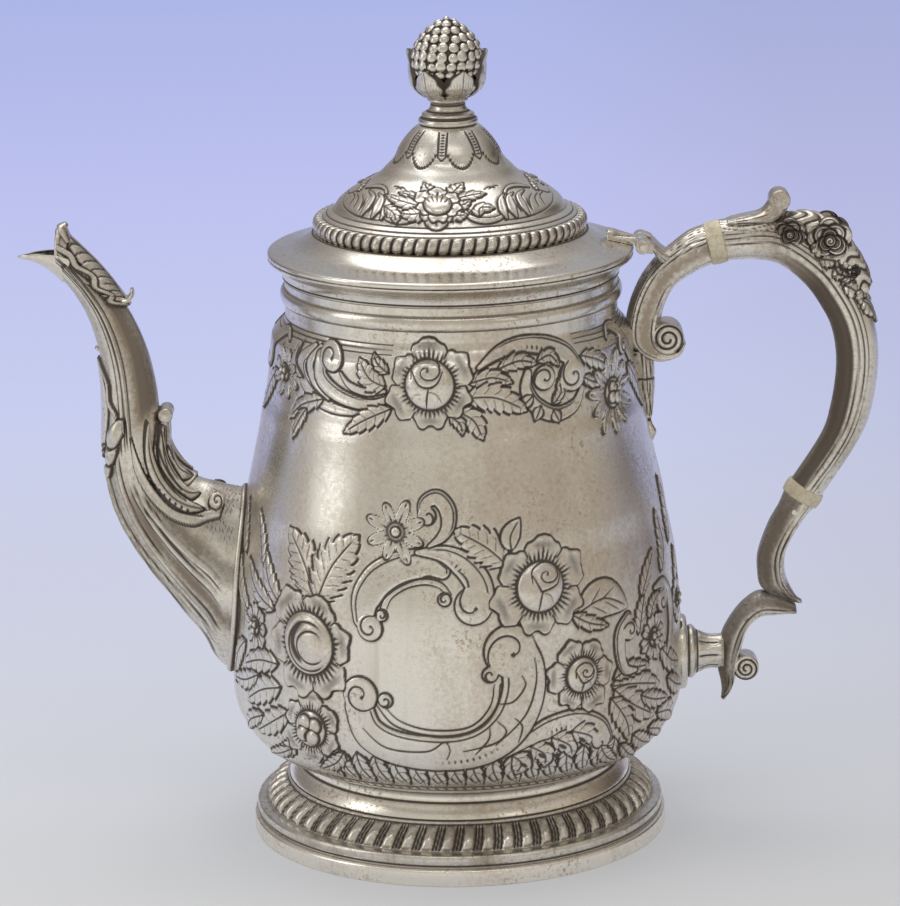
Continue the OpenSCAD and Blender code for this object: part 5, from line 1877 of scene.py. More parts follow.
@dataclass
class Lid(TurnedSkin):
    """Domed lid with its gadroon wire, chased frieze and bezel. Sizes in millimetres."""

    flange: Points = field(
        default_factory=lambda: [
            (49, 179), (54.7, 179), (54.9, 179.4), (54.85, 180.2), (54.2, 180.65), (52, 181.15),
            (49.6, 181.7), (47, 182.35), (45, 183.3), (43.2, 184.5), (42, 185.4), (41.4, 185.95),
            (41.2, 186.05), (38.2, 186.1),
        ]
    )
    dome: Points = field(
        default_factory=lambda: [
            (38.2, 186), (38.2, 190.9), (35.1, 193.4), (33.1, 196), (28.4, 199.4), (22.9, 202.3),
            (19.2, 205.1), (16.4, 208), (15, 211), (13, 214), (10.1, 217), (8.4, 218),
        ]
    )
    wall: float = 0.9
    lobes: int = 72
    cell: float = 0.34
    frieze_s: float = 17.9
    wire_z: float = 188.4

    def __post_init__(self) -> None:
        """Draw the outline of the dome with, as third column, its distance from the edge of the flange."""
        line = np.vstack([[self.dome[0]], smooth_curve(self.dome[1:], 8)])
        run = run_along(line)
        self.outline = np.column_stack([line, self.frieze_s + run])

    def radius_at(self, level: Array | float) -> Array:
        """Radius of the dome at a distance from the edge of the flange, up its surface."""
        return np.interp(level, self.outline[:, 2], self.outline[:, 0])

    def chase(self, work: Chasing) -> None:
        """Chase the frieze of flowers and scrolls and the scalloped panels above it.

        Args:
            work: The surface, laid out flat.
        """
        t, at = self.track, self.spot
        for s, width in ((24.4, 0.42), (26.6, 0.3)):
            work.line(t(*[(a, s) for a in range(-100, 101, 20)]), width, 0.22, 0.9)
        for hand in (-1, 1):
            self.draw_acanthus(work, hand)
        for path, width in (
            (((-11, 39), (-16, 42), (-21, 44.6)), 2.4), (((-13, 36.5), (-25, 38.6), (-37, 40)), 2.3),
            (((-15, 34), (-28, 35.6), (-44, 37.6)), 2.5), (((-12, 32.4), (-19, 30.8), (-27, 31)), 2.5),
            (((-38, 33), (-30, 30.6), (-27, 27.6)), 2.3), (((0, 39), (5, 42), (11, 44.6)), 2.5),
            (((2, 37), (13, 38.8), (25, 39.4)), 2.3), (((0, 34), (7, 34.6), (13, 36.6)), 2),
            (((0, 32), (4, 30.6), (9, 30.8)), 2),
        ):
            work.leaf(t(*path), width, 4, 0.9)
        work.leaf(t((15, 30), (17, 33), (25, 32.6)), 2.1, 3, 1)
        work.flower(at(-7, 30.6), 5.2, 3, 1.2, -90, height=1.2)
        work.flower(at(-7, 35.8), 7.4, 6, 3, 90, height=1.6)
        where, dx, dy, rho = work.boss(at(-7, 35), 4.2, 2.6)
        fan = bell(np.sin(np.arctan2(dx, dy + 4.2) * 13), 0.5) * (dy > -0.4) * ease((4 - rho) * 2)
        work.height[where] -= 0.3 * fan
        work.oxide[where] = np.maximum(work.oxide[where], 0.85 * fan)
        self.draw_panels(work)

    def draw_acanthus(self, work: Chasing, hand: int) -> None:
        """Chase the long scroll on one side of the frieze, with the leaves inside it.

        Args:
            work: The surface, laid out flat.
            hand: -1 for the left side, 1 for the right.
        """
        def t(*points: Pair) -> Points:
            """Find places on this side of the middle flower."""
            return self.track(*[(hand * a - 7 * (hand < 0), s) for a, s in points])

        work.band(
            t(
                (8, 33.6), (10.5, 30), (17, 28.5), (26, 29), (32, 32), (37, 37.4), (45, 40.6), (56, 40.8),
                (66, 38.6),
            ),
            [0.4, 0.9, 1, 0.8, 0.6, 0.7, 0.8, 0.7, 0.4], 0.7,
        )
        for a, reach, width in ((33, 5, 1.9), (39, 7, 2.1), (47, 11, 1.7)):
            work.band(
                t((a - 3.4, 28.6), (a - 3, 32.4), (a, 36.4), (a + reach, 38.2)),
                [0.5, 0.8 * width, 0.7 * width, 0.2], 0.8, 2,
            )
            work.line(t((a + 1, 30), (a + 1.6, 32.6), (a + 4, 34.6)), 0.5, 0.2)
        for a in (52, 58, 64):
            work.line(t((a - 4, 30.4), (a, 34), (a + 8, 36 - 0.1 * (a - 52))), 0.4, 0.2)
        work.line(t((28, 28), (46, 28.2), (66, 30), (84, 33)), 0.36, 0.2)
        for a in (26, 30):
            work.line(t((a, 41.4), (a + 5, 42.4), (a + 10, 41.6 + 0.2 * (a - 26))), 0.34, 0.2)
        work.line(t((68, 38), (74, 34.6), (80, 33.4), (90, 35)), 0.36, 0.2)
        for a, s in ((70, 36), (80, 38), (90, 36)):
            work.leaf(t((a, s), (a + 6, s + 3), (a + 12, s + 5)), 2, 4, 0.8)

    def draw_panels(self, work: Chasing) -> None:
        """Chase the scalloped panels and the beaded strips between them.

        Args:
            work: The surface, laid out flat.
        """
        t = self.track
        for k in range(-4, 5):
            a = -8 + 44 * k
            for off in (-4.8, 4.8):
                work.line(
                    t((a + off * 0.9, 53.2), (a + off * 1.1, 57.5), (a + off * 1.5, 61.8)), 0.42, 0.24, 0.95,
                )
            for row in range(8):
                work.line(t((a - 2.6, 54 + 0.98 * row), (a + 2.6, 54 + 0.98 * row)), 0.34, 0.2, 0.9)
            work.line(t((a - 4, 53.4), (a, 52.4), (a + 4, 53.4)), 0.36, 0.2, 0.9)
            for step in range(13):
                x = -15 + 2.5 * step
                low = 50.3 + 5.2 * (x / 17) ** 2
                work.line(
                    t((a + 22 + x - 1.1, low), (a + 22 + x, low - 0.8), (a + 22 + x + 1.1, low)), 0.34, 0.2,
                    0.95,
                )
                work.line(t((a + 22 + x, low + 0.7), (a + 22 + x * 0.94, low + 1.9)), 0.16, 0.1, 0.4)

    def chased_dome(self) -> None:
        """Turn the dome and chase it, alike at the back."""
        line = self.outline
        profile = even_curve(line[:, :2], self.cell)
        piece = Bench.fine_lathe("lid_dome", profile, 620)
        p = Bench.places(piece)
        angle = np.degrees(front_angle(p))
        folded = fold_back(angle)
        run = np.interp(p[:, 2], line[:, 1], line[:, 2])
        r = np.hypot(p[:, 0], p[:, 1])
        work = Chasing(np.radians(folded) * self.radius_at(run), run)
        self.chase(work)
        sunk = 0.3 * ease((run - 24.4) / 2) * ease((48 - run) / 4)
        height = (0.62 * work.height - sunk) * ease((run - 22.8) / 0.6)
        out = np.interp(run, line[:, 2], np.gradient(line[:, 1], line[:, 2]))
        up = -np.interp(run, line[:, 2], np.gradient(line[:, 0], line[:, 2]))
        p[:, :2] += p[:, :2] / r[:, None] * (out * height)[:, None]
        p[:, 2] += up * height
        Bench.set_places(piece, p)
        Bench.mark(
            piece, np.maximum(work.oxide, 0.85 * bell(run - 22.6, 0.4)),
            np.clip(0.5 + 0.24 * work.height, 0, 1),
        )
        CHASED.dress(piece, Body.LID, 180)
        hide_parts("lid_cover")

    def plain_parts(self) -> None:
        """Turn the flange, the inside of the lid and the bezel."""
        profile = np.vstack([self.flange[:1], smooth_curve(self.flange[1:], 4)])
        piece = Bench.turn("lid_flange", profile, [(41.3, 186)], 256, width=0.4)
        PLAIN.dress(piece, Body.LID, 60)
        dome = [(r - self.wall, z - 0.5) for r, z in self.dome[1:-1]]
        inside = [(49, 179.02), (46, 180.4), (42, 183.6), (37.3, 185.4), *dome, (7, 217.1), (0.001, 217.1)]
        piece = Bench.turn("lid_lining", even_curve(np.array(inside), 1), [], 192)
        Bench.face_inwards()
        PLAIN.dress(piece, Body.LID)
        profile = [(47.6, 173.6), (48.2, 173.5), (48.5, 173.8), (48.6, 174.3), (48.6, 179), (47.6, 179)]
        piece = Bench.turn("lid_bezel", profile, [], 256, True)
        PLAIN.dress(piece, Body.LID, 50)
        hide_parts("lid_bezel")

    def wire(self) -> None:
        """Turn the gadroon wire and shape its slanted lobes."""
        arc, wide = [], 1.35
        for a in np.linspace(-wide, wide, 22):
            rise = 2.3 * math.sin(a) / math.sin(wide)
            arc.append((38.25 + 2.75 * (0.35 + 0.65 * math.cos(a)), self.wire_z + rise))
        profile = [(38.25, 186.1), (40, 186.1), *arc, (39.4, 190.75), (38.25, 190.75)]
        piece = Bench.fine_lathe("lid_gadroon_wire", profile, self.lobes * 14, closed=True)
        p = Bench.places(piece)
        r, z = np.hypot(p[:, 0], p[:, 1]), p[:, 2]
        turn = np.arctan2(z - self.wire_z, r - 38.6)
        outside = (r > 39) & (np.abs(turn) < 1.55)
        beat = (np.degrees(front_angle(p)) / 360 * self.lobes - 0.14 * turn) % 1.0
        lobe = np.sin(np.pi * beat) ** 0.5
        fade = ease((1.5 - np.abs(turn)) / 0.35)
        height = np.where(outside, (lobe - 0.8) * fade, 0)
        oxide = np.where(outside, bell(np.minimum(beat, 1 - beat), 0.14) * (0.35 + 0.65 * fade), 0)
        oxide = np.maximum(oxide, 0.9 * bell(np.abs(turn) - 1.5, 0.2))
        p[:, :2] *= (1 + np.cos(turn) * height / r)[:, None]
        p[:, 2] += np.sin(turn) * height
        Bench.set_places(piece, p)
        Bench.mark(piece, oxide, np.clip(0.5 + height / 3, 0, 1))
        CAST.dress(piece, Body.LID, 70)
        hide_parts("lid_gadroon_wire")

    def build(self) -> None:
        """Make the lid's pieces."""
        self.chased_dome()
        self.plain_parts()
        self.wire()


@dataclass
class Finial:
    """Berry cluster in a leaf cup on a turned stem. Sizes in millimetres."""

    calyx_z: float = 226
    fruit_z: float = 229.5
    fruit_h: float = 20.5
    fruit_r: float = 10.7
    rows: int = 10
    leaves: int = 6

    def stem(self) -> None:
        """Turn the stem."""
        turned = [
            (8.4, 218), (8.85, 218.4), (8.95, 219), (8.7, 219.7), (8, 220), (7.75, 220.3), (7.9, 220.8),
            (7.5, 221.4), (6.4, 221.9), (5.7, 222.6), (5.25, 223.6), (5.2, 224.5), (5.7, 224.8),
            (6.1, 225.3), (5.9, 225.8), (5.5, 226.1), (3, 226.3),
        ]
        creases = [(8.2, 219.9), (7.7, 220.3), (6.2, 222), (5.3, 224), (5.3, 224.8), (8.4, 218)]
        piece = Bench.turn("finial_stem", smooth_curve(turned, 4), creases, 128, width=0.42)
        PLAIN.dress(piece, Body.LID, 70)
        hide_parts("finial_stem")

    def fruit(self) -> None:
        """Turn the cluster and raise its berries."""
        shape = [
            (0, 0.38), (0.08, 0.7), (0.2, 0.91), (0.33, 1), (0.46, 0.99), (0.61, 0.9), (0.76, 0.71),
            (0.88, 0.47), (0.965, 0.22), (1, 0),
        ]
        core = [
            (self.fruit_r * w - 0.55 * (w > 0), self.fruit_z + (self.fruit_h - 0.7) * h)
            for h, w in shape
        ]
        line = smooth_curve(core, 10)
        line[:, 0] = np.maximum(line[:, 0], 0.001)
        profile = even_curve(line, 0.2)
        piece = Bench.fine_lathe("finial_fruit", profile, 330)
        run = run_along(profile)
        p = Bench.places(piece)
        angle = front_angle(p)
        at = np.interp(p[:, 2], profile[:, 1], run)
        best = np.full(len(p), 9.0)
        pitch = run[-1] / (self.rows - 0.4)
        for row in range(self.rows):
            level = min(run[-1], (row + 0.5) * pitch)
            r = float(np.interp(level, run, profile[:, 0]))
            count = max(1, round(FULL_TURN * r / (pitch * 1.06))) if row < self.rows - 1 else 1
            turn = angle / FULL_TURN * count + 0.5 * (row % 2) + 0.37 * row
            berry = np.floor(turn + 0.5)
            uneven = np.sin((berry % count) * 2.4 + row * 1.7)
            across = np.abs(turn - berry + 0.07 * uneven) * FULL_TURN * r / count
            if r <= 0.4:
                across = np.hypot(p[:, 0], p[:, 1])
            size = pitch * (0.64 - 0.012 * row) * (1 + 0.08 * uneven)
            above = at - level - 0.09 * pitch * uneven
            best = np.minimum(best, np.hypot(across * 0.97, above * 0.97) / size)
        height = 1.25 * np.sqrt(np.clip(1 - np.minimum(best, 1) ** 2, 0, 1)) - 0.35
        centre = np.array([0, 0, self.fruit_z + 0.42 * self.fruit_h])
        away = unit(p - centre)
        Bench.set_places(piece, p + away * height[:, None])
        Bench.mark(piece, ease((best - 0.72) / 0.24) * 0.95, np.clip(0.62 + height / 4, 0, 1))
        CAST.dress(piece, Body.LID, 75)
        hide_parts("finial_fruit")

    def calyx(self) -> None:
        """Turn the leaf cup and model its leaves."""
        cup = [(5, 0), (6.2, 0.1), (7.6, 0.9), (9.5, 2.7), (10.5, 5), (10.8, 8), (10.8, 11), (10.7, 14.5)]
        profile = even_curve(smooth_curve([(r, self.calyx_z + rise) for r, rise in cup], 10), 0.2)
        piece = Bench.fine_lathe("finial_calyx", profile, 384)
        run = run_along(profile)
        p = Bench.places(piece)
        r = np.hypot(p[:, 0], p[:, 1])
        t = np.interp(p[:, 2], profile[:, 1], run) / run[-1]
        angle = front_angle(p) + 0.1
        t = t / np.where(np.abs(np.sin(angle)) > 0.86, 1.0, 0.7)
        turn = (angle / FULL_TURN * self.leaves) % 1.0 - 0.5
        across = turn * FULL_TURN * r / self.leaves
        tooth = 0.5 + 0.5 * np.cos(t * 19)
        taper = np.clip(1.03 - np.clip((t - 0.5) / 0.5, 0, 1) ** 1.7, 0, 1)
        half = 0.49 * FULL_TURN * r / self.leaves * taper * (1 - 0.16 * tooth * (t > 0.3))
        half = np.maximum(half, 0.02)
        x = np.where(t > 1, 3, np.clip(np.abs(across) / half, 0, 3))
        inside = ease((1.15 - x) / 0.2)
        side_veins = bell(np.sin(across * 2.9 / (0.4 + 0.6 * t)), 0.35) * (x < 0.9) * ease((0.85 - t) * 4)
        vein = np.maximum(bell(across, 0.22), 0.8 * side_veins)
        curl = 0.6 * ease((t - 0.75) / 0.25)
        leaf = 0.35 + 0.55 * np.sqrt(np.clip(1 - x**2, 0, 1)) + curl - 0.18 * vein
        height = inside * leaf - 0.75 * (1 - inside) * ease((t - 0.1) * 3)
        p[:, :2] *= (1 + height / r)[:, None]
        Bench.set_places(piece, p)
        oxide = np.maximum(bell(x - 1.12, 0.22), 0.55 * vein) + 0.7 * (1 - inside)
        Bench.mark(piece, np.clip(oxide, 0, 0.95) * ease(t * 6), np.clip(0.6 + height / 3, 0, 1))
        gone = (x > 1.45) & (t > 0.62)
        Bench.trim(piece, ~gone)
        CAST.dress(piece, Body.LID, 75)
        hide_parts("finial_calyx")

    def build(self) -> None:
        """Make the finial's pieces."""
        self.stem()
        self.fruit()
        self.calyx()


# ---------------------------------------------------------------- spout


def ridges(
    share: Array, angle: Array, radius: Array, lines: list[tuple[Points, float, float]],
) -> tuple[Array, Array]:
    """Raise ridges along a bar.

    Args:
        share: Share along the bar.
        angle: Angle round the bar, in degrees.
        radius: Mean radius of the bar there.
        lines: For each ridge its share and angle at several places, its half width and its height.

    Returns:
        Height and oxide.
    """
    height, oxide = np.zeros_like(share), np.zeros_like(share)
    for path, width, size in lines:
        at = np.array(path, float)
        order = np.argsort(at[:, 0])
        turn = np.interp(share, at[order, 0], at[order, 1])
        far = (np.abs(angle) - turn) * math.pi / 180 * radius
        ends = ease((share - at[:, 0].min() + 0.02) / 0.04) * ease((at[:, 0].max() + 0.02 - share) / 0.04)
        height += size * bell(far, width) * ends
        oxide = np.maximum(oxide, 0.75 * bell(np.abs(far) - 1.7 * width, 0.55 * width) * ends)
    return height, oxide


@dataclass
class Spout:
    """Cast spout with its crest, heel leaf, under leaf and joint bead. Sizes in millimetres."""

    foot_x: float = 69.2
    foot_z: float = 48
    sections: list[Station] = field(
        default_factory=lambda: [
            (-9, -1, -12, 58, 17.5), (2.4, 3.5, -2.6, 59.4, 16.8), (7.3, 12.2, 2.8, 60.8, 15.2),
            (13.2, 20.2, 8.4, 62.6, 13.4), (19.7, 28.8, 13.2, 65.8, 12), (25.6, 37, 16.4, 70, 10.8),
            (30.9, 46, 18.2, 74.2, 9.8), (34.5, 55, 19.1, 78.4, 9.1), (36.4, 65.4, 19.6, 83.6, 8.6),
            (36.6, 75.4, 20, 89.2, 8.1), (36.2, 86.2, 20.9, 95.2, 7.7), (36.6, 97, 22.3, 101.6, 7.2),
            (38.2, 106.6, 24.5, 108, 6.7), (41.3, 115.4, 27.7, 114.8, 6.3), (45.4, 122.2, 31.7, 121.2, 5.9),
            (48.3, 125.3, 36.4, 127.6, 5.4), (49.4, 126.4, 42, 133.6, 4.9), (49.6, 126.8, 48, 139.4, 4.2),
        ]
    )
    beak_low: Points = field(
        default_factory=lambda: [
            (-116.4, 171.9), (-118.6, 174.3), (-121.6, 176.7), (-125, 178.5), (-127.8, 179.3),
            (-129.6, 179.7),
        ]
    )
    beak_high: Points = field(
        default_factory=lambda: [
            (-113.6, 179.4), (-117, 180.6), (-120.6, 180.9), (-124.4, 180.7), (-127.4, 180.2),
            (-129.6, 179.8),
        ]
    )
    beak_half: tuple[float, ...] = (4.6, 4.6, 3.9, 2.7, 1.4, 0.2)
    wall: float = 1.0
    joint_gap: float = 0.35
    joint_r: float = 1.15

    def bar(self) -> Bar:
        """Bar along the spout, whose second edge is its upper one."""
        x, z = -self.foot_x, self.foot_z
        return Bar([(x - a, z + b, x - c, z + d, w) for a, b, c, d, w in self.sections], 0.45)

    def form(self, share: Array, angle: Array, radius: Array) -> tuple[Array, Array]:
        """Relief of the tube: ridges, flutes and a stippled root.

        Args:
            share: Share along the bar.
            angle: Angle round the bar, in degrees.
            radius: Mean radius of the bar there.

        Returns:
            Height and oxide.
        """
        height, oxide = ridges(
            share, angle, radius,
            [
                ([(0.1, 136), (0.25, 140), (0.42, 152), (0.5, 156)], 0.65, 1.2),
                ([(0.1, 124), (0.25, 124), (0.42, 122), (0.5, 122)], 0.55, 1.1),
                ([(0.1, 101), (0.3, 101), (0.42, 104)], 0.55, 1),
                ([(0.1, 90), (0.3, 92), (0.38, 97)], 0.6, 1),
                ([(0.1, 160), (0.3, 165), (0.45, 172)], 0.5, 0.6),
                ([(0.5, 92), (0.6, 96), (0.75, 99), (0.9, 99), (1, 96)], 0.5, 0.9),
                ([(0.5, 106), (0.6, 108), (0.75, 110), (0.9, 109), (1, 104)], 0.45, 0.35),
            ],
        )
        a = np.abs(angle)
        flute = 0.62 * (bell(a - 112, 9) + 0.8 * bell(a - 78, 10)) * ease((0.46 - share) / 0.1)
        side = 0.75 * bell(a - 58, 26) * ease((share - 0.5) / 0.06)
        height -= flute + side
        spots = np.sin(share * 830 + 2 * np.sin(angle * 0.4)) * np.sin(angle * 1.9 + share * 300)
        root = ease((0.2 - share) / 0.05) * ease((72 - a) / 16)
        height += 0.14 * spots * root
        oxide = np.maximum.reduce([oxide, 0.62 * ease(-spots * 1.6 - 0.4) * root, 0.3 * root])
        hollow = np.maximum(bell(a - 112, 8), bell(a - 80, 11)) * ease((0.44 - share) / 0.1)
        brown = (
            ease((74 - a) / 14) * ease((a - 14) / 12) * ease((share - 0.5) / 0.05)
            * ease((0.9 - share) / 0.06)
        )
        under = ease((a - 116) / 20) * ease((share - 0.3) / 0.2)
        oxide = np.maximum.reduce([oxide, 0.3 * hollow, 0.34 * brown, 0.26 * under])
        rim = bell(share - 0.993, 0.012)
        height += 0.5 * rim * ease((125 - a) / 10)
        oxide = np.maximum(oxide, 0.8 * bell(share - 0.968, 0.007) * ease((125 - a) / 12))
        return height, oxide

    def beak(self) -> Piece:
        """Open channel that pours.

        Returns:
            The piece, still to be settled.
        """
        low, high = smooth_curve(self.beak_low, 8), smooth_curve(self.beak_high, 8)
        half = np.interp(np.linspace(0, 1, len(low)), np.linspace(0, 1, len(self.beak_half)), self.beak_half)
        turn = np.radians(np.linspace(-90, 90, 41))
        deep = np.cos(turn) ** 0.8
        x = high[:, :1] + (low[:, :1] - high[:, :1]) * deep
        z = high[:, 1:] + (low[:, 1:] - high[:, 1:]) * deep
        y = half[:, None] * np.sin(turn)[None]
        places = np.stack([x, y, z], -1)
        obj = Bench.sheet("spout_beak", places, 0.0, 0.62, False)
        wall = obj.modifiers.new("wall", "SOLIDIFY")
        wall.thickness, wall.offset = 0.8 * MM, 0
        bpy.ops.object.modifier_apply(modifier="wall")
        return obj

    def joint_bead(self) -> Piece:
        """Bead where the spout meets the body.

        Returns:
            The piece, still to be settled.
        """
        bar, body = self.bar(), PotBody()
        rows = bar.rows()
        angles = np.linspace(-180, 180, 181)
        p, _ = bar.skin(rows, angles)
        away = np.hypot(p[..., 0], p[..., 1]) - body.radius_at(p[..., 2])
        path = []
        for j in range(len(angles) - 1):
            column = away[: len(rows) // 2, j]
            i = int(np.nonzero(column < self.joint_gap)[0].max(initial=0))
            t = (self.joint_gap - column[i]) / max(column[i + 1] - column[i], 1e-6)
            path.append(p[i, j] + (p[i + 1, j] - p[i, j]) * np.clip(t, 0, 1))
        path = np.array(path + path[:1])
        ahead = np.roll(path[:-1], -1, 0) - np.roll(path[:-1], 1, 0)
        ahead = unit(np.vstack([ahead, ahead[:1]]))
        out = unit(path * (1, 1, 0))
        side = unit(np.cross(ahead, out))
        turn = np.linspace(0, FULL_TURN, 19)
        round_it = side[:, None] * np.cos(turn)[:, None] + 1.1 * out[:, None] * np.sin(turn)[:, None]
        ring = path[:, None] + self.joint_r * round_it
        oxide = np.repeat(0.8 * bell(np.sin(turn) + 0.25, 0.5)[None], len(path), 0)
        return Bench.sheet("spout_joint_bead", ring, oxide, 0.62 - 0.3 * oxide)

    def mouth_bead(self) -> Piece:
        """Bead along the edge of the hood, thinner towards the beak.

        Returns:
            The piece, still to be joined.
        """
        bar = self.bar()
        p, _ = bar.skin(bar.rows(), np.linspace(-118, 118, 121))
        path = p[-1]
        ahead = unit(np.gradient(path, axis=0))
        along = unit(p[-1] - p[-4])
        side = np.cross(ahead, along)
        radius = 1.1 * np.clip(np.sin(np.linspace(0, math.pi, len(path))), 0.0005, 1) ** 0.4
        turn = np.linspace(0, FULL_TURN, 17)
        round_it = side[:, None] * np.cos(turn)[:, None] + along[:, None] * np.sin(turn)[:, None]
        return Bench.sheet("mouth_bead", path[:, None] + radius[:, None, None] * round_it, 0.0, 0.62)

    @staticmethod
    def draw_heel(work: Chasing, place: PlaceFinder) -> None:
        """Chase the heel leaf: lobes, veins and its spiral root.

        Args:
            work: The surface, laid out flat.
            place: Finds places on it from their share along and their angle.
        """
        on = mirrored(place, 1)
        work.leaf(on((0.24, 0), (0.45, 0), (0.65, 0), (0.88, 0)), 13, 0, 0.8, False)
        for side in (-1, 1):
            p = mirrored(place, side)
            work.band(
                p((0.07, 44), (0.14, 50), (0.25, 62), (0.5, 76), (0.72, 84), (0.92, 88)),
                [1.5, 2, 2.2, 2, 1.6, 0.3], 1.5, 0.7,
            )
            work.leaf(p((0.28, 12), (0.38, 24), (0.5, 24), (0.66, 10)), 2.3, 0, 1.8)
            work.leaf(p((0.2, 30), (0.32, 42), (0.55, 42), (0.82, 26)), 2.5, 0, 2)
            work.leaf(p((0.16, 45), (0.4, 58), (0.7, 62), (0.93, 56)), 2.4, 0, 1.9)
            work.line(p((0.16, 52), (0.34, 62), (0.6, 71), (0.9, 76)), 0.5, 0.4)
            for k in range(11):
                t = 0.22 + 0.05 * k
                work.line(p((t, 53 + 44 * (t - 0.22)), (t + 0.012, 55 + 44 * (t - 0.22))), 0.5, 0.3)
            for k in range(5):
                work.line(
                    p((0.3 + 0.05 * k, 50 - 6 * k), (0.55 + 0.03 * k, 54 - 9 * k), (0.86, 50 - 10 * k)), 0.4,
                    0.35, 0.9,
                )
            work.volute(place(0.085, side * 35), 3.2, 250 if side > 0 else 110, -side, 2.1, 1.2)
            work.line(p((0.11, 27), (0.17, 25), (0.25, 30)), 0.45, 0.4)
        work.band(on((0.3, 0), (0.45, 0), (0.65, 0), (0.86, 0)), [0.6, 1.8, 2.6, 3], 2.2, 0.55)

    @staticmethod
    def draw_under(work: Chasing, place: PlaceFinder) -> None:
        """Chase the under leaf and the knot below it.

        Args:
            work: The surface, laid out flat.
            place: Finds places on it from their share along and their angle.
        """
        on = mirrored(place, 1)
        work.leaf(on((0.2, 0), (0.5, 0), (0.98, 0)), 5.5, 0, 0.9, False)
        for side in (-1, 1):
            p = mirrored(place, side)
            work.band(
                p((0.4, 66), (0.5, 60), (0.62, 44), (0.78, 42), (0.97, 14)), [0.5, 0.7, 0.7, 0.6, 0.5], 1.4,
            )
            work.boss(place(0.1, side * 34), 2, 1.5, 0.8)
            work.boss(place(0.2, side * 50), 2.9, 2.1, 0.9)
            work.boss(place(0.33, side * 63), 3.6, 2.5, 1)
            for k in range(3):
                work.line(p((0.2 + 0.035 * k, 4), (0.24 + 0.035 * k, 20), (0.2 + 0.035 * k, 40)), 0.4, 0.4)
        work.line(on((0.02, 0), (0.5, 0), (0.96, 0)), 0.4, 0.3)

    @staticmethod
    def draw_crest(work: Chasing, place: PlaceFinder) -> None:
        """Chase the crest leaf on the hood.

        Args:
            work: The surface, laid out flat.
            place: Finds places on it from their share along and their angle.
        """
        on = mirrored(place, 1)
        work.leaf(on((0.02, 0), (0.3, 0), (0.65, 0), (0.99, 0)), 8.6, 4, 1.2, False)
        for side in (-1, 1):
            p = mirrored(place, side)
            work.band(
                p(
                    (0.03, 20), (0.12, 62), (0.22, 48), (0.36, 72), (0.52, 58), (0.7, 72), (0.84, 62),
                    (0.99, 70),
                ),
                [0.7, 0.8, 0.8, 0.8, 0.9], 1.9,
            )
            for k in range(8):
                work.line(p((0.1 + 0.1 * k, 4), (0.17 + 0.1 * k, 26), (0.2 + 0.1 * k, 50)), 0.36, 0.35, 0.85)
        work.band(on((0, 0), (0.5, 0), (0.97, 0)), [1.4, 0.8, 0.9], 1.8)

    @staticmethod
    def fan_form(share: Array, angle: Array, radius: Array) -> tuple[Array, Array]:
        """Flutes that open towards the rolled tip."""
        beat = bell(np.sin(np.abs(angle) * 0.2), 0.35) * ease((0.92 - share) / 0.1)
        return -0.3 * beat, 0.7 * beat

    def leaves(self) -> None:
        """Model the three leaves that lie on the spout."""
        bar = self.bar()
        path = [(-89, 112), (-87.8, 119), (-87.4, 125), (-87.2, 130.4)]
        stations = Bar.along_path(path, [2.4, 3.4, 3.8, 3], [2.8, 3.8, 4.3, 4.8])
        fan = Bar(stations, 0.32, 3, (0.3, 0.3)).cast("heel_curl", self.fan_form)
        curl = Bench.join([fan, Roll(2.2, 4.9, 90, -1, 0).cast("roll", (-86.9, 130.9))], "heel_curl")
        heel = bar.applied("spout_heel_leaf", (0.1, 0.55), 0, 100, self.draw_heel, 0.4, 1.2)
        under = bar.applied("spout_under_leaf", (0.47, 0.72), 180, 78, self.draw_under, 0.2)
        path = [(-103.4, 144), (-104.6, 148), (-105.9, 150.6), (-107.1, 151.4)]
        stations = Bar.along_path(path, [2, 1.8, 1.6, 1.2], [3, 3, 2.6, 2])
        tip = Bar(stations, 0.3, 2.4, (0.3, 0.6)).cast("under_curl")
        crest = bar.applied("spout_crest_leaf", (0.83, 1), 0, 84, self.draw_crest, 0.3)
        path = [(-101.6, 167.6), (-99.4, 166.2), (-97.4, 166.2), (-96, 167.6), (-95.9, 169)]
        stations = Bar.along_path(path, [1.8, 1.9, 1.8, 1.6, 1.2], [3.4, 3.8, 3.8, 3.4, 2.8])
        roll = Bar(stations, 0.3, 2.4, (0.3, 0.6)).cast("crest_curl")
        path = [(-114.4, 184.6), (-115.6, 187), (-116.4, 188.8), (-115.2, 189.2)]
        stations = Bar.along_path(path, [2.2, 2.8, 2.8, 2], [4.2, 3.9, 3.2, 2])
        lip = Bar(stations, 0.3, 2.2, (0.4, 0.9)).cast("crest_lip")
        groups = (
            ([heel, curl], "spout_heel_leaf"), ([under, tip], "spout_under_leaf"),
            ([crest, roll, lip, self.mouth_bead()], "spout_tip_leaf"),
        )
        for pieces, node in groups:
            piece = Bench.join(pieces, pieces[0].name)
            CAST.dress(piece, Body.POT, 70)
            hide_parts(node)

    def build(self) -> None:
        """Make the spout's pieces."""
        tube = self.bar().cast("spout_tube", self.form)
        CAST.dress(tube, Body.POT, 180)
        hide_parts("spout")
        rows = np.array(self.bar().stations)
        inwards = unit(rows[:, 2:4] - rows[:, 0:2]) * self.wall
        inner = np.hstack([rows[:, 0:2] + inwards, rows[:, 2:4] - inwards, rows[:, 4:] - self.wall])
        bore = Bar(inner, 0.9).cast("spout_bore")
        Bench.face_inwards()
        PLAIN.dress(bore, Body.POT)
        beak = self.beak()
        PLAIN.dress(beak, Body.POT, 50)
        bead = self.joint_bead()
        PLAIN.dress(bead, Body.POT, 60)
        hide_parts("spout_joint_bead")
        self.leaves()


# ---------------------------------------------------------------- handle


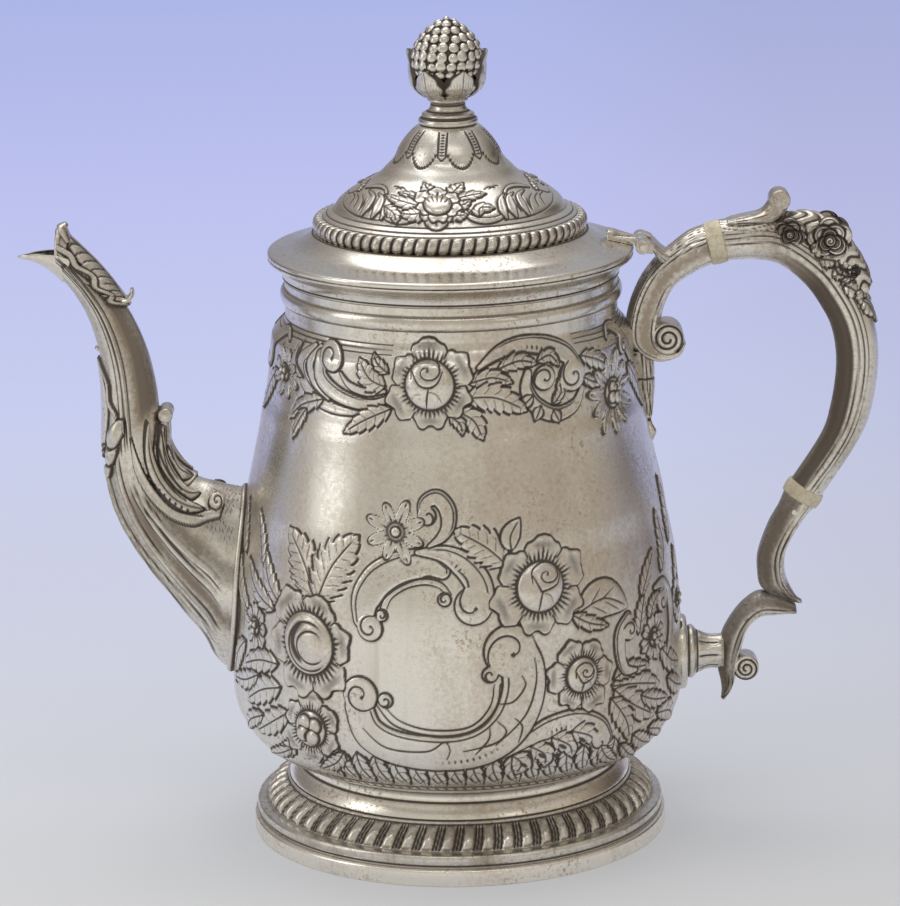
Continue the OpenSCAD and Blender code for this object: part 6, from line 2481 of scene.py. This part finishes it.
@dataclass
class Rose:
    """Cast rose: layers of cupped petals round a coiled heart. Sizes in millimetres."""

    radius: float
    depth: float
    petals: int = 5

    def cast(self, name: str, at: Pair, level: float, side: int, turn: float = 0) -> Piece:
        """Make the rose, facing the front or the back.

        Args:
            name: Name of the piece.
            at: Its centre, as x and z.
            level: Distance of its base from the middle plane.
            side: -1 for the front, 1 for the back.
            turn: Angle that it is turned by, in degrees.

        Returns:
            The piece, still to be settled.
        """
        r = self.radius
        share = np.linspace(0, 1, round(r * 9))[:, None]
        phi = np.linspace(0, FULL_TURN, round(r * 26))[None, :]
        lobe = np.abs(np.cos((phi - math.radians(turn)) * self.petals / 2))
        rim = r * (0.86 + 0.14 * lobe**0.7)
        x, z = share * rim * np.cos(phi), share * rim * np.sin(phi)
        work = Chasing(x.ravel(), z.ravel())
        rows = ((self.petals, 0.56, 0.47, 0.45, 0), (4, 0.36, 0.4, 0.72, 30), (3, 0.2, 0.3, 0.9, 75))
        for count, far, size, rise, shift in rows:
            for k in range(count):
                a = math.radians(turn + shift) + FULL_TURN * k / count
                work.petal(
                    (far * r * math.cos(a), far * r * math.sin(a)), size * r, rise * self.depth, (0, 0),
                )
        work.boss((0, 0), 0.24 * r, self.depth * 1.02, self.depth * 0.8)
        coil = [(0.02 * r * k * math.cos(k * 0.9), 0.02 * r * k * math.sin(k * 0.9)) for k in range(1, 14)]
        work.line(coil, 0.05 * r, 0.35)
        height = work.height.reshape(x.shape) * ease((1.01 - share) / 0.07)
        oxide = np.maximum(work.oxide.reshape(x.shape), 0.9 * ease((share - 0.96) / 0.04))
        places = np.stack([at[0] + x, side * (level + np.maximum(height, 0)), at[1] + z], -1)
        return Bench.sheet(name, places, oxide, np.clip(0.55 + height / self.depth / 3, 0, 1))


@dataclass
class Handle:
    """Scrolled handle with its sockets, insulating rings, thumb scroll, roses and mount, in millimetres."""

    shoulder: Pair = (54.9, 154.5)
    half_w: float = 6
    ring_upper: tuple[float, float, float, float, float] = (79.6, 180.5, 77.2, 4.9, 6.6)
    ring_lower: tuple[float, float, float, float, float] = (106, 102.5, 31.3, 4.4, 6.1)
    grip: list[Station] = field(
        default_factory=lambda: [
            (35.1, 33.4, 36.3, 20.7, 1), (43.5, 32.9, 42.1, 19.7, 1), (52.2, 28.4, 46.9, 16.9, 1),
            (61, 21.2, 52.1, 12.1, 1), (67, 13.2, 56, 6.5, 1), (71.3, 4.7, 59.1, 0.5, 1),
            (73.5, -5.3, 60.7, -6.5, 1), (73.3, -16.2, 60.9, -14.5, 0.98), (70.9, -28.6, 59.3, -25.2, 0.94),
            (66.2, -38.4, 56.4, -34, 0.9),
        ]
    )
    upper: list[Station] = field(
        default_factory=lambda: [
            (19.6, 17.8, 16.4, 29.6, 1), (15.4, 15.4, 11.8, 26.2, 1), (12, 12.6, 7.2, 22.4, 1),
            (9.8, 8.6, 3.6, 18.2, 1), (8.6, 5, 0.9, 13.6, 1), (8, 1.6, -1.4, 7.6, 1),
            (7.8, -1.4, -2.6, 0.6, 1), (7.9, -3, -1.6, -4.6, 0.98), (8.6, -4.6, 2.6, -8.4, 0.95),
            (10.4, -5.6, 7.4, -9.8, 0.9), (12.4, -5.2, 12.6, -8.4, 0.85),
        ]
    )
    lower: list[Station] = field(
        default_factory=lambda: [
            (51.9, -59.3, 43.7, -55.6, 0.9), (48.3, -64.9, 40.7, -61, 0.86), (46, -69.6, 38.3, -67, 0.84),
            (45.4, -73.2, 37.1, -71.6, 0.82), (45.6, -76.6, 37.1, -76.4, 0.8),
            (46.6, -80, 38.2, -81.4, 0.72), (48.4, -83.6, 43.4, -85.2, 0.5), (50.4, -86.4, 49.6, -87, 0.16),
        ]
    )
    scroll: list[Station] = field(
        default_factory=lambda: [
            (48.4, -90.2, 48.4, -87, 0.5), (43.4, -90.4, 43.2, -84.2, 0.74), (38.6, -90.8, 37.9, -83, 0.84),
            (35.8, -92.6, 33.2, -85.8, 0.86), (33.8, -95.4, 29.4, -90.2, 0.86),
            (32.8, -99, 26.4, -95.6, 0.86), (31.6, -103.2, 25.1, -101.6, 0.84),
            (30.9, -107.6, 25, -107, 0.76), (30.2, -111.4, 25.8, -110.8, 0.6),
            (28.9, -114.3, 26.2, -113.8, 0.42), (26.7, -116.8, 26, -116.7, 0.16),
        ]
    )

    def placed(self, rows: list[Station]) -> list[Station]:
        """Stations measured from the shoulder, with half widths as shares of the grip's."""
        x, z = self.shoulder
        return [(x + a, z + b, x + c, z + d, w * self.half_w) for a, b, c, d, w in rows]

    @staticmethod
    def end(ring: Station, way: int, half_h: float, half_w: float) -> Station:
        """Station square to an insulating ring, on its side towards +1 or -1 along its axis.

        Args:
            ring: The ring's x, z, tilt in degrees, thickness and radius.
            way: 1 or -1.
            half_h: Half height of the station, in the plane.
            half_w: Its half width.

        Returns:
            The station.
        """
        tilt = math.radians(ring[2])
        dx, dz = math.sin(tilt), math.cos(tilt)
        x, z = ring[0] + way * dx * ring[3] / 2, ring[1] + way * dz * ring[3] / 2
        return x - dz * half_h, z + dx * half_h, x + dz * half_h, z - dx * half_h, half_w

    def grip_bar(self) -> Bar:
        """Bar of the grip, whose second edge is its inner one.

        Returns:
            The bar.
        """
        first = self.end(self.ring_upper, 1, self.ring_upper[4] - 0.5, 5.5)
        last = self.end(self.ring_lower, 1, self.ring_lower[4] - 0.9, 5.5)
        return Bar(
            [first, *self.placed(self.grip), (last[2], last[3], last[0], last[1], last[4])], 0.42, 2.3,
        )

    @staticmethod
    def grip_form(share: Array, angle: Array, radius: Array) -> tuple[Array, Array]:
        """Relief of the grip: a double ridge on each side and a hollow inside it.

        Args:
            share: Share along the bar.
            angle: Angle round the bar, in degrees.
            radius: Mean radius of the bar there.

        Returns:
            Height and oxide.
        """
        line = [(0, 92), (0.12, 96), (0.3, 98), (0.6, 96), (0.85, 92), (1, 88)]
        height, oxide = ridges(
            share, angle, radius, [(line, 0.42, 0.62), ([(s, a + 13) for s, a in line], 0.34, 0.32)],
        )
        a = np.abs(angle)
        height -= 0.85 * ease((82 - a) / 18) * ease((a - 6) / 22) * ease((share - 0.1) / 0.2)
        oxide = np.maximum(oxide, 0.5 * ease((84 - a) / 10) * ease((share - 0.15) / 0.2))
        veins = (
            bell(np.sin(a * 0.21 + 3 * np.sin(share * 26)), 0.3) * ease((a - 112) / 8)
            * ease((0.25 - share) / 0.08)
        )
        height += 0.3 * (1 - veins) * ease((0.25 - share) / 0.08) * ease((a - 112) / 8)
        return height, np.maximum(oxide, 0.8 * veins)

    @staticmethod
    def socket_form(share: Array, angle: Array, radius: Array) -> tuple[Array, Array]:
        """Relief of the upper socket: leaf veins outside, double ridges, hollow sides.

        Args:
            share: Share along the bar.
            angle: Angle round the bar, in degrees.
            radius: Mean radius of the bar there.

        Returns:
            Height and oxide.
        """
        height, oxide = ridges(
            share, angle, radius,
            [
                ([(0, 74), (0.2, 64), (0.45, 58), (1, 60)], 0.42, 0.7),
                ([(0, 62), (0.2, 52), (0.5, 48), (1, 50)], 0.32, 0.35),
                ([(0.3, 128), (0.6, 122), (1, 118)], 0.4, 0.6),
            ],
        )
        a = np.abs(angle)
        height -= 0.55 * bell(a - 96, 20)
        veins = (
            bell(np.sin(a * 0.24 + 2.4 * np.sin(share * 12)), 0.3) * ease((50 - a) / 8)
            * ease((0.55 - share) / 0.15)
        )
        height -= 0.25 * veins
        brown_patch = 0.42 * ease((46 - a) / 16) * ease((share - 0.35) / 0.2)
        return height, np.maximum.reduce([oxide, 0.8 * veins, brown_patch])

    @staticmethod
    def lower_form(share: Array, angle: Array, radius: Array) -> tuple[Array, Array]:
        """Relief of the lower pieces: a ridge on each side, brown hollow sides towards the pot.

        Args:
            share: Share along the bar.
            angle: Angle round the bar, in degrees.
            radius: Mean radius of the bar there.

        Returns:
            Height and oxide.
        """
        lines = [
            ([(0, 112), (0.4, 110), (1, 106)], 0.4, 0.6), ([(0.15, 134), (0.5, 130), (1, 122)], 0.3, 0.4),
        ]
        height, oxide = ridges(share, angle, radius, lines)
        a = np.abs(angle)
        height -= 0.5 * bell(a - 66, 26)
        return height, np.maximum(oxide, 0.4 * ease((100 - a) / 12))

    def sockets(self) -> None:
        """Cast both sockets with their volutes."""
        first = self.end(self.ring_upper, -1, self.ring_upper[4] - 0.5, 5.5)
        stations = [(first[2], first[3], first[0], first[1], first[4]), *self.placed(self.upper)]
        socket = Bar(stations, 0.42, 2.3).cast("handle_upper_socket", self.socket_form)
        path = [(61.5, 146.6), (65, 146.2), (68.2, 147.4), (70, 150.2)]
        neck_stations = Bar.along_path(path, [3.4, 2.6, 2, 1], [5.2, 5.2, 5, 4.4])
        neck = Bar(neck_stations, 0.36, 3, (0.3, 0.3)).cast("neck")
        upper = Bench.join(
            [socket, neck, Roll(5, 5.1, -60, 1, 2.2).cast("volute", (64.8, 152.1))], "handle_upper_socket",
        )
        first = self.end(self.ring_lower, -1, self.ring_lower[4] - 0.9, 5.5)
        stations = [(first[2], first[3], first[0], first[1], first[4]), *self.placed(self.lower)]
        socket = Bar(stations, 0.42, 2.5, (0, 0.5)).cast("socket", self.lower_form)
        scroll = Bar(self.placed(self.scroll), 0.42, 2.5, (0.8, 0.4)).cast("scroll", self.lower_form)
        lower = Bench.join(
            [socket, scroll, Roll(4, 4.1, 200, 1, 2.2).cast("volute", (88.4, 48))], "handle_lower_socket",
        )
        for piece, node in ((upper, "handle_upper_socket"), (lower, "handle_lower_socket")):
            CAST.dress(piece, Body.POT, 60)
            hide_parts(node)

    def grip_pieces(self) -> None:
        """Cast the grip, its thumb scroll, roses and spray."""
        grip = self.grip_bar().cast("handle_grip", self.grip_form)
        CAST.dress(grip, Body.POT, 180)
        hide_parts("handle_grip")
        x, z = self.shoulder
        stations = [
            (28.2, 32, 28.1, 32.9, 0.7), (33, 32.4, 32.9, 34, 0.86), (37.6, 32.2, 36.9, 34.9, 0.86),
            (41.8, 31.6, 39.2, 36.4, 0.8), (45, 33, 40.6, 38.8, 0.72), (46.4, 36.6, 41.2, 40.6, 0.66),
        ]
        stem = Bar(self.placed(stations), 0.36, 2.4, (0.2, 0.6)).cast("thumb_scroll", self.thumb_form)
        roll = Roll(3.2, 3.9, 200, 1, 0).cast("roll", (x + 43.7, z + 38.9))
        thumb = Bench.join([stem, roll], "handle_thumb_scroll")
        CAST.dress(thumb, Body.POT, 70)
        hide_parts("handle_thumb_scroll")
        spray = self.grip_bar().applied(
            "handle_rose_spray", (0.235, 0.5), 180, 96, self.draw_spray, 0.1, 1.0,
        )
        crest = [
            (44.5, 30, 47.4, 34.8, 0.6), (50, 27, 52.8, 35, 0.86), (56, 22, 59, 32.4, 0.9),
            (61, 16, 64.6, 27, 0.86), (65.4, 10, 69.4, 19.6, 0.7), (67, 6, 71.6, 13, 0.5),
        ]
        roses = [Bar(self.placed(crest), 0.4, 2.4, (0.6, 0.6)).cast("crest", self.crest_form)]
        for side in (-1, 1):
            roses.append(Rose(7, 3.8).cast("rose", (x + 58.4, z + 27.2), 4.5, side, 20))
            roses.append(Rose(5, 3.2, 6).cast("small_rose", (x + 46.4, z + 29.2), 4.6, side, 30))
            roses.append(Rose(2.4, 1.8).cast("bud", (x + 65.6, z + 17.4), 4.5, side, 60))
        piece = Bench.join([spray, *roses], "handle_rose_spray")
        CAST.dress(piece, Body.POT, 60)
        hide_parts("handle_rose_spray")

    @staticmethod
    def crest_form(share: Array, angle: Array, radius: Array) -> tuple[Array, Array]:
        """Folded leaves between the roses."""
        fold = np.sin(share * 52 + 3 * np.sin(np.radians(angle) * 3))
        return 0.3 * fold, 0.8 * bell(fold + 0.95, 0.3)

    @staticmethod
    def thumb_form(share: Array, angle: Array, radius: Array) -> tuple[Array, Array]:
        """Long leaf veins that run up to the roll."""
        vein = bell(np.sin(np.abs(angle) * 0.26 + 1.6 * share), 0.3) * ease((0.85 - share) / 0.2)
        return 0.25 * (1 - vein) * ease((0.9 - share) / 0.2), 0.75 * vein

    @staticmethod
    def draw_spray(work: Chasing, place: PlaceFinder) -> None:
        """Chase the spray of leaves and buds on the back of the grip.

        Args:
            work: The surface, laid out flat.
            place: Finds places on it from their share along and their angle.
        """
        on = mirrored(place, 1)
        work.leaf(on((0, 0), (0.2, 0), (0.6, 0), (1, 0)), 9.5, 0, 0.9, False, skew=0.3)
        leaves = (
            (0.02, 34, 0.13, 34), (0.14, 70, 0.14, -22), (0.3, 62, 0.16, -10), (0.44, 40, 0.15, 26),
            (0.5, 66, 0.2, -22), (0.62, 30, 0.16, 22), (0.72, 44, 0.2, -18),
        )
        for side in (-1, 1):
            p = mirrored(place, side)
            for t, a, reach, out in leaves:
                work.leaf(
                    p((t, a), (t + reach / 2, a + out / 2), (t + reach, a + out)), 2.3, 3, 2.2 - 1.1 * t,
                )
            work.flower(place(0.36, side * 34), 3, 6, 1.1, 0, height=2.6)
            work.boss(place(0.36, side * 34), 1.2, 2.6, 1.6)
        for t, height in ((0.04, 3), (0.2, 3), (0.37, 2.4), (0.54, 1.9), (0.7, 1.4), (0.8, 1)):
            work.leaf(on((t, -6), (t + 0.09, 2), (t + 0.19, 0)), 2.8, 4, height)

    def drop(self) -> None:
        """Cast the leaf that hangs below the upper socket."""
        body = PotBody()
        rows = [
            (6.5, 5.2, 4.6), (11, 5, 5), (17, 4.2, 4.2), (24, 2.6, 2.6), (29, 1.2, 1.4), (32, 1.9, 1.7),
            (34.6, 0.4, 0.5),
        ]
        stations = []
        for down, out, half in rows:
            z = self.shoulder[1] - down
            wall = float(body.radius_at(z))
            stations.append((wall - 3, z, wall + out, z, half))
        piece = Bar(stations, 0.34, 2.2, (0.3, 0.4)).cast("handle_leaf_drop", self.drop_form)
        CAST.dress(piece, Body.POT, 180)
        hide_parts("handle_leaf_drop")

    @staticmethod
    def drop_form(share: Array, angle: Array, radius: Array) -> tuple[Array, Array]:
        """Relief of the hanging leaf: folds and a tied end.

        Args:
            share: Share along the bar.
            angle: Angle round the bar, in degrees.
            radius: Mean radius of the bar there.

        Returns:
            Height and oxide.
        """
        a = np.abs(angle)
        lines = [([(0, 40), (0.5, 52), (0.72, 40)], 0.4, 0.5), ([(0, 78), (0.4, 84), (0.7, 60)], 0.36, 0.45)]
        height, oxide = ridges(share, angle, radius, lines)
        tie = bell(share - 0.76, 0.02) + bell(share - 0.3, 0.012)
        vein = bell(angle * math.pi / 180 * radius, 0.3) * ease((0.75 - share) * 8)
        oxide = np.maximum.reduce([oxide, 0.8 * tie, 0.7 * vein, 0.5 * ease((a - 112) / 10)])
        return height - 0.3 * tie - 0.2 * vein, oxide

    def mount(self) -> None:
        """Turn the mount that carries the lower end, with the leaves round its spool."""
        face = 68.95
        outline = smooth_curve(
            [(11.2, -2.4), (11.5, -1.2), (11.6, -0.2), (11.2, 0.9), (10.2, 1.35), (8.6, 1.4)], 5,
        )
        second = [(7.7, 1.6), (8.1, 1.9), (8.3, 2.5), (8.2, 3.1), (7.6, 3.7), (6.8, 4.3)]
        spool = smooth_curve([(6.4, 4.8), (5.7, 6), (5.1, 7.6), (4.9, 9.4), (5.1, 11.2), (5.6, 12.6)], 5)
        profile = np.vstack([outline, second, spool])
        piece = Bench.fine_lathe("handle_lower_mount", even_curve(profile, 0.3), 160)
        p = Bench.places(piece)
        r, z, turn = np.hypot(p[:, 0], p[:, 1]), p[:, 2], np.arctan2(p[:, 1], p[:, 0])
        leaf = ease((z - 4.4) / 1.2) * ease((12 - z) / 2)
        beat = np.abs(np.sin(turn * 4))
        height = leaf * 0.6 * (beat**0.6 - 0.4)
        p[:, :2] *= (1 + height / np.maximum(r, 1))[:, None]
        Bench.set_places(piece, p)
        creases = ((8.6, 1.5), (7.7, 1.6), (6.8, 4.5), (11.3, -2))
        crease = np.maximum.reduce([bell(np.hypot(r - s, z - t), 0.45) for s, t in creases])
        Bench.mark(
            piece, 0.9 * np.maximum(crease, leaf * bell(beat, 0.25) * 0.9), np.clip(0.55 + height / 2, 0, 1),
        )
        Bench.aim(piece, (face, 52.7), 90)
        CAST.dress(piece, Body.POT, 60)
        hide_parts("handle_lower_mount")

    def rings(self) -> None:
        """Turn the insulating rings."""
        for name, ring in (("insulator_upper", self.ring_upper), ("insulator_lower", self.ring_lower)):
            x, z, tilt, thick, r = ring
            h = thick / 2
            edge = [(r - 0.7, -h), (r - 0.15, -h + 0.3), (r + 0.05, 0), (r - 0.15, h - 0.3), (r - 0.7, h)]
            piece = Bench.turn(name, smooth_curve([(3, -h), *edge, (3, h)], 4), [], 96)
            Bench.aim(piece, (x, z), tilt)
            IVORY.dress(piece, Body.POT, 60)
            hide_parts(name)

    def build(self) -> None:
        """Make the handle's pieces."""
        self.sockets()
        self.grip_pieces()
        self.drop()
        self.mount()
        self.rings()


# ---------------------------------------------------------------- hinge


@dataclass
class Hinge:
    """Hinge between lid and handle, with ringed knuckles. Sizes in millimetres."""

    pin: Pair = (57.3, 181)
    knuckle_r: float = 2.1
    lid_w: float = 6
    handle_w: float = 5.6
    gap: float = 0.2

    def knuckle(self, name: str, middle: float, width: float) -> Piece:
        """Turn one knuckle with rings at its ends.

        Args:
            name: Name of the piece.
            middle: Its place along the pin.
            width: Its width.

        Returns:
            The piece.
        """
        r, h = self.knuckle_r, width / 2
        side = [
            (r - 0.15, -h), (r, -h + 0.15), (r, -h + 0.7), (r - 0.3, -h + 0.85), (r - 0.3, -h + 1.1),
            (r - 0.05, -h + 1.3),
        ]
        profile = [(0.95, -h), *side, *[(q, -w) for q, w in side[::-1]], (0.95, h)]
        piece = Bench.turn(
            name, profile, [(r - 0.3, -h + 0.95), (r - 0.3, h - 0.95), (1.4, -h), (1.4, h)], 64, True, 0.25,
        )
        Bench.lean_on_pin(piece, (self.pin[0], middle, self.pin[1]))
        return Bench.settle(piece, name, 40)

    def build(self) -> None:
        """Make both leaves of the hinge."""
        step = (self.lid_w + self.handle_w) / 2 + self.gap
        lid = [self.knuckle("hinge_knuckle", 0, self.lid_w)]
        outline = [
            (47.02, 182.28), (46.8, 184), (47.3, 184.6), (48.1, 184.45), (48.9, 183.65), (52, 183.15),
            (55.4, 182.9), (56.4, 182.5), (57.3, 180.8), (54.2, 180.65),
        ]
        lid.append(Bench.settle(Bench.plate("leaf", outline, self.lid_w + 0.2, 0.35), "leaf"))
        path = [(47.2, 184.7), (48.6, 184.3), (50.6, 183.8), (53, 183.3), (54.8, 182.9)]
        stations = Bar.along_path(path, [1.5, 1.9, 1.5, 1.1, 0.6], [3.6, 3.4, 2.4, 1.8, 1.2])
        lid.append(Bar(stations, 0.3, 2, (0.5, 0.3)).cast("ridge", self.leaf_form))
        front = Bench.join(lid, "hinge_lid_leaf")
        CAST.dress(front, Body.LID, 40)
        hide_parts("hinge_lid_leaf")
        back = [self.knuckle("hinge_knuckle", side * step, self.handle_w) for side in (-1, 1)]
        web = [(57.3, 179.3), (60.4, 178.9), (61, 181.6), (59.6, 182.5), (57.6, 183)]
        for side in (-1, 1):
            piece = Bench.settle(Bench.plate("web", web, self.handle_w - 0.6, 0.3), "web")
            Bench.set_places(piece, Bench.places(piece) + (0, side * step, 0))
            back.append(piece)
        stations = [
            (59.8, 179.4, 60.3, 182.2, 8.6), (60.6, 178.6, 61.4, 181.5, 8.6),
            (61.6, 176.6, 63.6, 179.4, 7.4), (62.6, 174.6, 66.6, 177.6, 5.8),
        ]
        back.append(Bar(stations, 0.36, 3.2, (0.2, 0.3)).cast("leaf", self.leaf_form))
        rear = Bench.join(back, "hinge_handle_leaf")
        CAST.dress(rear, Body.POT, 50)
        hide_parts("hinge_handle_leaf")

    @staticmethod
    def leaf_form(share: Array, angle: Array, radius: Array) -> tuple[Array, Array]:
        """Chased scallops on the hinge's leaf."""
        vein = bell(np.sin(angle * 0.14), 0.3) * ease((share - 0.15) * 4)
        return -0.2 * vein, 0.6 * vein


def finish_solids() -> None:
    """Give the solids that stay in sight their finishes."""
    finishes = {"finial_nut": BRASS}
    for name in ("insulator_pins", "hinge_pin", "finial_stud", "finial_washer", "finial_nut"):
        for slot in bpy.data.objects[name].material_slots:
            slot.material = finishes.get(name, PLAIN).material()


# ---------------------------------------------------------------- assembly


def main() -> None:
    """Build every sub-assembly in order."""
    logging.basicConfig(level=logging.INFO, format="%(name)s: %(message)s")
    Studio().build()
    for part in (PotBody(), Foot(), Mouth(), Lid(), Finial(), Spout(), Handle(), Hinge()):
        before = set(bpy.context.scene.objects)
        part.build()
        for piece in sorted(set(bpy.context.scene.objects) - before, key=lambda o: o.name):
            LOG.info("%s: %s, %d faces", type(part).__name__, piece.name, len(piece.data.polygons))
    finish_solids()


if __name__ == "__main__":
    main()
